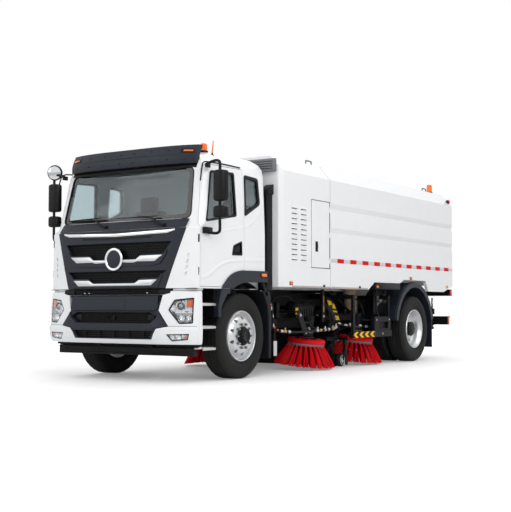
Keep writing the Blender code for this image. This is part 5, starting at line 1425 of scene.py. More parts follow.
# ---------------------------------------------------------------- bumper, lamps and steps

BUMPER = (
    (0.430, 1.058, 1.108),
    (0.440, 1.069, 1.116),
    (0.500, 1.098, 1.122),
    (0.596, 1.109, 1.124),
    (0.614, 1.108, 1.124),
    (0.626, 1.101, 1.122),
    (0.634, 1.090, 1.120),
    (0.850, 1.078, 1.120),
    (1.012, 1.064, 1.114),
    (1.022, 1.060, 1.111),
    (1.029, 1.050, 1.104),
)
BUMPER_MIDDLE = (
    (0.5776, 0.4834), (0.6115, 0.552), (0.6496, 0.6055), (0.7985, 0.6305), (0.6644, 0.810), (0.7085, 0.986)
)
MESH_OPENING = ((0.546, 0.666), (0.637, 0.738), (0.545, 0.788))
LOW_OPENING = ((0.540, 0.497), (0.598, 0.578))
LAMP_OUTLINE = ((1.069, 0.667), (1.070, 0.954), (0.855, 0.931), (0.784, 0.816), (0.922, 0.659))
FOG_OUTLINE = ((1.022, 0.484), (1.040, 0.551), (0.775, 0.545), (0.832, 0.466))


def bumper_level(z):
    """The bumper's outline numbers at a height."""
    for low, high in zip(BUMPER, BUMPER[1:]):
        if z <= high[0]:
            share = max((z - low[0]) / (high[0] - low[0]), 0.0)
            return [a + (b - a) * share for a, b in zip(low, high)]
    return BUMPER[-1]


def bumper_x(y, z):
    """How far forward the bumper lies at a place on it."""
    _, front, half = bumper_level(z)
    return front - 0.150 * min(abs(y) / half, 1.0) ** 5


def centre_x(y, z):
    """The same for the flatter middle panel."""
    return min(bumper_x(y, z), 1.0925)


def bumper_form(inset=0.0, grow=0.0):
    """The bumper's closed form, taken in by an inset and grown at its top and bottom."""
    shares = [
        -1.0, -0.99, -0.975, -0.955, -0.93, -0.90, -0.86, -0.81, -0.75, -0.68, -0.60, -0.48, -0.32, -0.16, 0.0
    ]
    shares = shares + [-s for s in reversed(shares[:-1])]
    rings = []
    for z, front, half in BUMPER:
        if z == BUMPER[0][0]:
            z -= grow
        if z == BUMPER[-1][0]:
            z += grow
        ring = [(front - inset - 0.150 * abs(t) ** 5, (half - inset) * t, z) for t in shares]
        ring += [(0.86 - grow, half - inset, z), (0.86 - grow, inset - half, z)]
        rings.append(ring)
    return loft(rings, "bumper_form")


def ring_on(rows, lift=bumper_x):
    """A closed ring through outlines on a curved face, each at its own distance from the face."""
    count = len(rows[0][1])
    points = [(lift(y, z) + out, y, z) for out, ring in rows for y, z in ring]
    faces = []
    for a in range(len(rows)):
        b = (a + 1) % len(rows)
        for i in range(count):
            j = (i + 1) % count
            faces.append((a * count + i, a * count + j, b * count + j, b * count + i))
    return solid("ring", points, faces)


def sheet_on(outline, out, thick, lift=bumper_x, shares=(1.0, 0.75, 0.5, 0.25, 0.04)):
    """A thin sheet inside an outline on a curved face."""
    centre = sum((Vector(p) for p in outline), Vector((0, 0))) / len(outline)
    rows = []
    for share in shares:
        row = []
        for p in outline:
            y, z = centre + (Vector(p) - centre) * share
            row.append((lift(y, z) + out, y, z))
        rows.append(row)
    count = len(outline)
    points = [p for row in rows for p in row]
    faces = [tuple(range(len(points) - count, len(points)))]
    for level in range(len(rows) - 1):
        for i in range(count):
            j = (i + 1) % count
            faces.append(
                (level * count + i, level * count + j, (level + 1) * count + j, (level + 1) * count + i)
            )
    sheet = solid("sheet", points, faces)
    modifier = sheet.modifiers.new("thick", "SOLIDIFY")
    modifier.thickness = thick
    modifier.offset = 0
    return baked(sheet)


def bumper_shell():
    """The white bumper with its lamp openings and seam."""
    shell = bumper_form()
    cut(shell, bumper_form(0.055, 0.05))
    notch = prism(across(((0.720, 0.987), (0.802, 1.006), (0.802, 1.10))), "x", 0.80, 1.30)
    cut(shell, prism(across(grown(BUMPER_MIDDLE, 0.0)), "x", 0.70, 1.30), notch)
    cut(shell, *both([prism(rounded(grown(LAMP_OUTLINE, 0.001), 0.016, 4), "x", 0.80, 1.30)]))
    cut(shell, *both([prism(rounded(grown(FOG_OUTLINE, 0.001), 0.010, 4), "x", 0.80, 1.30)]))
    bevel(shell, 0.006, 3, 32)
    put(shell, WHITE, "chassis", "bumper_skin", replaces=("bumper_shell",), slot="white_paint", smooth=34)
    # A white filler under the bumper's top, coloured pale grey instead of white: painted shade under the
    # bumper's lip.
    shade_filler = face_band(
        [(0.815, 1.032), (1.090, 1.033)], [(0.815, 1.056), (1.090, 1.060)], -0.120, -0.030, 16, lambda y,
        z: bumper_x(y, 1.0)
    )
    bevel(shade_filler, 0.004, 2, 35)
    put_sides(shade_filler, SILVER_GREY, "chassis", "bumper_top_shade_block", slot="white_paint")
    line = []
    for i in range(25):
        y = 0.640 + 0.470 * i / 24
        line.append((bumper_x(y, 0.640) - 0.0015, y, 0.6335))
    put_sides(bent(line, 0.0035, 6, smooth=0), BLACK_TRIM, "chassis", "bumper_seam", slot="navy_plastic")


def bumper_centre():
    """The dark middle of the bumper with its meshes and blank plate holder."""
    centre = prism(across(grown(BUMPER_MIDDLE, -0.0006)), "x", 0.70, 1.30)
    keep(centre, bumper_form(0.006, 0.02))
    cut(centre, bumper_form(0.050, 0.08))
    cut(centre, prism(across(MESH_OPENING), "x", 0.70, 1.30), prism(across(LOW_OPENING), "x", 0.70, 1.30))
    bevel(centre, 0.005, 3, 35)
    put(centre, NAVY, "chassis", "bumper_middle", replaces=("bumper_centre",), slot="navy_plastic", smooth=40)
    top = face_band(
        mirrored_line(((0.0, 0.806), (0.600, 0.806), (0.652, 0.822))),
        mirrored_line(((0.0, 0.976), (0.672, 0.974), (0.690, 0.968))), -0.010, 0.012, 50, centre_x
    )
    bevel(top, 0.012, 4, 35)
    put(top, NAVY, "chassis", "bumper_band_top", slot="navy_plastic", smooth=45)
    plate = face_band(
        [(-0.270, 0.822), (0.192, 0.822)], [(-0.270, 0.944), (0.192, 0.944)], 0.004, 0.0150, 20, centre_x
    )
    bevel(plate, 0.003, 2, 35)
    put(plate, NAVY, "chassis", "plate_holder", slot="navy_plastic", smooth=45)
    low = face_band(
        mirrored_line(((0.0, 0.604), (0.577, 0.604), (0.640, 0.614), (0.788, 0.636))),
        mirrored_line(((0.0, 0.658), (0.556, 0.660), (0.642, 0.732), (0.664, 0.790), (0.788, 0.640))),
        -0.010,
        0.0105,
        70,
        centre_x,
    )
    bevel(low, 0.009, 3, 35)
    put(low, NAVY, "chassis", "bumper_band_low", slot="navy_plastic", smooth=45)
    ledge = face_band(
        mirrored_line(((0.0, 0.790), (0.548, 0.790), (0.640, 0.745))),
        mirrored_line(((0.0, 0.802), (0.556, 0.802), (0.640, 0.762))), -0.010, 0.008, 50, centre_x
    )
    bevel(ledge, 0.005, 2, 35)
    put(ledge, NAVY, "chassis", "bumper_ledge", slot="navy_plastic", smooth=45)

    def behind(y, z):
        return centre_x(y, z) - 0.030

    def inside(y, z):
        return abs(y) < (0.552 + (z - 0.666) * 1.25 if z < 0.738 else 0.640 - (z - 0.738) * 1.85) - 0.006

    put(
        honeycomb((-0.64, 0.64), (0.672, 0.786), behind, 0.028, 0.007, 0.012, inside), BLACK_TRIM, "chassis",
        "bumper_mesh", slot="navy_plastic", smooth=0
    )
    plates = [
        face_band(
            [(-0.66, 0.650), (0.66, 0.650)], [(-0.66, 0.800), (0.66, 0.800)], -0.062, -0.052, 24, centre_x
        ),
        face_band(
            [(-0.62, 0.470), (0.62, 0.470)], [(-0.62, 0.600), (0.62, 0.600)], -0.070, -0.055, 24, centre_x
        ),
    ]
    put(joined(plates), BLACK_TRIM, "chassis", "bumper_backs", slot="navy_plastic", smooth=30)
    slats = []
    for z in (0.512, 0.534, 0.556):
        slats.append(
            face_band(
                [(-0.575, z), (0.575, z)], [(-0.575, z + 0.007), (0.575, z + 0.007)], -0.052, -0.026, 24,
                centre_x
            )
        )
    for y in (-0.44, -0.22, 0.0, 0.22, 0.44):
        slats.append(box((1.035, 1.066), (y - 0.006, y + 0.006), (0.500, 0.574)))
    put(joined(slats), BLACK_TRIM, "chassis", "low_intake_slats", slot="navy_plastic", smooth=30)
    eyes = []
    for y, z, wide in ((0.004, 0.726, 0.024), (-0.105, 0.732, 0.013)):
        x = centre_x(y, z) - 0.022
        eyes.append(
            turned(
                ((0, 0), (wide, 0), (wide, 0.010), (wide * 0.75, 0.013), (wide * 0.7, 0.008), (0, 0.010)),
                (x, y, z), (1, 0, 0), 32
            )
        )
    for y in (-0.545, 0.545):
        x = centre_x(y, 0.72) - 0.040
        eyes.append(box((x - 0.02, x + 0.014), (y - 0.045, y + 0.045), (0.694, 0.766), 0.006))
    put(joined(eyes), BLACK_TRIM, "chassis", "bumper_sensors", slot="navy_plastic", smooth=45)
    strip_back = box((1.0105, 1.0150), (-0.800, 0.800), (0.960, 1.048))
    put(strip_back, BLACK_TRIM, "chassis", "cowl_strip_back", slot="navy_plastic", smooth=30)
    mesh = honeycomb(
        (-0.62, 0.62), (0.992, 1.045), lambda y, z: 1.026 - 0.02 * (y / 0.8) ** 4, 0.020, 0.006, 0.008
    )
    put(mesh, BLACK_TRIM, "chassis", "cowl_strip_mesh", slot="navy_plastic", smooth=0)
    ends = [box((1.000, 1.030), sorted((s * 0.640, s * 0.800)), (0.985, 1.046), 0.006) for s in (-1, 1)]
    put(joined(ends), BLACK_TRIM, "chassis", "cowl_strip_ends", slot="navy_plastic", smooth=30)
    beads = []
    for y in (0.465, -0.410, -0.478):
        beads.append(
            turned(
                ((0, 0), (0.010, 0), (0.009, 0.006), (0.005, 0.010), (0, 0.011)), (1.024, y, 1.010), (1, 0, 0),
                20
            )
        )
    put(joined(beads), CHROME, "chassis", "washer_jets", slot="silver_rim", smooth=50)


def dish(x, y, z, radius, deep, axis=(1, 0, 0)):
    """A hollow bright reflector with a bulb in it."""
    rows = []
    count = 8
    for i in range(count + 1):
        t = math.pi / 2 * i / count
        rows.append((radius * math.cos(t), -deep * math.sin(t)))
    rows += [
        (0, -deep - 0.004), (radius * 0.75, -deep * 0.7 - 0.004), (radius + 0.003, -0.003),
        (radius + 0.003, 0.0)
    ]
    return turned(rows, (x, y, z), axis, 36)


def headlamps():
    """The headlamps: reflectors, lenses, indicator and cover glass."""
    rim = rounded(LAMP_OUTLINE, 0.016, 4)
    inner = rounded(grown(LAMP_OUTLINE, -0.013), 0.010, 4)
    deep = rounded(grown(LAMP_OUTLINE, -0.024), 0.008, 4)
    put_sides(
        ring_on(
            (
                (-0.048, rim), (-0.006, rim), (-0.002, rounded(grown(LAMP_OUTLINE, -0.004), 0.015, 4)),
                (-0.004, inner), (-0.052, inner)
            )
        ),
        BLACK_TRIM, "chassis", "headlamp_border", slot="navy_plastic", smooth=45
    )
    bowl = ring_on(((-0.012, inner), (-0.034, deep), (-0.060, deep), (-0.060, inner)))
    back = sheet_on(deep, -0.052, 0.004)
    facets = []
    for i in range(7):
        y = 0.820 + 0.036 * i
        top = 0.925 if y > 0.86 else 0.86 + (y - 0.82)
        low = 0.790 if y > 0.83 else 0.81
        x = bumper_x(y, 0.86) - 0.050
        facets.append(prism(((x, y - 0.017), (x + 0.014, y), (x, y + 0.017)), "z", low, top))
    for i in range(4):
        z = 0.682 + 0.022 * i
        y0, y1 = 0.915 - 0.055 * i * 0.9, 1.052
        rows = []
        for k in range(9):
            y = y0 + (y1 - y0) * k / 8
            x = bumper_x(y, z) - 0.050
            rows.append([(x, y, z - 0.009), (x + 0.015, y, z), (x, y, z + 0.009)])
        facets.append(loft(rows))
    put_sides(
        joined([bowl, back, *facets]), REFLECTOR, "chassis", "headlamp_bowl", replaces=("headlamp_left",),
        slot="lamp_clear", smooth=25
    )
    dishes = []
    for y, z, radius in ((0.842, 0.838, 0.034), (0.945, 0.725, 0.036), (1.018, 0.722, 0.030)):
        dishes.append(dish(bumper_x(y, z) - 0.016, y, z, radius, 0.030))
    put_sides(joined(dishes), CHROME, "chassis", "headlamp_dishes", slot="lamp_clear", smooth=60)
    x = bumper_x(0.921, 0.861)
    ring = turned(
        ((0.033, -0.036), (0.045, -0.036), (0.045, -0.018), (0.041, -0.010), (0.035, -0.010), (0.033, -0.016)),
        (x, 0.921, 0.861), (1, 0, 0), 48
    )
    dark = [ring]
    split = []
    for k in range(13):
        y = 0.806 + 0.248 * k / 12
        at = bumper_x(y, 0.773) - 0.012
        split.append([(at - 0.035, y, 0.768), (at, y, 0.769), (at, y, 0.777), (at - 0.035, y, 0.778)])
    dark.append(loft(split))
    at = bumper_x(1.045, 0.738)
    dark.append(rod((at - 0.040, 1.042, 0.738), (at - 0.012, 1.042, 0.738), 0.009, 20))
    at = bumper_x(0.985, 0.790)
    dark.append(rod((at - 0.040, 0.985, 0.796), (at - 0.012, 0.985, 0.796), 0.006, 16))
    put_sides(joined(dark), GREY, "chassis", "headlamp_rings", slot="navy_plastic", smooth=45)
    dome = turned(
        [(0, -0.034), (0.033, -0.034)] + [
            (0.0332 * math.cos(t), -0.030 + 0.020 * math.sin(t))
            for t in [math.pi / 2 * i / 8 for i in range(9)]
        ][:-1] + [(0, -0.010)],
        (x, 0.921, 0.861), (1, 0, 0), 40
    )
    put_sides(dome, PROJECTOR, "chassis", "headlamp_projector", slot="lamp_clear", smooth=60)
    amber = []
    for k in range(6):
        y = 0.988 + 0.0125 * k
        at = bumper_x(y + 0.006, 0.885) - 0.014
        amber.append(box((at - 0.016, at), (y, y + 0.0115), (0.843, 0.924 if k else 0.918), 0.003))
    put_sides(joined(amber), AMBER, "chassis", "headlamp_indicator")
    cover = sheet_on(rounded(grown(LAMP_OUTLINE, -0.011), 0.011, 6), -0.0045, 0.002)
    put_sides(cover, LENS, "chassis", "headlamp_cover", slot="window_glass", smooth=60)


def fog_lamps():
    """The lamps low in the bumper."""
    rim = rounded(FOG_OUTLINE, 0.010, 4)
    inner = rounded(grown(FOG_OUTLINE, -0.008), 0.007, 4)
    put_sides(
        ring_on(((-0.040, rim), (-0.006, rim), (-0.003, inner), (-0.042, inner))), BLACK_TRIM, "chassis",
        "fog_border", slot="navy_plastic", smooth=45
    )
    pieces = [
        ring_on(((-0.012, inner), (-0.036, rounded(grown(FOG_OUTLINE, -0.014), 0.004, 4)), (-0.050, inner))),
        sheet_on(inner, -0.040, 0.004)
    ]
    for y, z, radius in ((0.852, 0.508, 0.022), (0.925, 0.512, 0.027)):
        pieces.append(dish(bumper_x(y, z) - 0.012, y, z, radius, 0.020))
    for k in range(4):
        y = 0.965 + 0.014 * k
        at = bumper_x(y, 0.515) - 0.034
        pieces.append(prism(((at, y - 0.006), (at + 0.012, y), (at, y + 0.006)), "z", 0.492, 0.538))
    put_sides(joined(pieces), REFLECTOR, "chassis", "fog_reflector", slot="lamp_clear", smooth=40)
    at = bumper_x(1.005, 0.52)
    put_sides(
        box((at - 0.030, at - 0.010), (0.992, 1.018), (0.505, 0.535), 0.004), AMBER, "chassis", "fog_indicator"
    )
    put_sides(
        sheet_on(rounded(grown(FOG_OUTLINE, -0.007), 0.008, 4), -0.0045, 0.002), LENS, "chassis", "fog_cover",
        slot="window_glass", smooth=60
    )


def under_run():
    """The black bar below the bumper, with a black sheet behind it that paints the shade under the bumper."""
    profile = (
        (0.800, 0.295), (0.884, 0.295), (0.890, 0.301), (0.890, 0.318), (0.884, 0.322), (0.884, 0.384),
        (0.878, 0.390), (0.800, 0.390)
    )
    bar = prism(profile, "y", -1.006, 1.006)
    caps = [box((0.802, 0.889), sorted((s * 1.004, s * 1.0125)), (0.297, 0.389), 0.006) for s in (-1, 1)]
    bevel(bar, 0.002, 2, 30)
    hangers = both(
        [
            box((0.810, 0.880), (0.360, 0.420), (0.380, TYRE_RADIUS + 0.2335), 0.004),
            box((0.812, 0.878), (0.300, 0.360), (0.386, 0.396))
        ]
    )
    # The first sheet, upright behind the bar, is painted shade: it darkens the gap between the bumper and the
    # bar.
    panels = [
        box((0.835, 0.850), (-0.985, 0.985), (0.386, 0.640)), box((0.870, 1.015), (-0.60, 0.60), (0.560, 0.566))
    ]
    bolts = []
    for y in (-0.90, -0.39, 0.39, 0.90):
        bolts.append(rod((0.880, y, 0.352), (0.8905, y, 0.352), 0.011, 6, edge=0.001))
    put(
        joined([bar, *caps, *hangers, *panels, *bolts]), BLACK, "chassis", "under_run_bar", slot="black_steel",
        smooth=35
    )


def steps():
    """The cab's steps and the guard in front of the wheel."""
    treads = []
    for top, front in ((0.893, 0.820), (0.634, 0.820), (0.390, 0.793)):
        profile = (
            (0.722, top - 0.012), (1.066, top - 0.012), (1.074, top - 0.030), (1.083, top - 0.030),
            (1.085, top - 0.008), (1.080, top - 0.001), (0.722, top - 0.001)
        )
        slab = prism(profile, "x", 0.547, front)
        bevel(slab, 0.003, 2, 35)
        treads.append(slab)
        for k in range(6):
            y = 0.775 + 0.052 * k
            treads.append(box((0.556, front - 0.010), (y, y + 0.022), (top - 0.002, top + 0.003), 0.001))
    put_sides(joined(treads), ALLOY, "chassis", "step_treads", slot="silver_rim", smooth=35)
    gusset = [
        prism(((0.793, 0.388), (0.830, 0.388), (0.830, 0.440)), "y", 1.040, 1.058),
        box((0.793, 0.870), (0.940, 1.060), (0.378, 0.388), 0.002),
    ]
    put_sides(joined(gusset), WHITE, "chassis", "step_gusset", slot="white_paint", smooth=35)
    plates = [
        box((0.545, 0.790), (0.700, 0.719), (0.365, 1.040), 0.004),
        box((0.802, 0.830), (0.702, 1.058), (0.395, 1.040), 0.005)
    ]
    for k in range(4):
        x = 0.575 + 0.058 * k
        plates.append(box((x, x + 0.014), (0.717, 0.730), (0.400, 1.030), 0.004))
    for z in (0.690, 0.780, 0.945):
        plates.append(box((0.560, 0.785), (0.718, 0.727), (z, z + 0.012), 0.003))
    plates.append(box((0.640, 0.760), (0.4303, 0.720), (TYRE_RADIUS + 0.274, TYRE_RADIUS + 0.354)))
    plates.append(box((0.834, 0.858), (0.560, 1.074), (0.400, 1.050)))
    plates.append(bent(((0.70, 0.722, 1.035), (0.69, 0.735, 0.98), (0.705, 0.735, 0.90)), 0.006, 8))
    for z in (0.609, 0.868):
        plates.append(bevel(prism(((0.735, z), (1.050, z), (0.735, z - 0.075)), "x", 0.556, 0.566), 0.002))
    put_sides(
        joined(plates), BLACK, "chassis", "step_frame", replaces=("cab_steps_left",), slot="black_steel",
        smooth=35
    )
    guard = prism(
        (
            (0.498, 0.735), (0.502, 0.800), (0.492, 0.850), (0.470, 0.880), (0.446, 0.910), (0.410, 0.955),
            (0.372, 0.996), (0.320, 1.033), (0.285, 1.0525), (0.482, 1.0525), (0.510, 1.000), (0.528, 0.955),
            (0.541, 0.909), (0.551, 0.860), (0.557, 0.810), (0.557, 0.735)
        ),
        "y", 1.056, 1.129
    )
    bevel(guard, 0.012, 4, 35)
    inner_guard = bevel(
        prism(
            ((0.498, 0.735), (0.446, 0.910), (0.372, 0.996), (0.400, 1.045), (0.540, 1.045), (0.545, 0.735)),
            "y", 0.702, 1.055
        ),
        0.006
    )
    put_sides(inner_guard, BLACK_TRIM, "chassis", "step_guard_inner", slot="navy_plastic", smooth=45)
    put_sides(guard, NAVY, "chassis", "step_guard", slot="navy_plastic", smooth=45)
    lamp = box((0.60, 0.66), (0.728, 0.742), (0.552, 0.572), 0.003)
    put_sides(lamp, SILVER_GREY, "chassis", "step_lamp", slot="silver_rim", smooth=35)


def liners():
    """Black covers under the cab's floor and inside its wheel arches."""
    pieces = []
    rows = []
    for a in range(61, 120, 3):
        turn = math.radians(a)
        ring = []
        for radius, y in ((0.6120, 0.470), (0.6120, 1.096), (0.6185, 1.096), (0.6185, 0.470)):
            ring.append((radius * math.cos(turn), y, TYRE_RADIUS + (radius + 0.025) * math.sin(turn)))
        rows.append(ring)
    pieces.append(loft(rows))
    wall = [
        (0.60 * math.cos(math.radians(a)), TYRE_RADIUS + 0.625 * math.sin(math.radians(a)))
        for a in range(62, 119, 4)
    ]
    pieces.append(prism(wall + [(-0.42, 1.064), (0.42, 1.064)], "y", 0.462, 0.468))
    pieces.append(box((0.600, 0.965), (0.526, 1.085), (1.0530, 1.0590)))
    pieces.append(box((-0.492, -0.330), (0.490, 0.970), (1.0530, 1.0590)))
    pieces.append(box((-0.4955, -0.120), (0.955, 1.108), (1.1490, 1.1540)))
    pieces.append(box((-0.4955, -0.120), (0.9650, 0.9730), (1.0640, 1.1540)))
    put_sides(joined(pieces), BLACK_TRIM, "cab", "arch_liner", slot="navy_plastic", smooth=40)
    put(
        joined(
            [
                box((0.600, 0.965), (-0.462, 0.462), (1.0530, 1.0590)),
                box((-0.495, 0.575), (-0.405, 0.405), (1.3560, 1.3680))
            ]
        ),
        BLACK_TRIM, "cab", "floor_liner", slot="navy_plastic", smooth=30
    )


bumper_shell()
bumper_centre()
headlamps()
fog_lamps()
under_run()
steps()
liners()


# ---------------------------------------------------------------- sweeper body

# The body: half width, lower edge, floor, where its sides end, its roof, and the front module along X.
HALF = 1.230
BOTTOM_Z = 1.095
BODY_FLOOR_Z = 1.270
SIDE_TOP_Z = 2.555
ROOF_Y = 1.060
ROOF_Z = 2.750
MODULE_X = (-1.905, -0.664)


def section(inset, bottom):
    """The body's outline across, without its side channels."""
    return across(
        (
            (HALF - inset, bottom), (HALF - inset, SIDE_TOP_Z - inset * 0.5),
            (ROOF_Y - inset * 0.5, ROOF_Z - inset)
        )
    )


def module_shell():
    """The front module, softened before its slots and doorways are cut, so that its flat sides stay clean."""
    shell = prism(section(0, BOTTOM_Z), "x", *MODULE_X)
    front = MODULE_X[1]
    corner = prism(
        ((front + 0.01, HALF - 0.066), (front + 0.10, HALF + 0.10), (front - 0.066, HALF + 0.01)), "z", 1.0,
        2.95
    )
    cut(shell, *both([corner]))
    bevel(shell, 0.010, 3, 20)
    cut(shell, prism(section(0.050, BODY_FLOOR_Z + 0.04), "x", MODULE_X[0] + 0.050, front - 0.050))
    cut(
        shell,
        box((MODULE_X[0] - 0.1, front - 0.06), (-HALF + 0.05, HALF - 0.05), (BOTTOM_Z - 0.1, BODY_FLOOR_Z))
    )
    low, high = BOTTOM_Z + 0.268, SIDE_TOP_Z - 0.310
    cut(shell, *both([box((-1.893, -1.392), (HALF - 0.0353, HALF + 0.2), (low - 0.008, high + 0.008))]))
    cut(shell, *both([box((-1.860, -1.425), (HALF - 0.2, HALF + 0.2), (low + 0.025, high - 0.025))]))
    slots = []
    step = (SIDE_TOP_Z - 0.465 - BOTTOM_Z - 0.345) / 10
    for x0, x1 in ((-1.037, -0.896), (-1.270, -1.127)):
        for row in range(11):
            z = BOTTOM_Z + 0.345 + row * step
            slots.append(box((x0, x1), (HALF - 0.2, HALF + 0.2), (z, z + step * 0.34)))
    cut(shell, *both(slots))
    fuse(
        shell,
        *both([box((MODULE_X[0], front - 0.02), (0.355, 0.425), (TYRE_RADIUS + 0.4793, BODY_FLOOR_Z + 0.01))])
    )
    return shell


def body_shells():
    """The front module, hopper, tailgate, cooler, bay doors and intake."""
    put(
        module_shell(), WHITE, "chassis", "module_shell", replaces=("front_body_module",), slot="white_paint",
        smooth=30
    )
    hopper = from_node("hopper", 0.005)
    cut(hopper, *both([box((-6.090, -5.950), (0.830, 0.970), (2.792, 3.000))]))
    # the pressed channels' upper slopes are softer than the plain solid's
    slopes = []
    for top, low in ((SIDE_TOP_Z - 0.324, SIDE_TOP_Z - 0.470), (SIDE_TOP_Z - 0.645, SIDE_TOP_Z - 0.785)):
        y = HALF - 0.024 * (low + 0.0805 - low) / (top - 0.006 - low)
        slopes.append(
            prism(
                ((HALF - 0.0001, top), (y, low + 0.0805), (1.195, low + 0.0805), (1.195, top + 0.010)), "x",
                -6.1999, -1.9151
            )
        )
    fuse(hopper, *both(slopes))
    put(hopper, WHITE, "hopper", "hopper_shell", replaces=("hopper",), slot="white_paint")
    gate = from_node("tailgate", 0.006)
    put(gate, WHITE, "tailgate", "tailgate_shell", replaces=("tailgate",), slot="white_paint")
    cooler = from_node("cooler_panel", 0.003)
    put(cooler, GREY, "chassis", "cooler_frame", replaces=("cooler_panel",), slot="engine_grey")
    for side in SIDES:
        door = from_node("compartment_door_" + side, 0.006)
        put(
            door, WHITE, "compartment_door_" + side, "bay_door_" + side, replaces=("compartment_door_" + side,),
            slot="white_paint"
        )
    put(
        from_node("air_intake", 0.004), BLACK_TRIM, "chassis", "intake_stack", replaces=("air_intake",),
        slot="navy_plastic"
    )
    # dark lining over the body's underside
    lining = [
        box(
            (MODULE_X[0] + 0.004, MODULE_X[1] - 0.066), (0.432, HALF - 0.052),
            (BODY_FLOOR_Z - 0.006, BODY_FLOOR_Z - 0.001)
        )
    ]
    lining.append(
        box(
            (MODULE_X[0] + 0.004, MODULE_X[1] - 0.066), (HALF - 0.056, HALF - 0.0505),
            (BOTTOM_Z + 0.001, BODY_FLOOR_Z - 0.001)
        )
    )
    put_sides(joined(lining), BLACK, "chassis", "module_lining", slot="black_steel", smooth=30)
    # Grey strips along the lower edges of the module and hopper sides: painted shade of the sides' inward bend.
    edge_shade = box((-1.903, -0.905), (HALF - 0.0005, HALF + 0.0012), (BOTTOM_Z + 0.001, BOTTOM_Z + 0.024), 0.0006)
    put_sides(edge_shade, EDGE_SHADE, "chassis", "module_edge_shade", slot="white_paint", smooth=30)
    edge_shade = box((-3.020, -1.917), (HALF - 0.0005, HALF + 0.0012), (BOTTOM_Z + 0.001, BOTTOM_Z + 0.024), 0.0006)
    put_sides(edge_shade, EDGE_SHADE, "hopper", "hopper_edge_shade", slot="white_paint", smooth=30)


def louvres():
    """Pressed hoods over the slots, and a dark mesh behind them."""
    hoods = []
    step = (SIDE_TOP_Z - 0.465 - BOTTOM_Z - 0.345) / 10
    for front, rear in ((-0.896, -1.037), (-1.127, -1.270)):
        for row in range(11):
            z = BOTTOM_Z + 0.345 + row * step
            rows = []
            for lift, out in (
                (0.036, 0.0005), (0.032, 0.006), (0.022, 0.011), (0.012, 0.013), (0.010, 0.0115),
                (0.021, 0.009), (0.030, 0.004), (0.034, -0.002)
            ):
                line = []
                for share in (0.0, 0.06, 0.14, 0.5, 0.86, 0.94, 1.0):
                    swell = min(
                        1.0,
                        math.sin(
                            math.pi * min(share, 1 - share) / 0.30
                        ) if min(share, 1 - share) < 0.15 else 1.0
                    )
                    x = front + 0.004 + (rear - front - 0.008) * share
                    line.append(
                        (x, HALF + out * swell if out > 0.001 else HALF + out, z + lift + (1 - swell) * 0.002)
                    )
                rows.append(line)
            hoods.append(strip(rows, "hood"))
    put_sides(joined(hoods), WHITE, "chassis", "louvre_hoods", slot="white_paint", smooth=60)
    screen = box((-1.300, -0.866), (HALF - 0.062, HALF - 0.054), (1.400, 2.150), 0.002)
    put_sides(screen, BLACK_TRIM, "chassis", "louvre_mesh", slot="navy_plastic")


def bay_door_fittings():
    """Hinges, latch and seal of the side doors."""
    x0, x1, z0, z1 = -1.885, -1.400, BOTTOM_Z + 0.268, SIDE_TOP_Z - 0.310
    plate = box((-1.568, -1.502), (HALF - 0.001, HALF + 0.003), (1.572, 1.708), 0.003)
    grip = prism(
        [
            (-1.535 + 0.024 * math.cos(t), 1.640 + 0.058 * math.sin(t))
            for t in [math.pi * 2 * i / 28 for i in range(28)]
        ],
        "y",
        HALF + 0.001,
        HALF + 0.012,
    )
    bevel(grip, 0.005, 3)
    lock = rod((-1.535, HALF + 0.005, 1.668), (-1.535, HALF + 0.016, 1.668), 0.009, 20, edge=0.002)
    put_sides(
        joined([plate, grip, lock]), BLACK_TRIM, "compartment_door_left", "bay_door_handle", slot="navy_plastic"
    )
    hinges = []
    for z in (z0 + 0.10, (z0 + z1) / 2, z1 - 0.10):
        hinges.append(
            rod(
                (x0 + 0.004, HALF + 0.006, z - 0.035), (x0 + 0.004, HALF + 0.006, z + 0.035), 0.006, 12,
                edge=0.001
            )
        )
        hinges.append(
            box((x0 + 0.003, x0 + 0.030), (HALF - 0.001, HALF + 0.003), (z - 0.033, z + 0.033), 0.001)
        )
    put_sides(joined(hinges), WHITE, "compartment_door_left", "bay_door_hinges", slot="white_paint")
    seal = bent(
        (
            (x1 + 0.004, HALF - 0.002, z0 - 0.004), (x1 + 0.004, HALF - 0.002, z1 + 0.004),
            (x0 - 0.004, HALF - 0.002, z1 + 0.004), (x0 - 0.004, HALF - 0.002, z0 - 0.004),
            (x1 + 0.004, HALF - 0.002, z0 - 0.004)
        ),
        0.0035,
        6,
        smooth=0,
    )
    put_sides(seal, BLACK_TRIM, "chassis", "bay_door_seal", slot="navy_plastic")


TAPE_Z = (1.442, 1.500)
TAPE_BLOCKS = 11


def tape():
    """A strip of red and silver reflecting film along the side."""
    red, pale = [], []
    pitch = -0.3735
    for i in range(TAPE_BLOCKS):
        x = -2.105 + pitch * i
        red.append(box((x - 0.188, x), (HALF - 0.001, HALF + 0.0016), TAPE_Z, 0.0006))
        pale.append(
            box(
                (x + 0.004, min(x + 0.1815, -1.925)), (HALF - 0.001, HALF + 0.0012),
                (TAPE_Z[0] + 0.003, TAPE_Z[1] - 0.003), 0.0005
            )
        )
    pale.append(
        box(
            (-6.185, -2.105 + pitch * 10 - 0.192), (HALF - 0.001, HALF + 0.0012),
            (TAPE_Z[0] + 0.003, TAPE_Z[1] - 0.003), 0.0005
        )
    )
    put_sides(joined(red), TAPE_RED, "hopper", "tape_red", slot="white_paint")
    put_sides(joined(pale), TAPE_SILVER, "hopper", "tape_silver", slot="white_paint")


def marker(x, y, z, wide=0.060, tall=0.030, deep=0.016):
    """An amber side lamp on a black base."""
    base = box(
        (x - wide * 0.62, x + wide * 0.62), (y - 0.001, y + 0.006), (z - tall * 0.75, z + tall * 0.75), 0.003
    )
    lens = box((x - wide / 2, x + wide / 2), (y + 0.004, y + deep), (z - tall / 2, z + tall / 2), 0.006)
    return base, lens


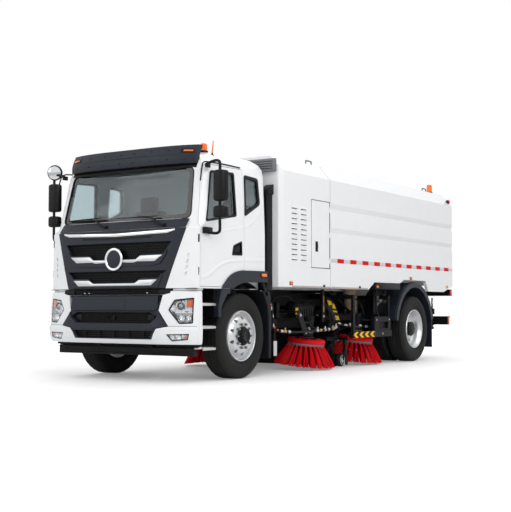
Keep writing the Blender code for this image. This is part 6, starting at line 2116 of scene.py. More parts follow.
def body_fittings():
    """Marker lamps, latches and roof handles of the body."""
    bases, lenses = [], []
    for x, z in ((-0.880, 1.145), (-4.500, 1.288)):
        base, lens = marker(x, HALF, z)
        bases.append(base)
        lenses.append(lens)
    put_sides(joined(bases[:1]), BLACK_TRIM, "chassis", "module_marker_base", slot="navy_plastic")
    put_sides(joined(lenses[:1]), AMBER, "chassis", "module_marker_lens")
    put_sides(joined(bases[1:]), BLACK_TRIM, "hopper", "hopper_marker_base", slot="navy_plastic")
    put_sides(joined(lenses[1:]), AMBER, "hopper", "hopper_marker_lens")
    round_lens = rod((-5.950, HALF - 0.001, 1.180), (-5.950, HALF + 0.014, 1.180), 0.026, 24, edge=0.006)
    put_sides(round_lens, AMBER, "hopper", "round_marker")
    corner_base = rod((-6.120, 1.170, 2.607), (-6.120, 1.205, 2.632), 0.036, 24, edge=0.004)
    put_sides(corner_base, BLACK_TRIM, "hopper", "corner_lamp_base", slot="navy_plastic")
    corner_lens = rod((-6.120, 1.200, 2.628), (-6.120, 1.222, 2.644), 0.027, 24, edge=0.006)
    put_sides(corner_lens, RED_LENS, "hopper", "corner_lamp_lens")
    latches = []
    for x in (-1.725,):
        latches.append(
            (box((x - 0.018, x + 0.018), (HALF - 0.001, HALF + 0.014), (1.112, 1.140), 0.004), "chassis")
        )
    for x in (-2.762,):
        latches.append(
            (box((x - 0.018, x + 0.018), (HALF - 0.001, HALF + 0.014), (1.112, 1.140), 0.004), "hopper")
        )
    for body in ("chassis", "hopper"):
        chosen = [obj for obj, b in latches if b == body]
        put_sides(joined(chosen), BLACK_TRIM, body, body + "_latches", slot="navy_plastic")
    handles = []
    for x, body in ((-1.724, "chassis"), (-5.565, "hopper")):
        top = ROOF_Z + 0.055
        bar = bent(
            (
                (x - 0.075, 1.0, ROOF_Z - 0.004), (x - 0.070, 1.0, top - 0.010), (x - 0.055, 1.0, top),
                (x + 0.055, 1.0, top), (x + 0.070, 1.0, top - 0.010), (x + 0.075, 1.0, ROOF_Z - 0.004)
            ),
            0.010, 10, smooth=4
        )
        feet = [
            box(
                (x + s * 0.075 - 0.022, x + s * 0.075 + 0.022), (0.978, 1.022),
                (ROOF_Z - 0.001, ROOF_Z + 0.005), 0.002
            )
            for s in (-1, 1)
        ]
        handles.append(joined([bar, *feet]))
        put_sides(handles[-1], GREY, body, body + "_roof_handle", slot="engine_grey")


def beacons():
    """Turning amber lamps on the cab's roof and at the back of the hopper."""
    for x, y, low, high, wide, body, name in (
        (0.450, 0.835, 2.672, 2.768, 0.044, "cab", "cab_beacon"),
        (-6.020, 0.900, 2.792, 2.925, 0.047, "hopper", "hopper_beacon")
    ):
        base = turned(
            ((0, 0), (wide + 0.010, 0), (wide + 0.010, 0.014), (wide + 0.002, 0.022), (0, 0.022)),
            (x, y, low - 0.014), (0, 0, 1), 40
        )
        put_sides(base, BLACK_TRIM, body, name + "_base", slot="navy_plastic")
        rows = [(0, 0.004), (wide, 0.004)]
        tall = high - low - 0.001
        count = 8
        for i in range(count):
            a = 0.010 + (tall - 0.024) * i / count
            b = 0.010 + (tall - 0.024) * (i + 0.5) / count
            rows += [(wide - 0.002 * i / count, a), (wide - 0.0025 - 0.002 * i / count, b)]
        rows += [(wide - 0.006, tall - 0.010), (wide - 0.014, tall - 0.003), (0, tall)]
        lens = turned(rows, (x, y, low), (0, 0, 1), 40)
        put_sides(lens, AMBER, body, name + "_lens")


body_shells()
louvres()
bay_door_fittings()
tape()
body_fittings()
beacons()


# ---------------------------------------------------------------- wheels

# Tyre width, the outer faces of the front and outer rear tyres, and the distance between twin tyres.
WIDTH = 0.276
FRONT_Y = 1.082
REAR_Y = 1.210
SPACING = 0.310


def tyre_shape(x, outer_y, lugs=False):
    """A tyre with grooved tread; lugs deepens its shoulder blocks."""
    middle, half = outer_y - WIDTH / 2, WIDTH / 2
    sides = 144
    wall = (
        (0.3052, 0.80), (0.312, 0.850), (0.322, 0.868), (0.334, 0.900), (0.345, 0.945), (0.352, 0.952),
        (0.356, 0.968), (0.380, 0.988), (0.405, 0.998), (0.412, 1.000), (0.420, 0.994), (0.440, 0.985),
        (0.444, 0.990), (0.448, 0.981), (0.464, 0.960), (0.480, 0.925), (0.492, 0.870), (0.499, 0.812),
        (0.5025, 0.775),
    )
    grooves = (0.56, 0.19, -0.19, -0.56)
    tread = []
    for centre in grooves:
        tread += [
            (0.5055, centre + 0.052, 0), (0.5045, centre + 0.040, 1), (0.4930, centre + 0.026, 1),
            (0.4930, centre - 0.026, 1), (0.5045, centre - 0.040, 1), (0.5055, centre - 0.052, 0)
        ]
    rows = [(r, s, 0) for r, s in wall] + [(0.5050, 0.745, 0)] + tread + [(0.5050, -0.745, 0)] + [
        (r, -s, 0) for r, s in reversed(wall)
    ]
    points, faces = [], []
    for i in range(sides):
        turn = 2 * math.pi * i / sides
        wave = 0.0022 if (i // 2) % 2 else -0.0022
        for r, s, zig in rows:
            y = middle + half * s + (wave if zig else 0.0)
            if 0.74 < abs(s) < 0.93 and r > 0.485 and i % 4 == 0:
                r -= 0.006 if lugs else 0.003
            points.append((x + r * math.cos(turn), y, TYRE_RADIUS + r * math.sin(turn)))
    count = len(rows)
    for i in range(sides):
        j = (i + 1) % sides
        for k in range(count):
            m = (k + 1) % count
            faces.append((i * count + k, i * count + m, j * count + m, j * count + k))
    return solid("tyre", points, faces)


def around(count, radius, x=0.0, shift=0.0):
    """Places (x, z) spread evenly round a wheel's centre."""
    turns = [2 * math.pi * (i + shift) / count for i in range(count)]
    return [(x + radius * math.cos(turn), TYRE_RADIUS + radius * math.sin(turn)) for turn in turns]


def nuts(x, y, radius, count, out, size=0.016):
    """Hexagonal nuts on studs in a ring, facing outward along Y."""
    heads, studs = [], []
    for px, pz in around(count, radius, x):
        washer = turned(
            ((0, 0), (size * 1.12, 0), (size * 1.05, 0.004), (0, 0.004)), (px, y, pz), (0, 1, 0), 20
        )
        head = turned(
            ((0, 0), (size * 0.98, 0), (size * 0.98, out * 0.85), (size * 0.72, out), (0, out)),
            (px, y + 0.003, pz), (0, 1, 0), 6
        )
        stud = rod((px, y, pz), (px, y + out + 0.012, pz), size * 0.48, 12, edge=0.002)
        heads += [washer, head]
        studs.append(stud)
    return heads, studs


def front_wheel():
    """Front rim, drum, hub, nuts and valve."""
    y = FRONT_Y
    rim = turned(
        (
            (0.3047, y - 0.246), (0.3047, y - 0.030), (0.3015, y - 0.014), (0.2990, y - 0.007),
            (0.2950, y - 0.0045), (0.2890, y - 0.0060), (0.2850, y - 0.0120), (0.2825, y - 0.030),
            (0.2790, y - 0.055), (0.2700, y - 0.064), (0.2600, y - 0.064), (0.2500, y - 0.054),
            (0.2380, y - 0.034), (0.2250, y - 0.012), (0.2120, y + 0.001), (0.1950, y + 0.0080),
            (0.1800, y + 0.0110), (0.1650, y + 0.0125), (0.1400, y + 0.0135), (0.1200, y + 0.0140),
            (0.1160, y + 0.0120), (0.1100, y + 0.0100), (0, y + 0.010), (0, y - 0.040), (0.150, y - 0.040),
            (0.230, y - 0.080), (0.268, y - 0.246),
        ),
        (0, 0, TYRE_RADIUS),
        (0, 1, 0),
        96,
    )
    holes = []
    for px, pz in around(10, 0.212, shift=0.5):
        holes.append(rod((px, y - 0.20, pz), (px, y + 0.10, pz), 0.021, 24))
    cut(rim, *holes)
    bevel(rim, 0.0018, 2, 38)
    put_sides(
        rim, SILVER, "front_wheel_left", "front_rim_look", replaces=("front_rim_left",), slot="silver_rim",
        smooth=40
    )
    drum = turned(
        ((0, -0.150), (0.190, -0.150), (0.205, -0.135), (0.205, -0.060), (0.120, -0.045), (0, -0.045)),
        (0, y - 0.02, TYRE_RADIUS), (0, 1, 0), 48
    )
    put_sides(drum, BLACK, "front_wheel_left", "front_drum", slot="black_steel")
    hub = turned(
        (
            (0, 0.0), (0.114, 0.0), (0.114, 0.010), (0.108, 0.016), (0.104, 0.022), (0.090, 0.026),
            (0.086, 0.046), (0.080, 0.054), (0.066, 0.058), (0.060, 0.057), (0.052, 0.052), (0, 0.050)
        ),
        (0, y + 0.008, TYRE_RADIUS),
        (0, 1, 0),
        64,
    )
    bolts = []
    for px, pz in around(6, 0.073):
        bolts.append(
            turned(((0, 0), (0.007, 0), (0.006, 0.006), (0, 0.006)), (px, y + 0.064, pz), (0, 1, 0), 6)
        )
    put_sides(joined([hub, *bolts]), BLACK_TRIM, "front_wheel_left", "front_hub_look", slot="black_steel")
    heads, studs = nuts(0, y + 0.0125, 0.1430, 10, 0.024, 0.0165)
    put_sides(joined(heads), GREY, "front_wheel_left", "front_nuts", slot="engine_grey", smooth=20)
    put_sides(joined(studs), STEEL, "front_wheel_left", "front_studs", slot="silver_rim")
    valve = bent(
        (
            (0.165, y + 0.004, TYRE_RADIUS + 0.170), (0.172, y + 0.018, TYRE_RADIUS + 0.178),
            (0.186, y + 0.022, TYRE_RADIUS + 0.192)
        ),
        0.004, 8
    )
    put_sides(valve, STEEL, "front_wheel_left", "front_valve", slot="silver_rim")


def rear_wheel():
    """Rear twin rims, drum, hub and nuts."""
    x, y = -WHEELBASE, REAR_Y
    inner = y - SPACING - 0.246
    rim = turned(
        (
            (0.3047, inner), (0.3047, y - 0.030), (0.3010, y - 0.016), (0.2970, y - 0.0100),
            (0.2920, y - 0.0095), (0.2870, y - 0.0130),
            (0.2840, y - 0.030), (0.2800, y - 0.055), (0.2700, y - 0.066), (0.2640, y - 0.085),
            (0.2580, y - 0.120), (0.2500, y - 0.142),
            (0.2380, y - 0.158), (0.2200, y - 0.172), (0.1950, y - 0.182), (0.1700, y - 0.186),
            (0.1200, y - 0.186), (0.1150, y - 0.180),
            (0, y - 0.180), (0, y - 0.300), (0.262, y - 0.300), (0.270, inner),
        ),
        (x, 0, TYRE_RADIUS),
        (0, 1, 0),
        96,
    )
    holes = []
    for px, pz in around(10, 0.218, x, 0.5):
        holes.append(rod((px, y - 0.250, pz), (px, y + 0.10, pz), 0.020, 24))
    cut(rim, *holes)
    bevel(rim, 0.0018, 2, 38)
    put_sides(
        rim, SILVER, "rear_wheels_left", "rear_rim_look", replaces=("rear_rim_left",), slot="silver_rim",
        smooth=40
    )
    drum = turned(
        ((0, 0), (0.205, 0), (0.210, 0.015), (0.210, 0.180), (0.190, 0.200), (0, 0.200)),
        (x, y - 0.610, TYRE_RADIUS), (0, 1, 0), 48
    )
    put_sides(drum, BLACK, "rear_wheels_left", "rear_drum", slot="black_steel")
    hub = turned(
        (
            (0, 0.0), (0.112, 0.0), (0.110, 0.030), (0.104, 0.060), (0.104, 0.098), (0.100, 0.104),
            (0.112, 0.106), (0.112, 0.120), (0.104, 0.128), (0.070, 0.131), (0.060, 0.142), (0.030, 0.146),
            (0, 0.146)
        ),
        (x, y - 0.185, TYRE_RADIUS),
        (0, 1, 0),
        64,
    )
    bolts = []
    for px, pz in around(10, 0.092, x):
        bolts.append(
            turned(((0, 0), (0.009, 0), (0.008, 0.009), (0, 0.009)), (px, y - 0.058, pz), (0, 1, 0), 6)
        )
    put_sides(joined([hub, *bolts]), BLACK_TRIM, "rear_wheels_left", "rear_hub_look", slot="black_steel")
    heads, studs = nuts(x, y - 0.186, 0.1500, 10, 0.024, 0.0165)
    put_sides(joined(heads), GREY, "rear_wheels_left", "rear_nuts", slot="engine_grey", smooth=20)
    put_sides(joined(studs), STEEL, "rear_wheels_left", "rear_studs", slot="silver_rim")


def tyres():
    """Front tyres and the rear twins."""
    put_sides(
        tyre_shape(0.0, FRONT_Y), RUBBER, "front_wheel_left", "front_tyre_look", replaces=("front_tyre_left",),
        slot="tyre_rubber", smooth=50
    )
    outer = tyre_shape(-WHEELBASE, REAR_Y, True)
    put_sides(
        outer, RUBBER, "rear_wheels_left", "outer_tyre_look", replaces=("rear_outer_tyre_left",),
        slot="tyre_rubber", smooth=50
    )
    inner = tyre_shape(-WHEELBASE, REAR_Y - SPACING, True)
    put_sides(
        inner, RUBBER, "rear_wheels_left", "inner_tyre_look", replaces=("rear_inner_tyre_left",),
        slot="tyre_rubber", smooth=50
    )


tyres()
front_wheel()
rear_wheel()


# ---------------------------------------------------------------- brooms

BROOM_CENTRES = {"front": (-2.010, 0.800), "rear": (-3.500, 0.790)}
BROOM_TOP_Z = 0.440
BROOM_TILT = math.radians(-6.0)
TUFTS = 24


def broom_place(place):
    """Where a broom's head stands, tilted outward."""
    x, y = BROOM_CENTRES[place]
    tilt = Matrix.Rotation(BROOM_TILT, 4, "X")
    return Matrix.Translation((x, y, BROOM_TOP_Z)) @ tilt


def add_strand(points, faces, root, tip, thick):
    """Adds one bristle to a mesh: three-cornered, a little bent outward at its middle. Uses one random draw."""
    root, tip = Vector(root), Vector(tip)
    along = (tip - root).normalized()
    side = along.cross(Vector((0, 0, 1))).normalized()
    out = side.cross(along)
    middle = (root + tip) / 2 + Vector((0, 0, 0.010)) * chance.uniform(0.3, 1.4)
    base = len(points)
    for point, size in ((root, thick), (middle, thick), (tip, thick * 0.8)):
        points += [point + side * size, point - side * size, point + out * size * 0.9]
    for level in (0, 3):
        for k in range(3):
            m = (k + 1) % 3
            faces.append((base + level + k, base + level + m, base + level + 3 + m, base + level + 3 + k))
    faces += [(base + 8, base + 7, base + 6), (base, base + 1, base + 2)]


def broom_head():
    """Layout with the spin axis through the origin and the disc's top at zero."""
    disc = turned(
        (
            (0, 0.0), (0.090, 0.0), (0.096, -0.003), (0.100, -0.012), (0.150, -0.016), (0.205, -0.018),
            (0.232, -0.020), (0.246, -0.024),
            (0.254, -0.032), (0.258, -0.044), (0.258, -0.066), (0.254, -0.078), (0.246, -0.084),
            (0.200, -0.086), (0, -0.086),
        ),
        (0, 0, 0),
        (0, 0, 1),
        72,
    )
    ring = turned(
        ((0.205, -0.080), (0.250, -0.080), (0.252, -0.096), (0.246, -0.108), (0.205, -0.108)), (0, 0, 0),
        (0, 0, 1), 72
    )
    screws = []
    for i in range(8):
        turn = 2 * math.pi * i / 8
        screws.append(
            turned(
                ((0, 0), (0.011, 0), (0.010, 0.008), (0, 0.008)),
                (0.175 * math.cos(turn), 0.175 * math.sin(turn), -0.018), (0, 0, 1), 6
            )
        )
    points, faces = [], []
    for i in range(TUFTS):
        turn = 2 * math.pi * i / TUFTS
        lean = turn + 0.06
        for _ in range(40):
            spread = chance.uniform(-1, 1)
            depth = chance.uniform(-1, 1)
            a = turn + spread * 0.030
            b = lean + spread * 0.100 + chance.uniform(-0.006, 0.006)
            root_r = 0.228 + depth * 0.012
            tip_r = 0.400 + depth * 0.022 + chance.uniform(-0.004, 0.004)
            tip_z = -0.378 + chance.uniform(-0.003, 0.006)
            root = (root_r * math.cos(a), root_r * math.sin(a), -0.098)
            tip = (tip_r * math.cos(b), tip_r * math.sin(b), tip_z)
            add_strand(points, faces, root, tip, chance.uniform(0.0026, 0.0036))
        cup = rod(
            (0.224 * math.cos(turn), 0.224 * math.sin(turn), -0.100),
            (0.236 * math.cos(turn), 0.236 * math.sin(turn), -0.126), 0.014, 12, 0.016
        )
        screws.append(cup)
    bristles = solid("bristles", points, faces)
    points, faces = [], []
    for i in range(TUFTS * 2):
        turn = math.pi * (i + 0.5) / TUFTS
        for _ in range(7):
            a = turn + chance.uniform(-0.05, 0.05)
            b = turn + 0.06 + chance.uniform(-0.085, 0.085)
            root = (0.212 * math.cos(a), 0.212 * math.sin(a), -0.098)
            tip_r = 0.362 + chance.uniform(-0.012, 0.012)
            tip = (tip_r * math.cos(b), tip_r * math.sin(b), -0.372)
            add_strand(points, faces, root, tip, chance.uniform(0.0050, 0.0070))
    return disc, joined([ring, *screws]), bristles, solid("bristles", points, faces)


def brooms():
    """Four brooms: disc, ring, hub and two layers of bristles; the inner layer's darker red is painted shade
    inside the broom.
    """
    disc, metal, bristles, inner = broom_head()
    for place in ("front", "rear"):
        where = broom_place(place)
        body = place + "_broom_left"
        put_sides(
            moved(twin(disc), where), RED, body, place + "_broom_disc", replaces=(place + "_broom_left",),
            slot="broom_red"
        )
        put_sides(moved(twin(metal), where), GREY, body, place + "_broom_ring", slot="engine_grey")
        hub = turned(
            (
                (0, 0.004), (0.080, 0.004), (0.092, -0.002), (0.110, -0.010), (0.150, -0.0145),
                (0.176, -0.0150), (0.178, -0.020), (0, -0.020)
            ),
            (0, 0, 0), (0, 0, 1), 56
        )
        put_sides(moved(hub, where), BLACK, body, place + "_broom_hub", slot="black_steel")
        # The inner layer is darker red: painted shade inside the broom and between its tufts.
        put_sides(
            moved(twin(inner), where), BROOM_RED_SHADE, body, place + "_broom_bristles_inner", slot="broom_red",
            smooth=0
        )
        put_sides(
            moved(twin(bristles), where), RED, body, place + "_broom_bristles", slot="broom_red", smooth=0
        )
    for spare in (disc, metal, bristles, inner):
        bpy.data.objects.remove(spare)


brooms()


# ---------------------------------------------------------------- frame, axles and underbody

RAIL_Z = (TYRE_RADIUS + 0.234, TYRE_RADIUS + 0.479)


def nut_at(place, axis, radius=0.012, deep=0.010):
    """A hexagon head on a round washer."""
    along = Vector(axis).normalized()
    place = Vector(place)
    washer = rod(place, place + along * deep * 0.25, radius * 1.45, 20)
    head = rod(place + along * deep * 0.2, place + along * deep, radius, 6, edge=deep * 0.12)
    return [washer, head]


def fitting(start, end, radius):
    """A hose coupling: two collars and a hexagon between them."""
    start, end = Vector(start), Vector(end)
    pieces = [rod(start, start.lerp(end, 0.30), radius * 0.8, 14, edge=0.001)]
    pieces.append(rod(start.lerp(end, 0.28), start.lerp(end, 0.55), radius * 1.15, 6, edge=0.001))
    pieces.append(rod(start.lerp(end, 0.52), start.lerp(end, 0.85), radius, 16, edge=0.001))
    pieces.append(rod(start.lerp(end, 0.83), end, radius * 0.72, 14))
    return pieces


def frame_look():
    """Chassis rails, brackets, splash panels, the nozzle's curtain, and dark sheets that paint the shade under
    the body.
    """
    frame_mesh = from_node("chassis_frame", 0.004)
    put(frame_mesh, BLACK, "chassis", "frame_rails", replaces=("chassis_frame",), slot="black_steel", smooth=35)
    bolts = []
    for x in (
        0.70, 0.56, 0.42, -0.62, -0.78, -1.02, -1.18, -1.62, -2.20, -2.62, -3.12, -3.30, -4.20, -5.20, -5.50,
        -5.75
    ):
        for z in (RAIL_Z[0] + 0.055, RAIL_Z[1] - 0.055):
            bolts += nut_at((x, 0.430, z), (0, 1, 0), 0.011, 0.012)
    put_sides(joined(bolts), STEEL, "chassis", "rail_bolts", slot="black_steel", smooth=35)
    panels = [
        box((-1.400, -0.700), (0.432, 0.436), (0.600, 1.085), 0.001),
        box((-2.900, -1.560), (0.432, 0.436), (0.560, 1.085), 0.001),
        box((-3.780, -3.060), (0.432, 0.436), (0.560, 1.085), 0.001),
        box((-4.060, -3.870), (0.432, 0.436), (0.560, 1.085), 0.001),
    ]
    put_sides(joined(panels), BLACK, "chassis", "splash_panels", slot="black_steel", smooth=30)
    # Dark sheets with small hangers near the middle under the body: painted shade, dark where the space under
    # the truck lies in shadow.
    shade_sheets = [
        box((-2.580, -1.250), (0.146, 0.154), (0.110, 0.700), 0.002),
        box((-4.120, -2.960), (0.146, 0.154), (0.110, 0.700), 0.002)
    ]
    for x in (-1.40, -1.80, -2.20, -2.50, -3.10, -3.50, -3.90):
        shade_sheets.append(box((x - 0.020, x + 0.020), (0.154, 0.166), (0.560, 0.700), 0.003))
    put_sides(joined(shade_sheets), HOSE_BLACK, "chassis", "painted_shade_sheets", slot="black_steel", smooth=30)
    put(
        box((-2.9105, -2.9035), (-0.740, 0.740), (0.150, 0.640), 0.002), HOSE_BLACK, "chassis",
        "nozzle_curtain", slot="black_steel", smooth=30
    )


def axles_look():
    """Axles, knuckles and springs."""
    for node, body in (
        ("front_axle", "chassis"), ("rear_axle", "chassis"), ("steering_knuckle_left", "knuckle_left"),
        ("steering_knuckle_right", "knuckle_right")
    ):
        put(
            from_node(node, 0.006, 2, 35), BLACK, body, node + "_cast", replaces=(node,), slot="black_steel",
            smooth=40
        )
    leaves = []
    for x, low, sag, half in (
        (0.0, TYRE_RADIUS - 0.011, 0.100, 0.700), (-WHEELBASE, TYRE_RADIUS + 0.064, 0.090, 0.750)
    ):
        for k in range(4):
            reach = half * (0.98 - 0.20 * k)
            rows = []
            for i in range(17):
                along = -reach + 2 * reach * i / 16
                z = low + sag * (along / half) ** 2 + 0.004 + 0.014 * k
                rows.append(
                    [
                        (x + along, 0.350, z), (x + along, 0.430, z), (x + along, 0.430, z + 0.0095),
                        (x + along, 0.350, z + 0.0095)
                    ]
                )
            leaves.append(loft(rows))
        for s in (-1, 1):
            for y in (0.346, 0.428):
                leaves.append(
                    bent(((x + s * 0.055, y, low - 0.09), (x + s * 0.055, y, low + 0.105)), 0.008, 8, smooth=0)
                )
        leaves.append(box((x - 0.075, x + 0.075), (0.340, 0.440), (low + 0.085, low + 0.103), 0.004))
    put_sides(joined(leaves), BLACK, "chassis", "spring_leaves", slot="black_steel", smooth=35)
    damper = [
        rod((0.20, 0.445, 0.50), (0.16, 0.455, 0.74), 0.030, 20, edge=0.003),
        rod((0.16, 0.455, 0.72), (0.13, 0.46, 0.90), 0.014, 14)
    ]
    put_sides(joined(damper), GREY, "chassis", "front_dampers", slot="engine_grey")
    cans = []
    for x in (-WHEELBASE + 0.20,):
        can = turned(
            (
                (0, 0), (0.050, 0), (0.074, 0.016), (0.076, 0.060), (0.082, 0.064), (0.082, 0.074),
                (0.076, 0.078), (0.074, 0.130), (0.050, 0.150), (0, 0.150)
            ),
            (x, 0.300, TYRE_RADIUS - 0.10), (1, 0, 0.25), 28
        )
        cans.append(can)
    put_sides(joined(cans), BLACK, "chassis", "brake_cans", slot="black_steel", smooth=45)


def engine_look():
    """The truck's engine, gearbox and shaft."""
    block = from_node("engine_and_driveline", 0.012, 3)
    put(
        block, GREY, "chassis", "engine_block", replaces=("engine_and_driveline",), slot="engine_grey",
        smooth=40
    )
    pieces = []
    for k in range(6):
        x = 0.40 - 0.145 * k
        pieces.append(bevel(box((x - 0.060, x + 0.060), (-0.15, 0.15), (1.298, 1.345)), 0.012, 3))
        for s in (-1, 1):
            pieces.append(box((x - 0.012, x + 0.012), sorted((s * 0.318, s * 0.338)), (0.66, 1.25), 0.005))
    for s in (-1, 1):
        pieces.append(box((-0.42, 0.47), sorted((s * 0.318, s * 0.332)), (0.92, 0.945), 0.004))
    pieces.append(bevel(box((-0.42, 0.40), (-0.26, 0.26), (0.565, 0.605)), 0.015, 3))
    put(joined(pieces), GREY, "chassis", "engine_ribs", slot="engine_grey", smooth=40)
    dark = [
        turned(
            ((0, 0), (0.10, 0), (0.12, 0.008), (0.12, 0.030), (0.10, 0.036), (0.05, 0.030), (0, 0.036)),
            (0.498, 0.0, 0.78), (1, 0, 0), 36
        )
    ]
    dark.append(
        turned(
            ((0, 0), (0.06, 0), (0.07, 0.006), (0.07, 0.026), (0, 0.030)), (0.498, 0.18, 1.02), (1, 0, 0), 30
        )
    )
    for k in range(9):
        turn = 2 * math.pi * k / 9
        blade = box((0.0, 0.010), (-0.030, 0.030), (0.06, 0.26), 0.003)
        blade.data.transform(Matrix.Rotation(math.radians(24), 4, "Z"))
        blade.data.transform(Matrix.Translation((0.560, 0, 0.98)) @ Matrix.Rotation(turn, 4, "X"))
        dark.append(blade)
    dark.append(rod((0.495, 0, 0.98), (0.575, 0, 0.98), 0.075, 28, edge=0.006))
    dark.append(bevel(box((0.660, 0.735), (-0.330, 0.330), (0.640, 1.330)), 0.010, 3))
    put(joined(dark), BLACK_TRIM, "chassis", "fan_and_radiator", slot="engine_grey", smooth=40)
    fins = [box((0.652, 0.662), (-0.31, 0.31), (0.67 + 0.022 * k, 0.676 + 0.022 * k)) for k in range(29)]
    put(joined(fins), GREY, "chassis", "radiator_fins", slot="engine_grey", smooth=30)
    flanges = []
    for x, z, radius in (
        (-0.52, 0.78, 0.205), (-0.80, 0.78, 0.180), (-1.10, 0.78, 0.125), (-2.45, 0.698, 0.075),
        (-4.20, 0.585, 0.078)
    ):
        flanges.append(turned(((0, 0), (radius, 0), (radius, 0.022), (0, 0.022)), (x, 0, z), (-1, 0, 0), 32))
        for k in range(8):
            turn = 2 * math.pi * k / 8
            flanges.append(
                rod(
                    (x + 0.006, radius * 0.88 * math.cos(turn), z + radius * 0.88 * math.sin(turn)),
                    (x - 0.030, radius * 0.88 * math.cos(turn), z + radius * 0.88 * math.sin(turn)), 0.008, 6
                )
            )
    put(joined(flanges), STEEL, "chassis", "driveline_flanges", slot="engine_grey", smooth=40)


def auxiliary_look():
    """The sweeper's own engine inside the front module."""
    x0, x1, z0 = -1.750, -0.900, 1.3105
    body = bevel(box((x0, x1 - 0.18), (-0.36, 0.36), (z0, z0 + 0.34)), 0.015, 3)
    pieces = [body]
    for k in range(4):
        x = x0 + 0.10 + 0.15 * k
        pieces.append(bevel(box((x - 0.055, x + 0.055), (-0.14, 0.14), (z0 + 0.33, z0 + 0.47)), 0.012, 3))
        for s in (-1, 1):
            pieces.append(
                box((x - 0.010, x + 0.010), sorted((s * 0.355, s * 0.372)), (z0 + 0.03, z0 + 0.31), 0.004)
            )
    pieces.append(rod((x1 - 0.18, 0, z0 + 0.20), (x1 - 0.02, 0, z0 + 0.20), 0.19, 40, edge=0.01))
    pieces.append(
        turned(
            ((0, 0), (0.10, 0), (0.11, 0.006), (0.11, 0.03), (0, 0.034)), (x0 + 0.002, 0.10, z0 + 0.22),
            (-1, 0, 0), 30
        )
    )
    put(
        joined(pieces), GREY, "chassis", "auxiliary_engine_block", replaces=("auxiliary_engine",),
        slot="engine_grey", smooth=40
    )
    dark = [
        turned(
            ((0, 0), (0.105, 0), (0.115, 0.012), (0.115, 0.30), (0.105, 0.315), (0.06, 0.32), (0, 0.32)),
            (x0 + 0.12, 0.405, z0 + 0.55), (1, 0, 0), 36
        ),
        bent(
            (
                (x0 + 0.44, 0.405, z0 + 0.55), (x0 + 0.52, 0.36, z0 + 0.55), (x0 + 0.50, 0.22, z0 + 0.50),
                (x0 + 0.42, 0.16, z0 + 0.42)
            ),
            0.040, 16
        ),
        bevel(box((x0 + 0.04, x0 + 0.36), (-0.53, -0.39), (z0 + 0.05, z0 + 0.52)), 0.02, 3),
        bevel(box((x1 - 0.16, x1), (-0.54, -0.25), (z0, z0 + 0.62)), 0.015, 3),
        bevel(box((x1 - 0.16, x1), (0.25, 0.54), (z0, z0 + 0.62)), 0.015, 3),
    ]
    for s in (-1, 1):
        dark.append(box((x0 + 0.02, x1 - 0.2), sorted((s * 0.30, s * 0.40)), (z0 - 0.0, z0 + 0.04), 0.004))
    put(joined(dark), BLACK, "chassis", "auxiliary_engine_fittings", slot="engine_grey", smooth=45)
    pipes = [
        bent(
            (
                (x0 + 0.08 + 0.15 * k, -0.14, z0 + 0.40), (x0 + 0.08 + 0.15 * k, -0.20, z0 + 0.42),
                (x0 + 0.12 + 0.13 * k, -0.26, z0 + 0.36)
            ),
            0.022, 12
        )
        for k in range(4)
    ]
    pipes.append(rod((x0 + 0.08, -0.265, z0 + 0.36), (x0 + 0.62, -0.265, z0 + 0.36), 0.038, 20, edge=0.006))
    put(joined(pipes), GALVANISED, "chassis", "auxiliary_manifold", slot="engine_grey", smooth=50)


def mudguards_look():
    """Front mudguards and rear fenders with their beads, bolts and stays."""
    for side in SIDES:
        guard = from_node("front_mudguard_" + side, 0.010, 3)
        put(
            guard, NAVY_DARK, "chassis", "mudguard_" + side, replaces=("front_mudguard_" + side,),
            slot="black_steel", smooth=45
        )
        fender = from_node("rear_fender_" + side, 0.012, 3, 40)
        put(
            fender, NAVY, "chassis", "fender_" + side, replaces=("rear_fender_" + side,), slot="navy_plastic",
            smooth=50
        )
    ribs = []
    centre = (-WHEELBASE, TYRE_RADIUS)
    for y in (1.180,):
        rows = []
        for a in range(14, 167, 4):
            turn = math.radians(a)
            ring = []
            for radius, shift in ((0.7135, -0.030), (0.7215, -0.024), (0.7215, 0.012), (0.7135, 0.018)):
                ring.append(
                    (
                        centre[0] + radius * math.cos(turn), y + shift,
                        centre[1] + (radius + 0.007) * math.sin(turn)
                    )
                )
            rows.append(ring)
        ribs.append(loft(rows))
    put_sides(joined(ribs), NAVY, "chassis", "fender_bead", slot="navy_plastic", smooth=50)
    bolts = []
    for z in (0.330, 0.500):
        for y in (0.72, 0.90, 1.08, 1.16):
            bolts += nut_at((-5.3845, y, z + 0.15), (-1, 0, 0), 0.009, 0.008)
    put_sides(joined(bolts), STEEL, "chassis", "flap_bolts", slot="navy_plastic", smooth=35)
    tab = bevel(
        prism(
            (
                (-0.405, 1.150), (-0.455, 1.160), (-0.520, 1.060), (-0.545, 0.985), (-0.500, 0.980),
                (-0.470, 1.045)
            ),
            "y", 1.060, 1.100
        ),
        0.004
    )
    put_sides(tab, NAVY_DARK, "chassis", "mudguard_stay", slot="black_steel", smooth=35)


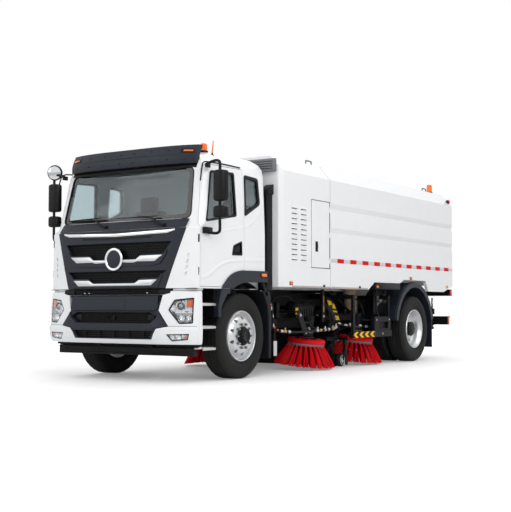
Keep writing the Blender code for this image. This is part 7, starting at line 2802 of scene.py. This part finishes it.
def skirt():
    """The dark rail under the hopper's front part, with the panel and valves below it."""
    rail = prism(
        ((-3.275, 1.109), (-3.262, 1.150), (-3.300, 1.199), (-4.120, 1.199), (-4.120, 1.109)), "y", 1.060, 1.226
    )
    bevel(rail, 0.006, 2, 35)
    panel = box((-4.100, -3.640), (1.000, 1.012), (0.735, 1.112), 0.004)
    brace = box((-3.330, -3.290), (0.436, 1.060), (1.125, 1.165), 0.004)
    put_sides(joined([rail, panel, brace]), NAVY_DARK, "chassis", "skirt_rail", slot="navy_plastic", smooth=35)
    base, lens = marker(-3.322, 1.226, 1.143, deep=0.014)
    put_sides(base, BLACK_TRIM, "chassis", "skirt_marker_base", slot="navy_plastic")
    put_sides(lens, AMBER, "chassis", "skirt_marker_lens")
    valves = []
    for x, z in (
        (-3.700, 0.985), (-3.765, 0.940), (-3.845, 0.945), (-3.930, 1.010), (-3.980, 0.930), (-3.730, 0.900)
    ):
        valves += fitting((x, 1.012, z), (x - 0.010, 1.060, z + 0.012), 0.020)
        valves += nut_at((x - 0.03, 1.012, z - 0.025), (0, 1, 0), 0.010, 0.014)
    valves += fitting((-3.76, 1.050, 0.940), (-3.86, 1.050, 0.946), 0.016)
    put_sides(joined(valves), STEEL, "chassis", "skirt_valves", slot="black_steel", smooth=40)
    pipes = [
        bent(
            (
                (-3.640, 1.030, 1.090), (-3.600, 1.045, 1.030), (-3.640, 1.050, 0.960), (-3.705, 1.050, 0.930),
                (-3.760, 1.050, 0.940)
            ),
            0.008, 8
        ),
        bent(
            (
                (-3.860, 1.050, 0.946), (-3.920, 1.045, 0.900), (-3.985, 1.040, 0.930), (-3.970, 1.030, 1.020),
                (-3.930, 1.035, 1.095)
            ),
            0.008, 8
        ),
        bent(
            (
                (-3.527, 1.105, 1.110), (-3.530, 1.108, 0.960), (-3.532, 1.112, 0.800), (-3.560, 1.118, 0.735),
                (-3.584, 1.120, 0.706)
            ),
            0.013, 10
        ),
        bent(
            (
                (-3.700, 1.020, 0.985), (-3.720, 1.035, 1.040), (-3.800, 1.040, 1.050), (-3.880, 1.035, 1.045),
                (-3.930, 1.020, 1.010)
            ),
            0.006, 8
        ),
    ]
    put_sides(joined(pipes), HOSE_BLACK, "chassis", "skirt_hoses", slot="black_steel", smooth=50)


def side_guards():
    """The side guard beams with chevrons on the left and right."""
    for side, sign in (("left", 1), ("right", -1)):
        guard = from_node("side_guard_" + side, 0.004)
        cut(guard, box((-3.840, -3.520), sorted((sign * 1.112, sign * 1.20)), (0.530, 0.628)))
        put(
            guard, BLACK, "chassis", "guard_beam_" + side, replaces=("side_guard_" + side,), slot="black_steel",
            smooth=35
        )
    ground = box((-3.405, -2.672), (1.1695, 1.1712), (0.412, 0.498), 0.0006)
    put_sides(ground, NAVY_DARK, "chassis", "guard_marking_ground", slot="black_steel", smooth=30)
    arrows = []
    for k in range(4):
        x = -2.688 - 0.172 * k
        arrows.append(
            prism(
                (
                    (x, 0.455), (x - 0.072, 0.496), (x - 0.150, 0.496), (x - 0.078, 0.455), (x - 0.150, 0.414),
                    (x - 0.072, 0.414)
                ),
                "y", 1.1705, 1.1722
            )
        )
    put_sides(joined(arrows), YELLOW, "chassis", "guard_chevrons", slot="navy_plastic", smooth=30)
    inside = []
    inside += nut_at((-3.62, 1.1705, 0.455), (0, 1, 0), 0.010, 0.006)
    inside += nut_at((-3.46, 1.1505, 0.660), (0, 1, 0), 0.010, 0.008)
    inside += nut_at((-3.88, 1.1505, 0.660), (0, 1, 0), 0.010, 0.008)
    put_sides(joined(inside), STEEL, "chassis", "guard_fittings", slot="black_steel", smooth=40)


def tank_look():
    """Tank and boxes beside the frame."""
    x, y, z, half, radius = -1.915, 0.750, TYRE_RADIUS + 0.336, 0.235, 0.095
    bands = []
    for k in range(9):
        at = x - half + 0.030 + (2 * half - 0.060) * k / 8
        bands.append(
            turned(
                (
                    (radius - 0.004, -0.014), (radius + 0.003, -0.011), (radius + 0.004, 0.0),
                    (radius + 0.003, 0.011), (radius - 0.004, 0.014)
                ),
                (at, y, z), (1, 0, 0), 40
            )
        )
    for s in (-1, 1):
        bands.append(
            turned(
                ((0, 0.030), (0.030, 0.029), (0.065, 0.020), (0.088, 0.004), (0.0948, -0.010), (0, -0.010)),
                (x + s * half, y, z), (s, 0, 0), 40
            )
        )
    put_sides(joined(bands), HOSE_BLACK, "chassis", "air_tank_shell", slot="black_steel", smooth=50)
    low = bevel(box((-2.110, -1.645), (0.700, 0.832), (0.700, 0.748)), 0.010, 3)
    ribs = [low]
    for k in range(8):
        at = -2.085 + 0.060 * k
        ribs.append(box((at - 0.018, at + 0.018), (0.828, 0.850), (0.704, 0.842), 0.006))
    put_sides(joined(ribs), BLACK, "chassis", "battery_box", slot="black_steel", smooth=40)
    blank = box((-1.700, -1.632), (0.848, 0.8515), (0.752, 0.838), 0.001)
    put_sides(blank, YELLOW, "chassis", "blank_plate", slot="navy_plastic", smooth=30)


def underbody():
    """Plates, struts, hoses and couplings behind the front wheels."""
    plates = [
        bevel(
            prism(
                (
                    (-1.420, 0.800), (-1.470, 0.812), (-1.555, 0.745), (-1.700, 0.520), (-1.690, 0.478),
                    (-1.600, 0.474), (-1.455, 0.700)
                ),
                "y", 0.988, 1.000
            ),
            0.003
        ),
        bevel(
            prism(
                (
                    (-2.552, 0.985), (-2.640, 0.985), (-2.760, 0.925), (-2.880, 0.790), (-2.975, 0.640),
                    (-2.760, 0.640), (-2.690, 0.760), (-2.600, 0.850)
                ),
                "y", 0.795, 0.810
            ),
            0.003
        ),
        box((-2.312, -2.252), (0.880, 0.912), (0.640, 1.092), 0.006),
        box((-2.330, -2.240), (0.436, 0.905), (1.040, 1.080), 0.004),
        box((-2.870, -2.700), (0.436, 0.800), (1.000, 1.040), 0.004),
        box((-1.480, -1.400), (0.436, 0.992), (0.770, 0.800), 0.004),
        box((-3.640, -3.540), (0.600, 0.660), (0.700, 0.800), 0.010),
        bevel(box((-3.030, -2.690), (0.600, 0.780), (0.520, 0.640)), 0.012, 3),
        bevel(box((-1.420, -1.060), (0.500, 0.700), (0.560, 0.700)), 0.015, 3),
    ]
    for x in (-1.06, -1.20, -1.34):
        plates.append(bevel(box((x - 0.035, x + 0.035), (0.520, 0.760), (0.700, 0.900)), 0.015, 3))
    strut = [
        rod((-2.905, 0.700, 1.060), (-3.300, 0.680, 0.880), 0.026, 18, edge=0.003),
        rod((-3.290, 0.680, 0.884), (-3.590, 0.660, 0.748), 0.015, 14)
    ]
    plates += strut
    put_sides(joined(plates), BLACK, "chassis", "underbody_plates", slot="black_steel", smooth=38)
    yellow = []
    for points in (
        ((-2.575, 0.945), (-2.690, 0.930), (-2.720, 0.880), (-2.625, 0.868)),
        ((-2.740, 0.905), (-2.790, 0.880), (-2.830, 0.822), (-2.730, 0.830)),
        ((-2.742, 0.800), (-2.862, 0.790), (-2.872, 0.770), (-2.756, 0.776)),
        ((-2.800, 0.724), (-2.905, 0.720), (-2.938, 0.662), (-2.825, 0.662)),
    ):
        yellow.append(prism(points, "y", 0.8095, 0.8115))
    yellow.append(box((-2.300, -2.288), (0.9118, 0.9135), (0.780, 1.000)))
    put_sides(joined(yellow), YELLOW, "chassis", "blank_panels", slot="navy_plastic", smooth=30)
    tubes = [
        bent(
            (
                (-0.96, 1.000, 0.540), (-1.30, 1.014, 0.522), (-1.80, 1.020, 0.528), (-2.28, 1.014, 0.540),
                (-2.50, 0.960, 0.560), (-2.64, 0.880, 0.604)
            ),
            0.016, 12
        ),
        bent(
            (
                (-0.76, 0.960, 0.940), (-0.80, 0.985, 0.840), (-0.84, 0.985, 0.700), (-0.86, 0.985, 0.580),
                (-0.90, 0.990, 0.545), (-0.96, 1.000, 0.540)
            ),
            0.009, 10
        ),
        bent(
            ((-1.64, 0.860, 0.690), (-1.76, 0.900, 0.640), (-1.92, 0.900, 0.645), (-2.02, 0.880, 0.690)), 0.014,
            10
        ),
        bent(
            ((-1.10, 0.780, 0.900), (-1.20, 0.820, 0.980), (-1.42, 0.840, 0.990), (-1.60, 0.820, 0.930)), 0.010,
            10
        ),
        bent(
            ((-2.28, 0.930, 0.900), (-2.40, 0.930, 0.800), (-2.44, 0.930, 0.660), (-2.52, 0.920, 0.600)), 0.010,
            10
        ),
        bent(
            ((-3.03, 0.780, 0.600), (-3.15, 0.900, 0.590), (-3.30, 1.000, 0.565), (-3.42, 1.060, 0.560)), 0.012,
            10
        ),
        bent(((-1.90, 0.900, 0.640), (-1.93, 0.910, 0.580), (-1.98, 0.990, 0.545)), 0.018, 12),
        bent(
            ((-2.66, 0.900, 0.610), (-2.80, 0.960, 0.580), (-2.95, 1.020, 0.560), (-3.10, 1.050, 0.545)), 0.012,
            10
        ),
        bent(
            (
                (-2.95, 0.80, 0.99), (-3.10, 0.82, 1.03), (-3.30, 0.85, 0.99), (-3.42, 0.90, 0.90),
                (-3.44, 0.95, 0.74)
            ),
            0.010, 10
        ),
    ]
    put_sides(joined(tubes), HOSE_BLACK, "chassis", "underbody_hoses", slot="black_steel", smooth=50)
    bright, brass, red = [], [], []
    for k, (x, y, z) in enumerate(
        (
            (-0.99, 1.002, 0.538), (-1.06, 1.006, 0.534), (-1.16, 1.010, 0.528), (-1.88, 1.020, 0.530),
            (-1.97, 1.020, 0.533), (-2.09, 1.018, 0.536), (-2.20, 1.016, 0.540), (-2.33, 1.008, 0.545),
            (-2.42, 0.985, 0.552), (-2.52, 0.955, 0.562)
        )
    ):
        target = brass if k % 3 == 1 else bright
        target += fitting((x, y, z), (x - 0.060, y + 0.002, z + 0.003), 0.021)
        if k % 2:
            target += fitting((x - 0.03, y - 0.005, z + 0.010), (x - 0.035, y + 0.012, z + 0.052), 0.014)
    for x, y, z in ((-0.80, 0.985, 0.86), (-0.835, 0.985, 0.760), (-0.85, 0.985, 0.640)):
        bright += fitting((x, y, z), (x - 0.006, y, z - 0.05), 0.012)
    for x, y, z in (
        (-0.765, 0.965, 0.930), (-0.800, 0.975, 0.880), (-0.862, 0.990, 0.590), (-0.930, 0.998, 0.560)
    ):
        red.append(box((x - 0.016, x + 0.016), (y - 0.008, y + 0.010), (z - 0.008, z + 0.010), 0.003))
    for x, y, z in (
        (-2.700, 0.905, 0.612), (-2.800, 0.955, 0.590), (-2.900, 1.000, 0.575), (-3.100, 0.870, 0.596),
        (-3.230, 0.965, 0.578), (-3.330, 1.015, 0.566)
    ):
        bright += fitting((x, y, z), (x - 0.055, y + 0.020, z - 0.005), 0.020)
    bright += nut_at(
        (-2.282, 0.912, 0.72), (0, 1, 0), 0.014, 0.016
    ) + nut_at((-2.282, 0.912, 0.84), (0, 1, 0), 0.012, 0.014)
    bright += nut_at((-1.50, 1.000, 0.740), (0, 1, 0), 0.014, 0.014) + nut_at(
        (-1.645, 1.000, 0.520), (0, 1, 0), 0.016, 0.018
    )
    bright += nut_at((-2.82, 0.810, 0.690), (0, 1, 0), 0.016, 0.020)
    put_sides(joined(bright), STEEL, "chassis", "hose_fittings", slot="black_steel", smooth=40)
    put_sides(joined(brass), BRASS, "chassis", "brass_fittings", slot="black_steel", smooth=40)
    # The red lens surface glows faintly, so these clips carry a little painted light although they are no
    # lamps.
    put_sides(joined(red), RED_LENS, "chassis", "hose_clips", slot="broom_red", smooth=40)
    strip_plate = box((-0.925, -0.850), (0.986, 0.994), (0.232, 0.420), 0.003)
    put_sides(strip_plate, SILVER_GREY, "chassis", "splash_plate", slot="white_paint", smooth=35)
    hanger = [
        box((-0.900, -0.874), (0.976, 0.986), (0.390, 0.560), 0.003),
        box((-0.910, -0.860), (0.436, 0.990), (0.545, 0.575), 0.004)
    ]
    put_sides(joined(hanger), BLACK, "chassis", "splash_hanger", slot="black_steel", smooth=35)


def suction():
    """The suction nozzle with its wheels and flaps, and the ribbed hoses."""
    nozzle = from_node("suction_nozzle", 0.005, 2, 35)
    put(nozzle, BLACK, "chassis", "nozzle_body", replaces=("suction_nozzle",), slot="black_steel", smooth=40)
    pieces, hubs = [], []
    y = 0.775
    wheel_at = (-2.830, y + 0.075, 0.0925)
    rows = [
        (0.040, -0.004), (0.078, -0.002), (0.090, 0.008), (0.0925, 0.020), (0.0925, 0.040), (0.090, 0.052),
        (0.078, 0.064), (0.040, 0.066)
    ]
    pieces.append(turned(rows, wheel_at, (0, 1, 0), 48))
    hubs.append(
        turned(
            (
                (0, 0.0), (0.072, 0.0), (0.072, 0.060), (0.066, 0.068), (0.050, 0.062), (0.030, 0.060),
                (0.022, 0.074), (0, 0.076)
            ),
            wheel_at, (0, 1, 0), 40
        )
    )
    pieces.append(box((-2.912, -2.604), (0.735, 0.752), (0.010, 0.100), 0.004))
    flap = bevel(
        prism(
            ((-2.925, 0.020), (-2.915, 0.150), (-2.950, 0.185), (-3.000, 0.170), (-2.990, 0.016)), "y", 0.905,
            0.917
        ),
        0.003
    )
    put_sides(flap, RUBBER, "chassis", "nozzle_flap", slot="tyre_rubber", smooth=40)
    fork = [
        box((-3.000, -2.780), (0.880, 0.904), (0.150, 0.200), 0.005),
        box((-2.990, -2.940), (0.862, 0.900), (0.190, 0.415), 0.006),
        rod((-2.965, 0.760, 0.395), (-2.965, 0.930, 0.395), 0.020, 18, edge=0.003),
        box((-2.975, -2.600), (0.752, 0.790), (0.370, 0.420), 0.006),
        bent(
            ((-2.830, 0.925, 0.0925), (-2.835, 0.935, 0.160), (-2.870, 0.930, 0.230), (-2.960, 0.890, 0.300)),
            0.012, 10
        ),
        bent(((-2.780, 0.762, 0.150), (-2.760, 0.780, 0.260), (-2.760, 0.700, 0.330)), 0.012, 10),
        box((-2.850, -2.800), (0.700, 0.745), (0.290, 0.420), 0.008),
    ]
    put_sides(joined(pieces), RUBBER, "chassis", "nozzle_wheel", slot="tyre_rubber", smooth=45)
    put_sides(joined(hubs), SILVER_GREY, "chassis", "nozzle_hub", slot="silver_rim", smooth=40)
    put_sides(joined(fork), BLACK, "chassis", "nozzle_fork", slot="black_steel", smooth=45)
    skirts = [box((-2.905, -2.893), (-0.745, 0.745), (0.006, 0.150), 0.003)]
    skirts += [box((-2.626, -2.614), (-0.745, 0.745), (0.040, 0.150), 0.003)]
    for k in range(9):
        yk = -0.68 + 0.17 * k
        skirts += nut_at((-2.614, yk, 0.128), (1, 0, 0), 0.009, 0.008)
    put(joined(skirts), RUBBER, "chassis", "nozzle_skirt", slot="tyre_rubber", smooth=40)
    rings = []
    low, high, count = 0.746, 1.269, 26
    rings.append((0, low))
    for k in range(count):
        at = low + (high - low) * k / count
        step = (high - low) / count
        rings += [
            (0.0935, at), (0.1000, at + step * 0.22), (0.1035, at + step * 0.50), (0.1000, at + step * 0.78)
        ]
    rings += [(0.0935, high), (0, high)]
    hose = turned(rings, (-3.730, 0.580, 0), (0, 0, 1), 48)
    put_sides(
        hose, BEIGE, "chassis", "corrugated_hose", replaces=("suction_hose_left",), slot="hose_beige", smooth=60
    )
    clamps = [
        turned(((0.102, 0), (0.107, 0.002), (0.107, 0.016), (0.102, 0.018)), (-3.730, 0.580, z), (0, 0, 1), 48)
        for z in (0.752, 1.240)
    ]
    clamps.append(rod((-3.690, 0.690, 0.761), (-3.730, 0.690, 0.761), 0.008, 12))
    put_sides(joined(clamps), STEEL, "chassis", "hose_clamps", slot="black_steel", smooth=45)


def arms_look():
    """The brooms' arms with their rings, hoses and couplings."""
    for place, (x, y), (px, py) in (
        ("front", (-2.010, 0.800), (-1.480, 0.520)), ("rear", (-3.500, 0.790), (-2.970, 0.520))
    ):
        for side in SIDES:
            arm = from_node(f"{place}_broom_arm_{side}", 0.006, 2, 35)
            put(
                arm, BLACK, f"{place}_arm_{side}", f"{place}_arm_beam_{side}",
                replaces=(f"{place}_broom_arm_{side}",), slot="black_steel", smooth=40
            )
        heading = math.atan2(y - py, x - px)
        turn = Matrix.Translation((px, py, 0)) @ Matrix.Rotation(heading, 4, "Z")
        pieces = []
        for z in (0.500, 0.560):
            ring = turned(
                ((0.078, 0), (0.088, 0.002), (0.088, 0.014), (0.078, 0.016)), (x, y, z), (0, 0.1045, 0.9945), 36
            )
            pieces.append(ring)
        pieces += nut_at((px, py, 0.645), (0, 0, -1), 0.022, 0.018)
        for along in (0.12, 0.26, 0.40):
            spot = box((along - 0.030, along + 0.030), (0.0395, 0.0440), (0.672, 0.712), 0.002)
            spot.data.transform(turn)
            pieces.append(spot)
        lines = [
            bent(
                (
                    (0.06, 0.030, 0.742), (0.25, 0.026, 0.744), (0.45, 0.030, 0.742), (0.55, 0.050, 0.700),
                    (0.585, 0.085, 0.620), (0.590, 0.088, 0.560)
                ),
                0.009, 10
            )
        ]
        lines.append(
            bent(
                (
                    (0.06, -0.030, 0.742), (0.25, -0.026, 0.744), (0.45, -0.030, 0.742), (0.55, -0.050, 0.700),
                    (0.585, -0.085, 0.620), (0.590, -0.088, 0.560)
                ),
                0.009, 10
            )
        )
        for line in lines:
            line.data.transform(turn)
        ends = []
        for s in (-1, 1):
            piece = joined(fitting((0.590, s * 0.088, 0.590), (0.590, s * 0.088, 0.530), 0.016))
            piece.data.transform(turn)
            ends.append(piece)
        put_sides(
            joined(pieces), GREY, f"{place}_arm_left", f"{place}_arm_fittings", slot="black_steel", smooth=40
        )
        put_sides(
            joined(lines), HOSE_BLACK, f"{place}_arm_left", f"{place}_arm_hoses", slot="black_steel", smooth=50
        )
        put_sides(
            joined(ends), STEEL, f"{place}_arm_left", f"{place}_arm_couplings", slot="black_steel", smooth=40
        )


def rear_end():
    """Lamp bar, rear beam, stays and what is on the tailgate and the roof."""
    bar = from_node("tail_lamp_bar", 0.005)
    put(bar, BLACK, "hopper", "lamp_bar", replaces=("tail_lamp_bar",), slot="black_steel", smooth=35)
    z0, z1 = 1.046, 1.130
    shapes = (
        (0.820, 0.890, WHITE_LENS, "reversing"), (0.893, 1.000, AMBER, "indicator"),
        (1.003, 1.195, RED_LENS, "stop")
    )
    for y0, y1, look, name in shapes:
        lens = [bevel(box((-6.226, -6.199), (y0, y1 - 0.003), (z0, z1)), 0.006, 3)]
        for k in range(int((y1 - y0) / 0.022)):
            y = y0 + 0.012 + 0.022 * k
            lens.append(box((-6.2275, -6.224), (y - 0.003, y + 0.003), (z0 + 0.010, z1 - 0.010), 0.001))
        put_sides(joined(lens), look, "hopper", name + "_lamp", smooth=35)
    frame_shape = ring_of_box((-6.214, -6.1985), (0.808, 1.206), (z0 - 0.010, z1 + 0.008), 0.008)
    put_sides(frame_shape, BLACK_TRIM, "hopper", "tail_lamp_frame", slot="navy_plastic", smooth=35)
    end = box((-6.188, -6.112), (1.219, 1.228), (1.050, 1.126), 0.003)
    put_sides(end, RED_LENS, "hopper", "bar_end_lamp", smooth=35)
    reflector = box((-6.135, -6.066), (1.1945, 1.203), (0.562, 0.678), 0.003)
    put_sides(reflector, ORANGE_RED, "chassis", "beam_end_reflector", smooth=35)
    stripes_red, stripes_white = [], []
    for k in range(12):
        y = -1.16 + 0.194 * k
        target = stripes_red if k % 2 == 0 else stripes_white
        target.append(
            prism(
                ((y, 0.560), (y + 0.13, 0.560), (y + 0.185, 0.680), (y + 0.055, 0.680)), "x", -6.1518, -6.1498
            )
        )
    put(joined(stripes_red), TAPE_RED, "chassis", "beam_stripes_red", slot="white_paint", smooth=30)
    put(joined(stripes_white), TAPE_SILVER, "chassis", "beam_stripes_silver", slot="white_paint", smooth=30)
    rods = [
        rod((-6.030, 0.930, 0.480), (-6.030, 0.930, 1.000), 0.013, 14),
        box((-6.055, -6.005), (0.880, 0.965), (0.725, 0.820), 0.006),
        box((-6.065, -5.995), (0.860, 0.950), (0.470, 0.520), 0.010),
        rod((-5.980, 0.930, 0.545), (-6.090, 0.930, 0.545), 0.012, 12),
        box((-6.060, -6.000), (0.470, 0.900), (0.745, 0.775), 0.004),
    ]
    put_sides(joined(rods), BLACK, "chassis", "rear_stay", slot="black_steel", smooth=40)
    knob = [
        rod((-6.030, 0.940, 0.600), (-6.030, 0.960, 0.600), 0.012, 16),
        rod((-6.030, 0.930, 0.900), (-6.030, 0.930, 0.960), 0.017, 16)
    ]
    put_sides(joined(knob), STEEL, "chassis", "rear_stay_fittings", slot="black_steel", smooth=40)
    # tailgate: seal, latches, grab bar, blank number board and lamp
    seal = bent(
        [
            (-6.196, y, z)
            for y, z in (
                (1.130, 1.320), (1.130, 2.495), (1.060, 2.590), (-1.060, 2.590), (-1.130, 2.495),
                (-1.130, 1.320), (1.130, 1.320)
            )
        ],
        0.008, 8, smooth=0
    )
    put(seal, BLACK_TRIM, "tailgate", "gate_seal", slot="navy_plastic", smooth=50)
    latches = []
    for y in (0.90, 0.40):
        latches.append(box((-6.222, -6.194), (y - 0.045, y + 0.045), (1.335, 1.455), 0.006))
        latches.append(rod((-6.226, y - 0.060, 1.400), (-6.226, y + 0.060, 1.400), 0.012, 14))
        latches.append(box((-6.236, -6.212), (y - 0.012, y + 0.012), (1.345, 1.480), 0.004))
    put_sides(joined(latches), GALVANISED, "tailgate", "gate_latches", slot="engine_grey", smooth=40)
    panels = []
    for y0, y1 in ((0.090, 0.660), (0.840, 1.085)):
        for zc in (1.60, 2.05, 2.40):
            panels.append(box((-6.201, -6.194), (y0, y1), (zc - 0.13, zc + 0.10), 0.003))
    put_sides(joined(panels), WHITE, "tailgate", "gate_pressings", slot="white_paint", smooth=35)
    grab = bent(
        ((-6.196, -0.30, 1.80), (-6.232, -0.30, 1.80), (-6.232, -0.30, 2.00), (-6.196, -0.30, 2.00)), 0.009, 10,
        smooth=5
    )
    board = [box((-6.208, -6.194), (-0.62, -0.12), (1.345, 1.475), 0.003)]
    put(grab, BLACK_TRIM, "tailgate", "gate_grab_bar", slot="navy_plastic", smooth=50)
    put(joined(board), SILVER_GREY, "tailgate", "blank_number_board", slot="navy_plastic", smooth=35)
    lamp = box((-6.222, -6.196), (-0.42, -0.32), (1.482, 1.500), 0.004)
    put(lamp, WHITE_LENS, "tailgate", "board_lamp", smooth=35)
    # roof pressings
    roof = []
    for x in (-2.35, -3.05, -3.75, -4.45, -5.15):
        rib = bevel(box((x - 0.030, x + 0.030), (-0.985, 0.985), (2.748, 2.764)), 0.007, 3)
        roof.append(rib)
    roof.append(bevel(box((-2.92, -2.47), (-0.36, 0.36), (2.748, 2.774)), 0.010, 3))
    roof.append(bevel(box((-5.02, -4.57), (-0.36, 0.36), (2.748, 2.774)), 0.010, 3))
    put(joined(roof), WHITE, "hopper", "roof_pressings", slot="white_paint", smooth=40)
    cap = [
        turned(
            ((0, 0), (0.060, 0), (0.060, 0.020), (0.052, 0.028), (0, 0.030)), (-1.25, 0.55, 2.749), (0, 0, 1),
            32
        )
    ]
    for k in range(7):
        cap.append(box((-1.70 + 0.060 * k, -1.67 + 0.060 * k), (-0.42, 0.10), (2.748, 2.760), 0.003))
    put(joined(cap), BLACK_TRIM, "chassis", "module_roof_vents", slot="navy_plastic", smooth=40)


def ring_of_box(x, y, z, wide):
    """A thin rectangular frame facing backward."""
    outer = ((y[0], z[0]), (y[1], z[0]), (y[1], z[1]), (y[0], z[1]))
    frame_shape = prism(outer, "x", *x)
    cut(frame_shape, box((x[0] - 0.01, x[1] + 0.01), (y[0] + wide, y[1] - wide), (z[0] + wide, z[1] - wide)))
    return bevel(frame_shape, 0.002, 2, 35)


frame_look()
axles_look()
engine_look()
auxiliary_look()
mudguards_look()
skirt()
side_guards()
tank_look()
underbody()
suction()
arms_look()
rear_end()
make_stage()
